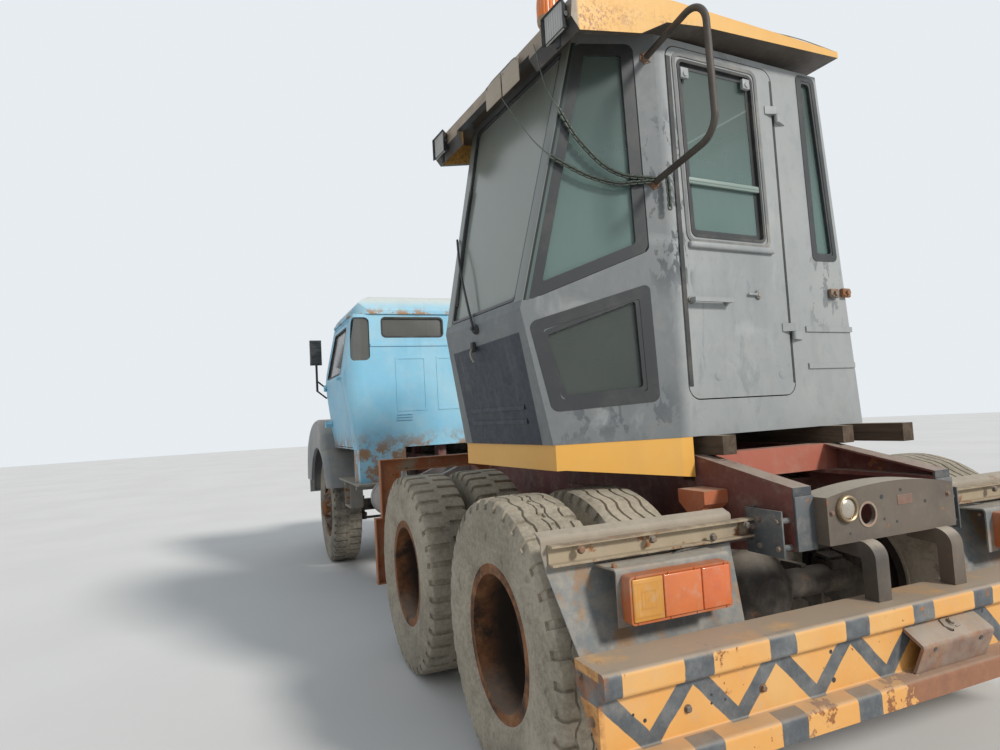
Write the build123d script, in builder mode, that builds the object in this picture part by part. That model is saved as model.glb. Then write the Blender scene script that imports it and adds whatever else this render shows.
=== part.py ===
from build123d import *
import os
from math import cos, radians, sin, sqrt, tan

os.makedirs("parts", exist_ok=True)

# Axes: +X forward, +Y left, +Z up, origin on the ground below the middle of the truck. Millimetres.

# Wheels and their places
rear_overhang = 880
wheelbase = 4666
front_overhang = 1254
tandem_spacing = 1318
tyre_radius = 530
tyre_width = 275
rim_radius = 254
front_tyre_y = 1026
outer_tyre_y = 1079
twin_spacing = 330
overall_length = rear_overhang + wheelbase + front_overhang
rear_axle_x = rear_overhang - overall_length / 2
mid_axle_x = rear_axle_x + tandem_spacing
front_axle_x = rear_axle_x + wheelbase
front_face_x = overall_length / 2
hub_z = tyre_radius
inner_tyre_y = outer_tyre_y - twin_spacing
twin_middle_y = (outer_tyre_y + inner_tyre_y) / 2

# Clearances
seat_gap = 0.3
shaft_gap = 0.05
shut_gap = 5

# Frame rails, C sections open inwards
rail_half_width = 390
rail_flange = 80
rail_plate = 8
rail_top_z = 1048
rail_depth = 235
rail_tail_depth = 179
rail_tail_length = 420
rail_rear_x = rear_axle_x - 678
rail_front_x = front_face_x - 204
rail_bottom_z = rail_top_z - rail_depth
rail_inner_y = rail_half_width - rail_flange

# Subframe on the rails, sloping down at its rear end
subframe_top_z = 1167
subframe_tail_z = 1075
subframe_slope_x = rear_axle_x - 196
subframe_front_x = rear_axle_x + 2012
subframe_nose = 60


def side_prism(outline, y_low, y_high, mode=Mode.ADD):
    """Adds a closed outline of (x, z) points between two widths."""
    with BuildSketch(Plane.XZ.offset(-y_low)) as side:
        with BuildLine():
            Polyline(*outline, close=True)
        make_face()
    extrude(side.sketch, amount=y_low - y_high, mode=mode)


def block(x, y, z, mode=Mode.ADD):
    """Adds a box between three pairs of limits."""
    centre = ((x[0] + x[1]) / 2, (y[0] + y[1]) / 2, (z[0] + z[1]) / 2)
    with Locations(centre):
        Box(abs(x[1] - x[0]), abs(y[1] - y[0]), abs(z[1] - z[0]), mode=mode)


def rod(start, end, radius, mode=Mode.ADD):
    """Adds a round bar from one point to another."""
    axis = Vector(*end) - Vector(*start)
    with BuildSketch(Plane(origin=start, z_dir=axis.normalized())) as section:
        Circle(radius)
    extrude(section.sketch, amount=axis.length, mode=mode)


def channel(outline, plate, y_web, y_lip, mode=Mode.ADD):
    """Adds a C section whose side outline is closed all round and whose open side is y_lip."""
    toward = 1 if y_lip > y_web else -1
    side_prism(outline, min(y_web, y_lip), max(y_web, y_lip), mode)
    with BuildSketch(Plane.XZ.offset(-(y_web + toward * plate))) as pocket:
        with BuildLine():
            Polyline(*outline, close=True)
        make_face()
        offset(amount=-plate, kind=Kind.INTERSECTION, mode=Mode.REPLACE)
    extrude(pocket.sketch, amount=-toward * (abs(y_lip - y_web) - plate), mode=Mode.SUBTRACT)


def save(piece, name):
    """Labels a finished piece and writes it."""
    piece.label = name
    export_step(piece, f"parts/{name}.step")


# Frame: two rails with their hangers, buffers and cab mounts, and the crossmembers between their webs
rail_tail_x = rail_rear_x + rail_tail_length
rail_outline = [
    (rail_rear_x, rail_top_z - rail_tail_depth),
    (rail_tail_x, rail_bottom_z),
    (rail_front_x, rail_bottom_z),
    (rail_front_x, rail_top_z),
    (rail_rear_x, rail_top_z),
]
crossmember_depth = 150
crossmember_width = 90
trunnion_x = (rear_axle_x + mid_axle_x) / 2
crossmember_xs = [rear_axle_x, trunnion_x, mid_axle_x, mid_axle_x + 900, front_axle_x - 1500, rail_front_x - 70]
trunnion_z = 625
trunnion_tube_radius = 45
hanger_plate = 20
hanger_half_top = 260
hanger_half_low = 90
hanger_drop = 110
buffer_x = rear_axle_x - 295
buffer_width = 150
buffer_reach = 110
buffer_low_z = 942
buffer_block_z = 1000
buffer_top_z = 1048
cab_mount_xs = (rear_axle_x + 3290, rear_axle_x + 4080)
cab_mount_half = 55
cab_low_z = 1153

with BuildPart() as frame:
    channel(rail_outline, rail_plate, rail_half_width, rail_inner_y)
    side_prism(
        [
            (trunnion_x - hanger_half_top, rail_top_z - 60),
            (trunnion_x - hanger_half_low, trunnion_z - hanger_drop),
            (trunnion_x + hanger_half_low, trunnion_z - hanger_drop),
            (trunnion_x + hanger_half_top, rail_top_z - 60),
        ],
        rail_half_width,
        rail_half_width + hanger_plate,
    )
    for x in cab_mount_xs:
        mount_y = (rail_inner_y + 5, rail_half_width - 5)
        block((x - cab_mount_half, x + cab_mount_half), mount_y, (rail_top_z, cab_low_z))
    side_prism(
        [
            (buffer_x - buffer_width / 2, buffer_top_z),
            (buffer_x - buffer_width / 2, buffer_block_z),
            (buffer_x, buffer_low_z),
            (buffer_x + buffer_width / 2, buffer_block_z),
            (buffer_x + buffer_width / 2, buffer_top_z),
        ],
        rail_half_width,
        rail_half_width + buffer_reach,
    )
    mirror(about=Plane.XZ)
    rod(
        (trunnion_x, -rail_half_width - hanger_plate, trunnion_z),
        (trunnion_x, rail_half_width + hanger_plate, trunnion_z),
        trunnion_tube_radius + seat_gap,
        Mode.SUBTRACT,
    )
save(frame.part, "frame")

crossmember_drop = 40
crossmember_half_length = rail_half_width - rail_plate - seat_gap

with BuildPart() as crossmembers:
    for middle_x in crossmember_xs:
        x_pair = (middle_x - crossmember_width / 2, middle_x + crossmember_width / 2)
        y_pair = (-crossmember_half_length, crossmember_half_length)
        z_pair = (rail_top_z - crossmember_drop - crossmember_depth, rail_top_z - crossmember_drop)
        inner_z = (z_pair[0] + rail_plate, z_pair[1] - rail_plate)
        block(x_pair, y_pair, z_pair)
        block((x_pair[0] + rail_plate, x_pair[1]), y_pair, inner_z, Mode.SUBTRACT)
save(crossmembers.part, "crossmembers")

# Subframe: two more channels on the rails, tied by the raised rear crossmember
subframe_outline = [
    (rail_rear_x, rail_top_z),
    (subframe_front_x, rail_top_z),
    (subframe_front_x - subframe_nose, subframe_top_z),
    (subframe_slope_x, subframe_top_z),
    (rail_rear_x, subframe_tail_z),
]
tie_depth = 110
tie_width = 80
tie_xs = [subframe_slope_x + tie_width / 2, mid_axle_x, subframe_front_x - 200]

with BuildPart() as subframe:
    channel(subframe_outline, rail_plate, rail_half_width, rail_inner_y)
    for middle_x in tie_xs:
        x_pair = (middle_x - tie_width / 2, middle_x + tie_width / 2)
        block(x_pair, (0, rail_half_width - rail_plate), (subframe_top_z - tie_depth, subframe_top_z))
        inner_z = (subframe_top_z - tie_depth + rail_plate, subframe_top_z - rail_plate)
        block((x_pair[0] + rail_plate, x_pair[1]), (0, rail_half_width), inner_z, Mode.SUBTRACT)
    mirror(about=Plane.XZ)
save(subframe.part, "subframe")

# Rear crossmember: a folded pan between the rail ends, with two goosenecks that carry the bumper
bumper_face_x = rear_axle_x - 850
bumper_top_z = 698
pan_rear_x = rear_axle_x - 736
pan_plate = 12
pan_low_z = 885
pan_top_z = 1070
pan_arch = 30
pan_return = 110
gooseneck_middle_y = -40
gooseneck_spacing = 374
gooseneck_width = 60
gooseneck_depth = 52
gooseneck_rear_x = rear_axle_x - 790
gooseneck_top_z = 895
gooseneck_bend = 55
lamp_hole_y = 226
lamp_hole_z = 998
lamp_hole_radius = 40
tow_eye_y = 128
tow_eye_z = 970
tow_eye_radius = 35

with BuildPart() as rear_crossmember:
    with BuildSketch(Plane.YZ.offset(pan_rear_x)):
        with BuildLine():
            Line((-rail_inner_y, pan_top_z - pan_arch), (-rail_inner_y, pan_low_z))
            Line((-rail_inner_y, pan_low_z), (rail_inner_y, pan_low_z))
            Line((rail_inner_y, pan_low_z), (rail_inner_y, pan_top_z - pan_arch))
            ThreePointArc(
                (rail_inner_y, pan_top_z - pan_arch),
                (0, pan_top_z),
                (-rail_inner_y, pan_top_z - pan_arch),
            )
        make_face()
    extrude(amount=pan_return)
    with BuildSketch(Plane.YZ.offset(pan_rear_x + pan_plate)):
        with BuildLine():
            Line((-rail_inner_y, pan_top_z - pan_arch), (-rail_inner_y, pan_low_z))
            Line((-rail_inner_y, pan_low_z), (rail_inner_y, pan_low_z))
            Line((rail_inner_y, pan_low_z), (rail_inner_y, pan_top_z - pan_arch))
            ThreePointArc(
                (rail_inner_y, pan_top_z - pan_arch),
                (0, pan_top_z),
                (-rail_inner_y, pan_top_z - pan_arch),
            )
        make_face()
        offset(amount=-pan_plate, kind=Kind.INTERSECTION, mode=Mode.REPLACE)
    extrude(amount=pan_return - pan_plate, mode=Mode.SUBTRACT)
    rod((pan_rear_x, lamp_hole_y, lamp_hole_z), (pan_rear_x + pan_plate, lamp_hole_y, lamp_hole_z),
        lamp_hole_radius, Mode.SUBTRACT)
    rod((pan_rear_x, tow_eye_y, tow_eye_z), (pan_rear_x + pan_plate, tow_eye_y, tow_eye_z),
        tow_eye_radius, Mode.SUBTRACT)
    for side in (-1, 1):
        y = gooseneck_middle_y + side * gooseneck_spacing / 2
        with BuildSketch(Plane.XZ.offset(-(y - gooseneck_width / 2))) as neck:
            with BuildLine():
                FilletPolyline(
                    (pan_rear_x + pan_return, gooseneck_top_z - gooseneck_depth),
                    (pan_rear_x + pan_return, gooseneck_top_z),
                    (gooseneck_rear_x, gooseneck_top_z - 12),
                    (gooseneck_rear_x, bumper_top_z),
                    (gooseneck_rear_x + gooseneck_depth, bumper_top_z),
                    (gooseneck_rear_x + gooseneck_depth, gooseneck_top_z - 12 - gooseneck_depth),
                    close=True,
                    radius=[0.01, 0.01, gooseneck_bend, 0.01, 0.01, 12],
                )
            make_face()
        extrude(neck.sketch, amount=-gooseneck_width)
save(rear_crossmember.part, "rear_crossmember")

# Rear bumper: a folded plate with an upper lip, a recessed face and a flared lower lip
bumper_half_width = 1246
bumper_plate = 8
bumper_inner_x = rear_axle_x - 700
bumper_recess_x = rear_axle_x - 810
bumper_lip_x = rear_axle_x - 872
upper_lip_low_z = 636
lower_lip_top_z = 480
lower_lip_low_z = 408
half_plate = bumper_plate / 2

with BuildPart() as rear_bumper:
    with BuildSketch(Plane.XZ.offset(-bumper_half_width)):
        with BuildLine():
            FilletPolyline(
                (bumper_inner_x, bumper_top_z - half_plate),
                (bumper_face_x + half_plate, bumper_top_z - half_plate),
                (bumper_face_x + half_plate, upper_lip_low_z),
                (bumper_recess_x, upper_lip_low_z - 10),
                (bumper_recess_x, lower_lip_top_z),
                (bumper_lip_x + half_plate, lower_lip_top_z - 10),
                (bumper_lip_x + half_plate, lower_lip_low_z),
                radius=10,
            )
        trace(line_width=bumper_plate)
    extrude(amount=2 * bumper_half_width)
    for y in (-bumper_half_width, bumper_half_width - bumper_plate):
        side_prism(
            [
                (bumper_inner_x, bumper_top_z - half_plate),
                (bumper_face_x + half_plate, bumper_top_z - half_plate),
                (bumper_face_x + half_plate, upper_lip_low_z),
                (bumper_recess_x, upper_lip_low_z - 10),
                (bumper_recess_x, lower_lip_top_z),
                (bumper_inner_x, upper_lip_low_z),
            ],
            y,
            y + bumper_plate,
        )
save(rear_bumper.part, "rear_bumper")

# Tow box: a folded cover on the bumper's recess, open at both sides
tow_box_width = 347
tow_box_middle_y = -60
tow_box_fold_x = rear_axle_x - rear_overhang - 3
tow_box_plate = 10
recess_face_x = bumper_recess_x - half_plate
lip_face_z = lower_lip_top_z + half_plate
tow_pin_radius = 14

with BuildPart() as tow_box:
    with BuildSketch(Plane.XZ.offset(-(tow_box_middle_y - tow_box_width / 2))):
        with BuildLine():
            FilletPolyline(
                (recess_face_x, upper_lip_low_z - 20),
                (tow_box_fold_x, 572),
                (recess_face_x - 32, lip_face_z - 4),
                (recess_face_x - 32 + tow_box_plate, lip_face_z - 2),
                (tow_box_fold_x + tow_box_plate + 2, 567),
                (recess_face_x, upper_lip_low_z - 33),
                close=True,
                radius=[0, 14, 0, 0, 5, 0],
            )
        make_face()
    extrude(amount=-tow_box_width)
    rod((recess_face_x - 32, tow_box_middle_y, 540), (recess_face_x - 32, tow_box_middle_y, 640),
        tow_pin_radius, Mode.SUBTRACT)
save(tow_box.part, "tow_box")

# Rear mudguards: a bent sheet behind each tandem, and a folded plate that carries the tail lamp
guard_sheet = 6
guard_outer_y = 1237
guard_inner_y = 500
guard_top_z = 985
guard_bend_z = 880
guard_low_z = 590
guard_top_x = rear_axle_x - 508
guard_low_x = rear_axle_x - 603
lamp_plate_x = rear_axle_x - 636
lamp_plate_low_z = 728
lamp_plate_top_z = 893
lamp_plate_inner_y = 640
lamp_plate_outer_y = 1060

with BuildPart() as mudguards:
    with BuildSketch(Plane.XZ.offset(-guard_inner_y)):
        with BuildLine():
            FilletPolyline(
                (guard_top_x + 40, guard_top_z + 14),
                (guard_top_x, guard_top_z),
                (guard_top_x, guard_bend_z),
                (guard_low_x, guard_low_z),
                radius=14,
            )
        trace(line_width=guard_sheet)
    extrude(amount=guard_inner_y - guard_outer_y)
    with BuildSketch(Plane.YZ.offset(guard_low_x - 50)):
        with BuildLine():
            Polyline(
                (guard_inner_y, guard_top_z + 60),
                (guard_outer_y, guard_top_z + 60),
                (guard_outer_y, guard_top_z - 40),
                (guard_outer_y - 87, guard_low_z - 20),
                (guard_inner_y + 60, guard_low_z - 20),
                close=True,
            )
        make_face()
    extrude(amount=300, mode=Mode.INTERSECT)
    with BuildSketch(Plane.XZ.offset(-lamp_plate_inner_y)) as lamp_fold:
        with BuildLine():
            FilletPolyline(
                (guard_top_x - guard_sheet / 2, guard_bend_z + 8),
                (lamp_plate_x, lamp_plate_top_z),
                (lamp_plate_x, lamp_plate_low_z),
                radius=12,
            )
        trace(line_width=guard_sheet)
    extrude(lamp_fold.sketch, amount=lamp_plate_inner_y - lamp_plate_outer_y)
    mirror(about=Plane.XZ)
save(mudguards.part, "mudguards")

# Mudguard frames: channel beams bolted to the rails behind, guard posts ahead of the tandem
beam_low_z = 905
beam_high_z = 968
beam_flange = 34
beam_plate = 7
beam_outer_y = 1217
beam_face_x = guard_top_x - guard_sheet / 2
beam_plate_outer_y = 438
post_x = rear_axle_x + 2012
post_depth = 50
post_outline = [
    (rail_half_width, 930),
    (rail_half_width, rail_top_z - 4),
    (480, 1122),
    (1173, 1122),
    (1173, 746),
    (1217, 746),
    (1217, 324),
    (1148, 324),
    (1148, 700),
    (1037, 746),
    (1037, 1040),
    (520, 1040),
]

with BuildPart() as mudguard_frames:
    block((beam_face_x - beam_flange, beam_face_x), (rail_half_width + 10, beam_outer_y), (beam_low_z, beam_high_z))
    block(
        (beam_face_x - beam_flange, beam_face_x - beam_plate),
        (rail_half_width + 10, beam_outer_y),
        (beam_low_z + beam_plate, beam_high_z - beam_plate),
        Mode.SUBTRACT,
    )
    block((beam_face_x, beam_face_x + 8), (rail_half_width, beam_plate_outer_y), (850, 1003))
    with BuildSketch(Plane.YZ.offset(post_x - post_depth / 2)) as post:
        with BuildLine():
            Polyline(*post_outline, close=True)
        make_face()
    extrude(post.sketch, amount=post_depth)
    with BuildSketch(Plane.YZ.offset(post_x - post_depth / 2)) as post_pocket:
        with BuildLine():
            Polyline(*post_outline, close=True)
        make_face()
        offset(amount=-beam_plate, kind=Kind.INTERSECTION, mode=Mode.REPLACE)
    extrude(post_pocket.sketch, amount=post_depth - beam_plate, mode=Mode.SUBTRACT)
    mirror(about=Plane.XZ)
save(mudguard_frames.part, "mudguard_frames")

# Rear lamps: a three-part lamp on each lamp plate and a round one in the crossmember
tail_lamp_depth = 50
tail_lamp_y = (677, 1045)
tail_lamp_z = (742, 881)
round_lamp_rim = 46
tail_lamp_back_x = lamp_plate_x - guard_sheet / 2

with BuildPart() as rear_lamps:
    with BuildSketch(Plane.YZ.offset(tail_lamp_back_x)):
        for side in (-1, 1):
            with Locations((side * sum(tail_lamp_y) / 2, sum(tail_lamp_z) / 2)):
                RectangleRounded(tail_lamp_y[1] - tail_lamp_y[0], tail_lamp_z[1] - tail_lamp_z[0], 14)
    extrude(amount=-tail_lamp_depth)
    rod((pan_rear_x - 8, lamp_hole_y, lamp_hole_z), (pan_rear_x, lamp_hole_y, lamp_hole_z), round_lamp_rim)
    rod((pan_rear_x - 20, lamp_hole_y, lamp_hole_z), (pan_rear_x + 30, lamp_hole_y, lamp_hole_z),
        lamp_hole_radius - seat_gap)
save(rear_lamps.part, "rear_lamps")

# Tanks beside the rails: a round air tank on the left, a fuel tank on the right
air_tank_radius = 137
air_tank_y = 913
air_tank_z = 775
air_tank_rear_x = rear_axle_x + 2356
air_tank_length = 640
tank_dish = 45
tank_arm = 50
fuel_tank_x = (rear_axle_x + 2420, rear_axle_x + 2990)
fuel_tank_y = (-1080, -560)
fuel_tank_z = (520, 930)

with BuildPart() as tanks:
    rod(
        (air_tank_rear_x, air_tank_y, air_tank_z),
        (air_tank_rear_x + air_tank_length, air_tank_y, air_tank_z),
        air_tank_radius,
    )
    fillet(tanks.edges().filter_by(GeomType.CIRCLE), tank_dish)
    for x in (air_tank_rear_x + 120, air_tank_rear_x + air_tank_length - 120):
        with BuildSketch(Plane.YZ.offset(x - tank_arm / 2)) as arm:
            with BuildLine():
                Polyline(
                    (rail_half_width, rail_bottom_z),
                    (rail_half_width, rail_top_z - 30),
                    (rail_half_width + 60, rail_top_z - 30),
                    (air_tank_y - 100, air_tank_z + 95),
                    (air_tank_y - 60, air_tank_z),
                    (air_tank_y - 100, air_tank_z - 95),
                    close=True,
                )
            make_face()
        extrude(arm.sketch, amount=tank_arm)
    with BuildSketch(Plane.YZ.offset(fuel_tank_x[0])) as fuel_section:
        with Locations((sum(fuel_tank_y) / 2, sum(fuel_tank_z) / 2)):
            RectangleRounded(fuel_tank_y[1] - fuel_tank_y[0], fuel_tank_z[1] - fuel_tank_z[0], 60)
    extrude(fuel_section.sketch, amount=fuel_tank_x[1] - fuel_tank_x[0])
    for x in (fuel_tank_x[0] + 120, fuel_tank_x[1] - 120):
        block((x - tank_arm / 2, x + tank_arm / 2), (-rail_half_width, fuel_tank_y[1] - 5), (830, 900))
save(tanks.part, "tanks")


def leaf_spring(middle_x, pack_z, y_low, y_high, half_length, leaves, plate, rise, up):
    """Adds stepped leaves; up is 1 for an arch and -1 for a bow, pack_z is the longest leaf's outside."""
    bend = (half_length**2 + rise**2) / (2 * rise)
    centre_z = pack_z - up * bend
    for i in range(leaves):
        inner = bend + i * plate
        outer = inner + plate
        reach = half_length * (1 - 0.85 * i / leaves)
        with BuildSketch(Plane.XZ.offset(-y_low)) as leaf:
            with BuildLine():
                low_z = centre_z + up * sqrt(inner**2 - reach**2)
                high_z = centre_z + up * sqrt(outer**2 - reach**2)
                ThreePointArc(
                    (middle_x - reach, low_z), (middle_x, centre_z + up * inner), (middle_x + reach, low_z)
                )
                Line((middle_x + reach, low_z), (middle_x + reach, high_z))
                ThreePointArc(
                    (middle_x + reach, high_z), (middle_x, centre_z + up * outer), (middle_x - reach, high_z)
                )
                Line((middle_x - reach, high_z), (middle_x - reach, low_z))
            make_face()
        extrude(leaf.sketch, amount=y_low - y_high)


# Rear suspension: upturned leaf packs clamped on the saddles of a cross tube
axle_tube_radius = 65
spring_pad = 20
rear_spring_y = (455, 545)
rear_leaf_plate = 14
rear_leaves = 9
rear_spring_rise = 75
rear_spring_end_z = hub_z + axle_tube_radius + spring_pad
rear_spring_z = rear_spring_end_z + rear_spring_rise
rear_spring_half_length = tandem_spacing / 2 + 40
saddle_radius = rear_spring_z - trunnion_z
clamp_half = 75
torque_rod_radius = 22
torque_eye_radius = 38
torque_rod_y = 436
torque_low_z = 415
torque_anchor_z = 520
torque_anchor_reach = 55
upper_rod_y = 150
upper_anchor_z = 905
upper_eye_radius = 30
banjo_radius = 200
upper_housing_y = 90
upper_seat_shift = 15
upper_seat_z = hub_z + banjo_radius + 10

with BuildPart() as rear_suspension:
    rod((trunnion_x, -570, trunnion_z), (trunnion_x, 570, trunnion_z), trunnion_tube_radius)
    for side in (-1, 1):
        y_pair = sorted((side * rear_spring_y[0], side * rear_spring_y[1]))
        leaf_spring(
            trunnion_x,
            rear_spring_z,
            y_pair[0],
            y_pair[1],
            rear_spring_half_length,
            rear_leaves,
            rear_leaf_plate,
            rear_spring_rise,
            1,
        )
        rod(
            (trunnion_x, y_pair[0] - 8, trunnion_z),
            (trunnion_x, y_pair[1] + 8, trunnion_z),
            saddle_radius,
        )
        pack_top_z = rear_spring_z + rear_leaves * rear_leaf_plate
        block(
            (trunnion_x - clamp_half, trunnion_x + clamp_half),
            (y_pair[0] - 8, y_pair[1] + 8),
            (trunnion_z, rear_spring_z),
        )
        block(
            (trunnion_x - clamp_half, trunnion_x + clamp_half),
            (y_pair[0] - 8, y_pair[1] + 8),
            (pack_top_z - 4, pack_top_z + 16),
        )
        for end in (-1, 1):
            for bolt_y in (y_pair[0] - 4, y_pair[1] + 4):
                bolt_x = trunnion_x + end * (clamp_half - 20)
                rod((bolt_x, bolt_y, rear_spring_z - 20), (bolt_x, bolt_y, pack_top_z + 16), 9)
save(rear_suspension.part, "rear_suspension")

# Torque rods: four low ones outside the hangers and four high ones over the axle housings
with BuildPart() as torque_rods:
    for side in (-1, 1):
        for end in (-1, 1):
            axle_x = trunnion_x + end * tandem_spacing / 2
            anchor_x = trunnion_x + end * torque_anchor_reach
            rod(
                (anchor_x, side * torque_rod_y, torque_anchor_z),
                (axle_x, side * torque_rod_y, torque_low_z),
                torque_rod_radius,
            )
            for eye_x, eye_z in ((anchor_x, torque_anchor_z), (axle_x, torque_low_z)):
                rod(
                    (eye_x, side * (rail_half_width + hanger_plate), eye_z),
                    (eye_x, side * (torque_rod_y + 24), eye_z),
                    torque_eye_radius,
                )
            upper_x = trunnion_x + end * (crossmember_width / 2 + 20)
            web_x = trunnion_x - crossmember_width / 2 + (0 if end == -1 else rail_plate)
            block(
                (web_x, upper_x + end * upper_eye_radius / 2),
                (side * upper_rod_y - 25, side * upper_rod_y + 25),
                (upper_anchor_z - upper_eye_radius, upper_anchor_z + upper_eye_radius),
            )
            housing_x = axle_x + upper_seat_shift
            housing_y = side * upper_housing_y
            eye_z = upper_seat_z + seat_gap + upper_eye_radius
            rod((upper_x, side * upper_rod_y, upper_anchor_z), (housing_x, housing_y, eye_z), torque_rod_radius)
            rod((housing_x, housing_y - 30, eye_z), (housing_x, housing_y + 30, eye_z), upper_eye_radius)
save(torque_rods.part, "torque_rods")

# Driveline: two axle housings with spindles, brake plates, and the propeller shafts
spindle_radius = 45
housing_end_y = 612
rear_spindle_end_y = 994
brake_plate_radius = 195
brake_plate_y = (604, 614)
banjo_depth = 150
prop_radius = 40
prop_front_z = 760
gearbox_rear_x = front_axle_x - 1350
chamber_radius = 80

with BuildPart() as driveline:
    for axle_x in (rear_axle_x, mid_axle_x):
        rod((axle_x, -housing_end_y, hub_z), (axle_x, housing_end_y, hub_z), axle_tube_radius)
        rod((axle_x, -rear_spindle_end_y, hub_z), (axle_x, rear_spindle_end_y, hub_z), spindle_radius)
        with BuildSketch(Plane(origin=(axle_x, 0, hub_z), x_dir=(1, 0, 0), z_dir=(0, -1, 0))) as banjo:
            with BuildLine():
                Line((-banjo_depth, 0), (-banjo_depth, 90))
                ThreePointArc((-banjo_depth, 90), (-banjo_depth * 0.55, 172), (-30, banjo_radius))
                Line((-30, banjo_radius), (60, banjo_radius))
                Line((60, banjo_radius), (banjo_depth + 90, 85))
                Line((banjo_depth + 90, 85), (banjo_depth + 90, 0))
                Line((banjo_depth + 90, 0), (-banjo_depth, 0))
            make_face()
        revolve(banjo.sketch, axis=Axis((axle_x, 0, hub_z), (1, 0, 0)))
        for side in (-1, 1):
            seat_x = axle_x + upper_seat_shift
            seat_y = side * upper_housing_y
            block((seat_x - 30, seat_x + 30), (seat_y - 30, seat_y + 30), (hub_z + 120, upper_seat_z))
            y_pair = sorted((side * rear_spring_y[0], side * rear_spring_y[1]))
            block(
                (axle_x - 60, axle_x + 60),
                y_pair,
                (hub_z + axle_tube_radius - 20, rear_spring_end_z - seat_gap),
            )
            rod(
                (axle_x, side * brake_plate_y[0], hub_z),
                (axle_x, side * brake_plate_y[1], hub_z),
                brake_plate_radius,
            )
            bracket_y = sorted((side * (rail_half_width + 2), side * (rail_half_width + hanger_plate)))
            block((axle_x - 40, axle_x + 40), bracket_y, (torque_low_z - 40, hub_z))
            rod((axle_x + 110, side * 330, hub_z + 60), (axle_x + 250, side * 330, hub_z + 60), chamber_radius)
            block((axle_x - 10, axle_x + 120), (side * 330 - 15, side * 330 + 15), (hub_z + 20, hub_z + 80))
    rod((rear_axle_x + banjo_depth + 90, 0, hub_z), (mid_axle_x - banjo_depth, 0, hub_z), prop_radius)
    rod((mid_axle_x + banjo_depth + 90, 0, hub_z), (gearbox_rear_x - 8, 0, prop_front_z), prop_radius)
    rod((gearbox_rear_x - 16, 0, prop_front_z), (gearbox_rear_x, 0, prop_front_z), prop_radius + 25)
save(driveline.part, "driveline")

# Engine: one plain block with its gearbox, fan cowl and radiator, on four feet over the rails
engine_x = (front_axle_x - 286, front_axle_x + 700)
engine_half_width = 285
engine_z = (650, 1340)
gearbox_half_width = 170
radiator_x = (front_axle_x + 800, front_axle_x + 880)
radiator_z = (780, 1340)
radiator_half_width = 300
foot_xs = (engine_x[0] + 160, engine_x[1] - 160)
foot_height = 40

with BuildPart() as engine:
    block(engine_x, (-engine_half_width, engine_half_width), engine_z)
    block((gearbox_rear_x, engine_x[0]), (-gearbox_half_width, gearbox_half_width), (680, 1030))
    rod((engine_x[1], 0, 1060), (radiator_x[0], 0, 1060), 240)
    block(radiator_x, (-radiator_half_width, radiator_half_width), radiator_z)
    for x in foot_xs:
        block((x - 50, x + 50), (-rail_half_width + 6, rail_half_width - 6), (rail_top_z, rail_top_z + foot_height))
save(engine.part, "engine")

# Front axle: a dropped beam with an eye at each end, on bowed leaf packs hung from the rails
kingpin_y = 820
kingpin_radius = 20
eye_radius = 45
eye_half_height = 55
beam_half = 45
front_spring_y = (395, 465)
front_leaf_plate = 12
front_leaves = 8
front_spring_rise = 110
front_spring_half_length = 700
beam_top_z = 525
front_spring_z = beam_top_z + 15 + front_leaves * front_leaf_plate
beam_outline = [
    (0, beam_top_z - 110),
    (520, beam_top_z - 110),
    (680, hub_z - eye_half_height),
    (kingpin_y - 25, hub_z - eye_half_height),
    (kingpin_y - 25, hub_z + eye_half_height),
    (680, hub_z + eye_half_height),
    (520, beam_top_z),
    (0, beam_top_z),
]
beam_pocket = [
    (0, beam_top_z - 92),
    (512, beam_top_z - 92),
    (672, hub_z - eye_half_height + 18),
    (740, hub_z - eye_half_height + 18),
    (740, hub_z + eye_half_height - 18),
    (685, hub_z + eye_half_height - 18),
    (525, beam_top_z - 18),
    (0, beam_top_z - 18),
]

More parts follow.
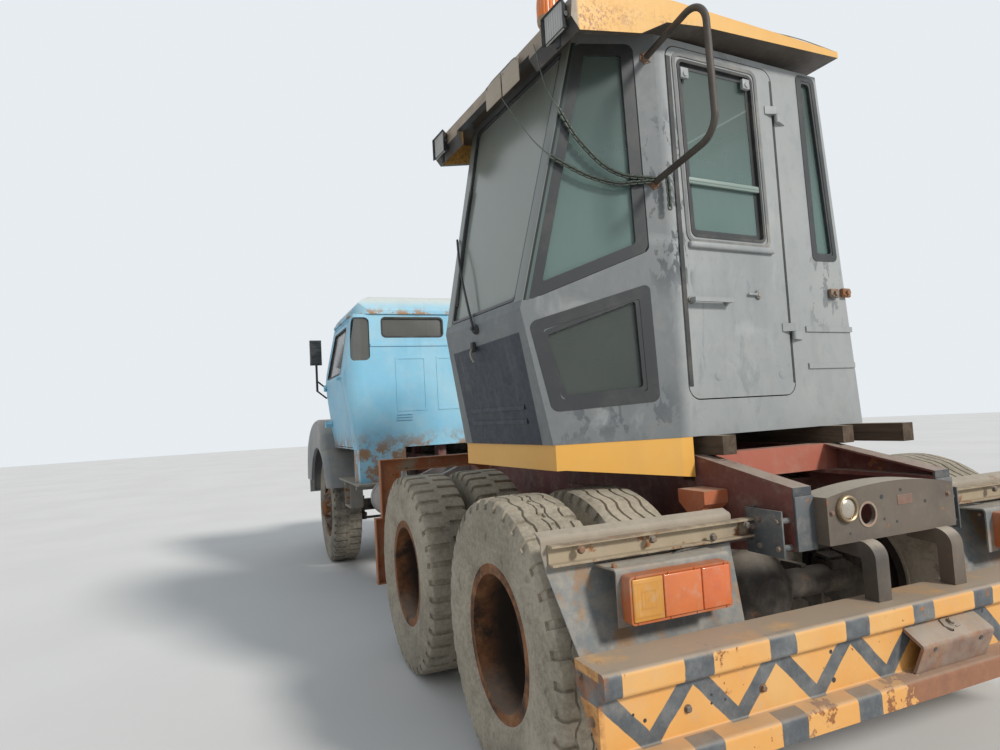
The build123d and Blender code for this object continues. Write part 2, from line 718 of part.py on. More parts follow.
with BuildPart() as front_suspension:
    with BuildSketch(Plane.YZ.offset(front_axle_x - beam_half)) as beam:
        with BuildLine():
            Polyline(*beam_outline, close=True)
        make_face()
    extrude(beam.sketch, amount=2 * beam_half)
    for x in (front_axle_x - beam_half, front_axle_x + 10):
        with BuildSketch(Plane.YZ.offset(x)) as pocket:
            with BuildLine():
                Polyline(*beam_pocket, close=True)
            make_face()
        extrude(pocket.sketch, amount=beam_half - 10, mode=Mode.SUBTRACT)
    rod(
        (front_axle_x, kingpin_y, hub_z - eye_half_height),
        (front_axle_x, kingpin_y, hub_z + eye_half_height),
        eye_radius,
    )
    rod(
        (front_axle_x, kingpin_y, hub_z - eye_half_height),
        (front_axle_x, kingpin_y, hub_z + eye_half_height),
        kingpin_radius + shaft_gap,
        Mode.SUBTRACT,
    )
    leaf_spring(
        front_axle_x,
        front_spring_z,
        front_spring_y[0],
        front_spring_y[1],
        front_spring_half_length,
        front_leaves,
        front_leaf_plate,
        front_spring_rise,
        -1,
    )
    block((front_axle_x - 70, front_axle_x + 70), front_spring_y, (beam_top_z - 4, beam_top_z + 22))
    block((front_axle_x - 70, front_axle_x + 70), front_spring_y, (front_spring_z - 4, front_spring_z + 16))
    for end in (-1, 1):
        eye_x = front_axle_x + end * front_spring_half_length
        eye_z = front_spring_z + front_spring_rise
        rod((eye_x, front_spring_y[0], eye_z), (eye_x, front_spring_y[1], eye_z), 26)
        side_prism(
            [
                (eye_x - 45, rail_top_z - 60),
                (eye_x - 30, eye_z - 20),
                (eye_x + 30, eye_z - 20),
                (eye_x + 45, rail_top_z - 60),
            ],
            rail_half_width,
            front_spring_y[0],
        )
        side_prism(
            [
                (eye_x - 45, rail_top_z - 60),
                (eye_x - 36, eye_z + 30),
                (eye_x + 36, eye_z + 30),
                (eye_x + 45, rail_top_z - 60),
            ],
            rail_half_width,
            front_spring_y[1],
        )
        for bolt_y in (front_spring_y[0] + 1, front_spring_y[1] - 1):
            bolt_x = front_axle_x + end * 50
            rod((bolt_x, bolt_y, beam_top_z + 10), (bolt_x, bolt_y, front_spring_z + 16), 8)
    mirror(about=Plane.XZ)
save(front_suspension.part, "front_suspension")

# Knuckles: a fork round each beam eye with its kingpin, spindle, brake plate and steering arm
fork_low_z = hub_z - eye_half_height - shut_gap - 30
fork_high_z = hub_z + eye_half_height + shut_gap + 30
front_spindle_end_y = 1184
front_brake_plate_y = (903, 913)
fork_half_width = 40
fork_web_y = kingpin_y + eye_radius + 7
arm_reach = 190
arm_end_radius = 30
arm_top_z = fork_low_z + 30
track_pin_radius = 10
track_open_gap = 0.5
track_eye_radius = 28
track_rod_z = arm_top_z - 30 - shut_gap - 15
track_rod_radius = 13

for name, side in (("knuckle_left", 1), ("knuckle_right", -1)):
    with BuildPart() as knuckle:
        with BuildSketch(Plane.XY.offset(fork_low_z)) as fork:
            with Locations((front_axle_x, side * kingpin_y)):
                Circle(eye_radius)
            with Locations((front_axle_x, side * (kingpin_y + front_brake_plate_y[0]) / 2)):
                Rectangle(2 * fork_half_width, front_brake_plate_y[0] - kingpin_y)
        extrude(fork.sketch, amount=fork_high_z - fork_low_z)
        with BuildSketch(Plane.XY.offset(arm_top_z)) as slot:
            with Locations((front_axle_x, side * kingpin_y)):
                Circle(fork_web_y - kingpin_y)
            with Locations((front_axle_x, side * (kingpin_y - eye_radius))):
                Rectangle(2 * (fork_web_y - kingpin_y), 2 * eye_radius)
        extrude(slot.sketch, amount=2 * (eye_half_height + shut_gap), mode=Mode.SUBTRACT)
        rod((front_axle_x, side * kingpin_y, fork_low_z), (front_axle_x, side * kingpin_y, fork_high_z), kingpin_radius)
        rod(
            (front_axle_x, side * fork_web_y, hub_z),
            (front_axle_x, side * front_spindle_end_y, hub_z),
            spindle_radius,
        )
        rod(
            (front_axle_x, side * front_brake_plate_y[0], hub_z),
            (front_axle_x, side * front_brake_plate_y[1], hub_z),
            brake_plate_radius,
        )
        with BuildSketch(Plane.XY.offset(fork_low_z)) as arm:
            with Locations((front_axle_x - arm_reach, side * kingpin_y)):
                Circle(arm_end_radius)
            with Locations((front_axle_x - arm_reach / 2, side * kingpin_y)):
                Rectangle(arm_reach, 2 * arm_end_radius - 12)
            with Locations((front_axle_x - arm_reach, side * kingpin_y)):
                Circle(track_pin_radius + (shaft_gap if side == 1 else track_open_gap), mode=Mode.SUBTRACT)
        extrude(arm.sketch, amount=arm_top_z - fork_low_z)
    save(knuckle.part, name)

# Track rod between the two steering arms
with BuildPart() as track_rod:
    rod(
        (front_axle_x - arm_reach, -kingpin_y, track_rod_z),
        (front_axle_x - arm_reach, kingpin_y, track_rod_z),
        track_rod_radius,
    )
    for side in (-1, 1):
        y = side * kingpin_y
        rod(
            (front_axle_x - arm_reach, y, track_rod_z - 15),
            (front_axle_x - arm_reach, y, track_rod_z + 15),
            track_eye_radius,
        )
        rod(
            (front_axle_x - arm_reach, y, track_rod_z),
            (front_axle_x - arm_reach, y, arm_top_z + 4),
            track_pin_radius,
        )
save(track_rod.part, "track_rod")

# Wheels: a tyre node and a rim node each; the rear ones are twins on one hub
bead_half = 105
barrel_plate = 8
barrel_half = bead_half + 3
rim_flange_radius = 285
disc_plate = 10
hub_radius = 98
rear_drum_y = (640, 838)
front_drum_y = (925, 1075)
drum_radius = 205
front_disc_y = front_tyre_y + 110
tyre_profile = [
    # share of the half width, height above the rim as a share of the tyre's section
    (0.78, 0.13),
    (0.86, 0.17),
    (1.00, 0.53),
    (0.985, 0.72),
    (0.91, 0.955),
    (0.80, 1.00),
]
section_height = tyre_radius - rim_radius


def wheel_plane(axle_x, y):
    """A sketch plane with its first axis along +Y through the wheel's middle and its second upwards."""
    return Plane(origin=(axle_x, y, hub_z), x_dir=(0, 1, 0), z_dir=(1, 0, 0))


def tyre(axle_x, y):
    """Adds one tyre as a closed ring."""
    half = tyre_width / 2
    outer = [(a * half, rim_radius + b * section_height) for a, b in tyre_profile]
    side = [(bead_half, rim_radius + seat_gap)] + [(bead_half, outer[0][1])] + outer
    with BuildSketch(wheel_plane(axle_x, y)) as section:
        with BuildLine():
            Polyline(*side, *[(-a, r) for a, r in reversed(side)], close=True)
        make_face()
    revolve(section.sketch, axis=Axis((axle_x, y, hub_z), (0, 1, 0)))


def barrel(axle_x, y):
    """Adds a rim barrel with its two flanges."""
    with BuildSketch(wheel_plane(axle_x, y)) as section:
        with Locations((0, rim_radius - barrel_plate / 2)):
            Rectangle(2 * (barrel_half + barrel_plate), barrel_plate)
        for side in (-1, 1):
            with Locations((side * (barrel_half + barrel_plate / 2), (rim_radius + rim_flange_radius) / 2)):
                Rectangle(barrel_plate, rim_flange_radius - rim_radius)
    revolve(section.sketch, axis=Axis((axle_x, y, hub_z), (0, 1, 0)))


def turned(axle_x, outline):
    """Adds a ring turned about the axle from (y, radius) points."""
    with BuildSketch(wheel_plane(axle_x, 0)) as section:
        with BuildLine():
            Polyline(*outline, close=True)
        make_face()
    revolve(section.sketch, axis=Axis((axle_x, 0, hub_z), (0, 1, 0)))


def disc(axle_x, side, face_y, toward):
    """Adds a dished disc from the barrel to its bolting face; toward is 1 when the barrel lies outboard."""
    steps = [(0, hub_radius - 5), (0, 180), (7, 196), (62, 219), (88, rim_radius - barrel_plate / 2)]
    back = [(88 + disc_plate, rim_radius - barrel_plate / 2), (70, 213), (15, 189)]
    back = back + [(disc_plate, 178), (disc_plate, hub_radius - 5)]
    turned(axle_x, [(side * (face_y + toward * a), r) for a, r in steps + back])


def drum(axle_x, side, y_open, y_shut):
    """Adds a brake drum, open towards the middle of the truck."""
    outline = [
        (y_open, drum_radius),
        (y_shut, drum_radius),
        (y_shut, hub_radius - 5),
        (y_shut - 14, hub_radius - 5),
        (y_shut - 14, drum_radius - 16),
        (y_open, drum_radius - 16),
    ]
    turned(axle_x, [(side * y, r) for y, r in outline])


wheels = [
    # name, axle place, side, twin
    ("front_left", front_axle_x, 1, False),
    ("front_right", front_axle_x, -1, False),
    ("middle_left", mid_axle_x, 1, True),
    ("middle_right", mid_axle_x, -1, True),
    ("rear_left", rear_axle_x, 1, True),
    ("rear_right", rear_axle_x, -1, True),
]
bore = spindle_radius + shaft_gap

for name, axle_x, side, twin in wheels:
    tyre_ys = (outer_tyre_y, inner_tyre_y) if twin else (front_tyre_y,)
    with BuildPart() as tyres:
        for y in tyre_ys:
            tyre(axle_x, side * y)
    save(tyres.part, f"tyre_{name}")
    with BuildPart() as rim:
        for y in tyre_ys:
            barrel(axle_x, side * y)
        if twin:
            disc(axle_x, side, twin_middle_y, 1)
            disc(axle_x, side, twin_middle_y, -1)
            drum(axle_x, side, *rear_drum_y)
            hub_outline = [
                (rear_drum_y[0], bore),
                (rear_drum_y[0], hub_radius),
                (twin_middle_y - 26, hub_radius),
                (twin_middle_y - 26, 165),
                (twin_middle_y - disc_plate, 165),
                (twin_middle_y - disc_plate, hub_radius),
                (1000, hub_radius),
                (1006, 88),
                (1024, 80),
                (1024, 0),
                (1000, 0),
                (1000, bore),
            ]
        else:
            disc(axle_x, side, front_disc_y, -1)
            drum(axle_x, side, *front_drum_y)
            hub_outline = [
                (front_drum_y[0], bore),
                (front_drum_y[0], hub_radius),
                (front_disc_y - 26, hub_radius),
                (front_disc_y - 26, 165),
                (front_disc_y - disc_plate, 165),
                (front_disc_y - disc_plate, hub_radius),
                (1180, hub_radius - 6),
                (1196, 70),
                (1204, 60),
                (1204, 0),
                (1190, 0),
                (1190, bore),
            ]
        turned(axle_x, [(side * y, r) for y, r in hub_outline])
    save(rim.part, f"rim_{name}")

# Blue cab: one hollow form from a side, a front and a plan outline, cut into shell and doors
cab_length = 1194
cab_rear_x = rear_axle_x + 3156
cab_front_x = cab_rear_x + cab_length
cab_belt_z = 1767
cab_top_z = 2285
cab_roof_z = 2486
cab_half_low = 1100
cab_half_belt = 1178
cab_half_top = 1090
cab_wall = 40
cab_rear_corner = 150
cab_front_corner = 80
screen_low_z = 1790
screen_top_x = cab_front_x - 179
glass_depth = 14
glass_thickness = 6
screen_lean = (cab_front_x - screen_top_x) / (cab_top_z + 2 - screen_low_z)
tumble_top = (cab_half_belt - cab_half_top) / (cab_top_z - cab_belt_z)
tumble_low = (cab_half_belt - cab_half_low) / (cab_belt_z - cab_low_z)


def cab_form(inset, low_z, high_z):
    """The cab's walls as a solid, shrunk by inset, between two heights."""
    with BuildPart() as form:
        with BuildSketch(Plane.XY.offset(low_z)):
            with BuildLine():
                FilletPolyline(
                    (cab_rear_x, -cab_half_belt),
                    (cab_front_x, -cab_half_belt),
                    (cab_front_x, cab_half_belt),
                    (cab_rear_x, cab_half_belt),
                    close=True,
                    radius=[cab_rear_corner, cab_front_corner, cab_front_corner, cab_rear_corner],
                )
            make_face()
            offset(amount=-inset, kind=Kind.INTERSECTION, mode=Mode.REPLACE)
        extrude(amount=high_z - low_z)
        over = 200
        with BuildSketch(Plane.XZ.offset(-2000)):
            with BuildLine():
                Polyline(
                    (cab_rear_x, cab_low_z - over),
                    (cab_front_x, cab_low_z - over),
                    (cab_front_x, screen_low_z),
                    (screen_top_x - over * screen_lean, cab_top_z + 2 + over),
                    (cab_rear_x, cab_top_z + 2 + over),
                    close=True,
                )
            make_face()
            offset(amount=-inset, kind=Kind.INTERSECTION, mode=Mode.REPLACE)
        extrude(amount=4000, mode=Mode.INTERSECT)
        with BuildSketch(Plane.YZ.offset(0)):
            with BuildLine():
                Polyline(
                    (-cab_half_low + over * tumble_low, cab_low_z - over),
                    (cab_half_low - over * tumble_low, cab_low_z - over),
                    (cab_half_belt, cab_belt_z),
                    (cab_half_top - over * tumble_top, cab_top_z + over),
                    (-cab_half_top + over * tumble_top, cab_top_z + over),
                    (-cab_half_belt, cab_belt_z),
                    close=True,
                )
            make_face()
            offset(amount=-inset, kind=Kind.INTERSECTION, mode=Mode.REPLACE)
        extrude(amount=3000, mode=Mode.INTERSECT)
    return form.part


cab_inner = cab_form(cab_wall, cab_low_z + cab_wall, cab_top_z + 100)
with BuildPart() as cab_blank:
    add(cab_form(0, cab_low_z, cab_top_z))
    add(cab_inner, mode=Mode.SUBTRACT)
with BuildPart() as cab_glass_skin:
    add(cab_form(glass_depth, cab_low_z + 200, cab_top_z))
    add(cab_form(glass_depth + glass_thickness, cab_low_z + 100, cab_top_z + 100), mode=Mode.SUBTRACT)

# Door openings and panes of the blue cab
door_rear_x = cab_rear_x + 201
door_front_x = cab_front_x - 81
door_low_z = 1165
door_high_z = 2262
door_lean_z = 1830
door_lean = 150
door_depth_y = cab_half_top - 36
door_window_low_z = 1800
door_window_top_z = 2215
door_window_rear_x = door_rear_x + 68
door_window_front_x = door_front_x - 59
window_corner = 40
door_outline = [
    (door_rear_x, door_low_z),
    (door_front_x, door_low_z),
    (door_front_x, door_lean_z),
    (door_front_x - door_lean, door_high_z),
    (door_rear_x, door_high_z),
]
door_window = [
    (door_window_rear_x, door_window_low_z),
    (door_window_front_x, door_window_low_z),
    (door_window_front_x - door_lean, door_window_top_z),
    (door_window_rear_x, door_window_top_z),
]
screen_half_low = cab_half_belt - 178
screen_half_top = cab_half_top - 155
screen_pane_z = (1822, 2235)
rear_window_y = (312, cab_half_top - 226)
rear_window_z = (2083, 2262)
corner_window_x = cab_rear_x + 42
corner_window_y = cab_half_top - 58
corner_window_z = (1894, 2257)
corner_window_width = 160
corner_window_turn = 60


def window_cutter(plane, outline, corner, shrink, depth):
    """A prism through a window's outline, with rounded corners, shrunk on all sides."""
    with BuildPart() as cutter:
        with BuildSketch(plane):
            with BuildLine():
                FilletPolyline(*outline, close=True, radius=corner)
            make_face()
            if shrink:
                offset(amount=-shrink, kind=Kind.INTERSECTION, mode=Mode.REPLACE)
        extrude(amount=depth)
    return cutter.part


def cab_fixed_windows(shrink):
    """The prisms of the screen, the two rear windows and the two corner windows."""
    screen = [
        (-screen_half_low, screen_pane_z[0]),
        (screen_half_low, screen_pane_z[0]),
        (screen_half_top, screen_pane_z[1]),
        (-screen_half_top, screen_pane_z[1]),
    ]
    cutters = [window_cutter(Plane.YZ.offset(cab_front_x - 260), screen, window_corner, shrink, 400)]
    for side in (-1, 1):
        low_y, high_y = sorted((side * rear_window_y[0], side * rear_window_y[1]))
        pane = [
            (low_y, rear_window_z[0]),
            (high_y, rear_window_z[0]),
            (high_y, rear_window_z[1]),
            (low_y, rear_window_z[1]),
        ]
        cutters.append(window_cutter(Plane.YZ.offset(cab_rear_x - 50), pane, window_corner, shrink, 150))
        turn = radians(corner_window_turn)
        corner_plane = Plane(
            origin=(corner_window_x, side * corner_window_y, 0),
            x_dir=(-side * cos(turn), -sin(turn), 0),
            z_dir=(-sin(turn), side * cos(turn), 0),
        )
        half = corner_window_width / 2
        pane = [
            (-half, corner_window_z[0]),
            (half, corner_window_z[0]),
            (half, corner_window_z[1]),
            (-half, corner_window_z[1]),
        ]
        corner_plane = corner_plane.offset(-80)
        cutters.append(window_cutter(corner_plane, pane, window_corner, shrink, 200))
    return cutters


def side_cutter(side, outline, corner, shrink, y_low):
    """A prism through one side wall of the cab from an (x, z) outline."""
    plane = Plane(origin=(0, side * y_low, 0), x_dir=(1, 0, 0), z_dir=(0, -1, 0))
    depth = -side * 300
    return window_cutter(plane, outline, corner, shrink, depth)


# Hinge of the bonnet, outside the cab's front face
bonnet_rear_x = cab_front_x + 12
bonnet_axis_x = bonnet_rear_x + 6
bonnet_axis_z = 1771
bonnet_hinge_radius = 12
bonnet_hinge_pin = 7
bonnet_hinge_y = 250
bonnet_hinge_width = 40

# Shell of the blue cab, with its rear rib, pressed panels, louvres and the boxes under its rear corners
cab_box_x = (cab_rear_x - 15, cab_rear_x + 230)
cab_box_y = (cab_half_low - 400, cab_half_low - 10)
cab_box_low_z = 880
rib_half_width = cab_half_top - 130
rib_z = (2010, 2032)
panel_frames = [
    # middle y, width, low z, high z
    (0, 780, 1455, 1918),
    (619, 268, 1455, 1918),
    (-619, 268, 1455, 1918),
]
panel_depth = 4
panel_edge = 18
louvre_y = (621, 758)
louvre_zs = (1380, 1403, 1426)
gap_outer_y = 7
gap_inner_y = 16

with BuildPart() as cab_shell:
    add(cab_blank.part)
    for cutter in cab_fixed_windows(0):
        add(cutter, mode=Mode.SUBTRACT)
    for side in (-1, 1):
        add(side_cutter(side, door_outline, 0, 0, door_depth_y - shut_gap), mode=Mode.SUBTRACT)
    block((cab_rear_x - 8, cab_rear_x + 10), (-rib_half_width, rib_half_width), rib_z)
    for middle_y, width, low_z, high_z in panel_frames:
        y_pair = (middle_y - width / 2, middle_y + width / 2)
        block((cab_rear_x - panel_depth, cab_rear_x + 10), y_pair, (low_z, high_z))
        inner_y = (y_pair[0] + panel_edge, y_pair[1] - panel_edge)
        block((cab_rear_x - panel_depth, cab_rear_x), inner_y, (low_z + panel_edge, high_z - panel_edge), Mode.SUBTRACT)
    for side in (-1, 1):
        for z in louvre_zs:
            block((cab_rear_x - 10, cab_rear_x + 5), (side * louvre_y[0], side * louvre_y[1]), (z, z + 10))
        block(cab_box_x, (side * cab_box_y[0], side * cab_box_y[1]), (cab_box_low_z, cab_low_z + 5))

# Hinge knuckles of the doors: the lower half with its pin on the body, the upper half on the door
hinge_y = cab_half_belt + 12
hinge_x = door_front_x - shut_gap / 2
hinge_radius = 11
hinge_pin_radius = 6
hinge_half = 30
hinge_zs = (1380, 1730)


def cab_skin_y(z):
    """The half width of the cab's skin at a height."""
    if z > cab_belt_z:
        return cab_half_belt - (z - cab_belt_z) * tumble_top
    return cab_half_belt - (cab_belt_z - z) * tumble_low


def hinge_lug(side, toward, low_z):
    """Adds one knuckle with a lug that runs back into the skin; toward is 1 for the body in front."""
    skin = cab_skin_y(low_z) - 6
    with BuildSketch(Plane.XY.offset(low_z)) as lug:
        with Locations((hinge_x, side * hinge_y)):
            Circle(hinge_radius)
        reach = toward * 26
        with BuildLine():
            Polyline(
                (hinge_x, side * (hinge_y + hinge_radius)),
                (hinge_x + reach, side * (skin + 16)),
                (hinge_x + reach, side * skin),
                (hinge_x + toward * (shut_gap / 2 + 4), side * skin),
                (hinge_x, side * (hinge_y - hinge_radius)),
                close=True,
            )
        make_face()
    extrude(lug.sketch, amount=hinge_half)


with BuildPart() as cab_shell_hinged:
    add(cab_shell.part)
    for side in (-1, 1):
        for z in hinge_zs:
            hinge_lug(side, 1, z - hinge_half)
            rod((hinge_x, side * hinge_y, z - hinge_half), (hinge_x, side * hinge_y, z + hinge_half + 1), hinge_pin_radius)
        inner_y = side * bonnet_hinge_y
        outer_y = side * (bonnet_hinge_y + bonnet_hinge_width)
        rod((bonnet_axis_x, inner_y, bonnet_axis_z), (bonnet_axis_x, outer_y, bonnet_axis_z), bonnet_hinge_radius)
        block((cab_front_x - 10, bonnet_axis_x), (inner_y, outer_y), (bonnet_axis_z - 5, bonnet_axis_z + 5))
        pin_y = side * (bonnet_hinge_y + 2 * bonnet_hinge_width + 1)
        rod((bonnet_axis_x, inner_y, bonnet_axis_z), (bonnet_axis_x, pin_y, bonnet_axis_z), bonnet_hinge_pin)
save(cab_shell_hinged.part, "cab_shell")

# Doors of the blue cab with their handles, and the door panes
handle_x = (door_rear_x + 35, door_rear_x + 153)
handle_z = (1758, 1776)
handle_out = 34
handle_bar = 14
handle_foot = 18

for name, side in (("left", 1), ("right", -1)):
    with BuildPart() as door:
        add(cab_blank.part)
        add(side_cutter(side, door_outline, 0, shut_gap, door_depth_y), mode=Mode.INTERSECT)
        with BuildSketch(Plane.XY.offset(door_low_z)) as bevel:
            with BuildLine():
                Polyline(
                    (door_rear_x, side * (cab_half_belt + 20)),
                    (door_rear_x + gap_outer_y, side * (cab_half_belt + 20)),
                    (door_rear_x + gap_inner_y, side * door_depth_y),
                    (door_rear_x, side * door_depth_y),
                    close=True,
                )
            make_face()
        extrude(bevel.sketch, amount=door_high_z - door_low_z, mode=Mode.SUBTRACT)
        add(side_cutter(side, door_window, window_corner, 0, door_depth_y - 60), mode=Mode.SUBTRACT)
        for z in hinge_zs:
            hinge_lug(side, -1, z + 1)
            rod(
                (hinge_x, side * hinge_y, z + 1),
                (hinge_x, side * hinge_y, z + 1 + hinge_half),
                hinge_pin_radius + shaft_gap,
                Mode.SUBTRACT,
            )
    save(door.part, f"door_{name}")
    handle_face_y = cab_skin_y(handle_z[0]) + handle_out
    with BuildPart() as handle:
        block(handle_x, (side * (handle_face_y - handle_bar), side * handle_face_y), handle_z)
        for x in handle_x:
            foot_x = (x - handle_foot / 2, x + handle_foot / 2)
            block(foot_x, (side * (cab_half_belt + seat_gap), side * handle_face_y), handle_z)
    save(handle.part, f"door_handle_{name}")
    with BuildPart() as pane:
        add(cab_glass_skin.part)
        add(side_cutter(side, door_window, window_corner, seat_gap, door_depth_y - 60), mode=Mode.INTERSECT)
    save(pane.part, f"door_glass_{name}")

# Fixed panes: the screen, the rear windows and the corner windows
with BuildPart() as cab_glass:
    panes = [cab_glass_skin.part & cutter for cutter in cab_fixed_windows(seat_gap)]
    for pane in panes:
        add(pane)
save(cab_glass.part, "cab_glass")

# Roof of the blue cab: a crowned cap with a gutter, hollow below
roof_wall = 40
gutter_out = 15
gutter_height = 18
roof_edge_z = 2400


def roof_form(inset):
    """The roof as a solid, shrunk by inset."""
    with BuildPart() as form:
        with BuildSketch(Plane.XY.offset(cab_top_z)):
            with BuildLine():
                FilletPolyline(
                    (cab_rear_x, -cab_half_top),
                    (screen_top_x + 20, -cab_half_top),
                    (screen_top_x + 20, cab_half_top),
                    (cab_rear_x, cab_half_top),
                    close=True,
                    radius=[cab_rear_corner, 90, 90, cab_rear_corner],
                )
            make_face()
            if inset:
                offset(amount=-inset, kind=Kind.INTERSECTION, mode=Mode.REPLACE)
        extrude(amount=cab_roof_z - cab_top_z + 50)
        middle_x = (cab_rear_x + screen_top_x) / 2
        with BuildSketch(Plane.XZ.offset(-2000)):
            with BuildLine():
                Line((cab_rear_x - 5, cab_top_z - 50), (screen_top_x + 25, cab_top_z - 50))
                Line((screen_top_x + 25, cab_top_z - 50), (screen_top_x + 25, cab_top_z + 40 - inset))
                ThreePointArc(
                    (screen_top_x + 25, cab_top_z + 40 - inset),
                    (screen_top_x - 90, roof_edge_z + 20 - inset),
                    (screen_top_x - 280, cab_roof_z - 12 - inset),
                )
                ThreePointArc(
                    (screen_top_x - 280, cab_roof_z - 12 - inset),
                    (middle_x, cab_roof_z - inset),
                    (cab_rear_x + 240, cab_roof_z - 22 - inset),
                )
                ThreePointArc(
                    (cab_rear_x + 240, cab_roof_z - 22 - inset),
                    (cab_rear_x + 60, roof_edge_z + 10 - inset),
                    (cab_rear_x - 5, cab_top_z + 20 - inset),
                )
                Line((cab_rear_x - 5, cab_top_z + 20 - inset), (cab_rear_x - 5, cab_top_z - 50))
            make_face()
        extrude(amount=4000, mode=Mode.INTERSECT)
        with BuildSketch(Plane.YZ.offset(0)):
            with BuildLine():
                Line((-cab_half_top - 5, cab_top_z - 50), (cab_half_top + 5, cab_top_z - 50))
                Line((cab_half_top + 5, cab_top_z - 50), (cab_half_top + 5, cab_top_z + 20 - inset))
                ThreePointArc(
                    (cab_half_top + 5, cab_top_z + 20 - inset),
                    (cab_half_top - 90, roof_edge_z + 20 - inset),
                    (cab_half_top - 330, cab_roof_z - 25 - inset),
                )
                ThreePointArc(
                    (cab_half_top - 330, cab_roof_z - 25 - inset),
                    (0, cab_roof_z - inset),
                    (-cab_half_top + 330, cab_roof_z - 25 - inset),
                )
                ThreePointArc(
                    (-cab_half_top + 330, cab_roof_z - 25 - inset),
                    (-cab_half_top + 90, roof_edge_z + 20 - inset),
                    (-cab_half_top - 5, cab_top_z + 20 - inset),
                )
                Line((-cab_half_top - 5, cab_top_z + 20 - inset), (-cab_half_top - 5, cab_top_z - 50))
            make_face()
        extrude(amount=3000, mode=Mode.INTERSECT)
    return form.part


with BuildPart() as cab_roof:
    add(roof_form(0))
    with BuildSketch(Plane.XY.offset(cab_top_z)) as gutter:
        with BuildLine():
            FilletPolyline(
                (cab_rear_x - gutter_out, -cab_half_top - gutter_out),
                (screen_top_x + 20 + gutter_out, -cab_half_top - gutter_out),
                (screen_top_x + 20 + gutter_out, cab_half_top + gutter_out),
                (cab_rear_x - gutter_out, cab_half_top + gutter_out),
                close=True,
                radius=[cab_rear_corner + gutter_out, 105, 105, cab_rear_corner + gutter_out],
            )
        make_face()
    extrude(gutter.sketch, amount=gutter_height)
    add(roof_form(roof_wall), mode=Mode.SUBTRACT)
save(cab_roof.part, "cab_roof")

# Seat bench, dash and steering wheel inside the blue cab
cab_floor_z = cab_low_z + cab_wall
seat_x = (cab_rear_x + 124, cab_rear_x + 654)
seat_half_width = cab_half_top - 130
seat_top_z = 1560
seat_back_z = 2020
dash_x = (cab_front_x - 270, cab_front_x - cab_wall - seat_gap)
dash_half_width = cab_half_top - 50
dash_z = (1480, 1745)
wheel_centre = (cab_front_x - 410, 560, 1800)
wheel_tilt = 35
steering_wheel_radius = 235
steering_rim_radius = 15

with BuildPart() as cab_interior:
    side_prism(
        [
            (seat_x[0] + 40, cab_floor_z),
            (seat_x[1] - 60, cab_floor_z),
            (seat_x[1], seat_top_z - 30),
            (seat_x[1] - 20, seat_top_z),
            (seat_x[0] + 130, seat_top_z - 30),
            (seat_x[0] + 50, seat_back_z),
            (seat_x[0], seat_back_z),
        ],
        -seat_half_width,
        seat_half_width,
    )
    side_prism(
        [
            (dash_x[0], dash_z[0] + 60),
            (dash_x[0] + 60, dash_z[1]),
            (dash_x[1], dash_z[1]),
            (dash_x[1], dash_z[0]),
            (dash_x[0] + 40, dash_z[0]),
        ],
        -dash_half_width,
        dash_half_width,
    )
    wheel_axis = Vector(cos(radians(wheel_tilt)), 0, -sin(radians(wheel_tilt)))
    column_end = Vector(*wheel_centre) + wheel_axis * 330
    rod(wheel_centre, tuple(column_end), 28)
    hub_plane = Plane(origin=wheel_centre, x_dir=(0, 1, 0), z_dir=wheel_axis)
    with BuildSketch(hub_plane) as spokes:
        Rectangle(2 * steering_wheel_radius, 36)
        Rectangle(36, 2 * steering_wheel_radius)
    extrude(spokes.sketch, amount=10)
    ring_plane = Plane(origin=wheel_centre, x_dir=(0, 1, 0), z_dir=hub_plane.y_dir)
    with BuildSketch(ring_plane) as ring:
        with Locations((steering_wheel_radius, 0)):
            Circle(steering_rim_radius)
    revolve(ring.sketch, axis=Axis(wheel_centre, tuple(wheel_axis)))
save(cab_interior.part, "cab_interior")

# Bonnet: a crowned cap hinged at its rear edge, thinner towards the nose
bonnet_nose_x = front_axle_x + 1060
bonnet_low_z = 1300
bonnet_wall = 22
bonnet_sections = [
    # x, half width, shoulder z, top z
    (bonnet_rear_x, 600, 1560, 1765),
    (bonnet_rear_x + 700, 560, 1530, 1710),
    (bonnet_nose_x - 120, 480, 1420, 1560),
]
bonnet_nose_top_z = 1440


def bonnet_form(inset, low_z, front_x):
    """The bonnet's outside shrunk by inset, down to a height and out to a nose."""
    with BuildPart() as form:
        stations = [(x, w - inset, s - inset, t - inset) for x, w, s, t in bonnet_sections]
        stations.append((front_x, stations[-1][1] - 30, bonnet_nose_top_z - 60 - inset, bonnet_nose_top_z - inset))
        for x, half, shoulder_z, top_z in stations:
            with BuildSketch(Plane.YZ.offset(x)):
                with BuildLine():
                    Line((-half, shoulder_z), (-half, low_z))
                    Line((-half, low_z), (half, low_z))
                    Line((half, low_z), (half, shoulder_z))
                    knee = (half * 0.82, shoulder_z + 0.72 * (top_z - shoulder_z))
                    ThreePointArc((half, shoulder_z), (half * 0.955, shoulder_z + 0.45 * (top_z - shoulder_z)), knee)
                    ThreePointArc(knee, (0, top_z), (-knee[0], knee[1]))
                    ThreePointArc(
                        (-knee[0], knee[1]), (-half * 0.955, shoulder_z + 0.45 * (top_z - shoulder_z)), (-half, shoulder_z)
                    )
                make_face()
        loft(ruled=True)
    return form.part


# Nose: side panels, cowl rail and the grille with its bars
nose_low_z = 900
nose_front_x = front_axle_x + 1110
nose_wall = 20
nose_top_z = bonnet_low_z - shut_gap
nose_half_rear = 600
nose_half_front = 450
grille_half_width = 380
grille_z = (950, 1250)
grille_bars = 7
nose_foot_x = (nose_front_x - 250, nose_front_x - 180)
nose_foot_y = 456

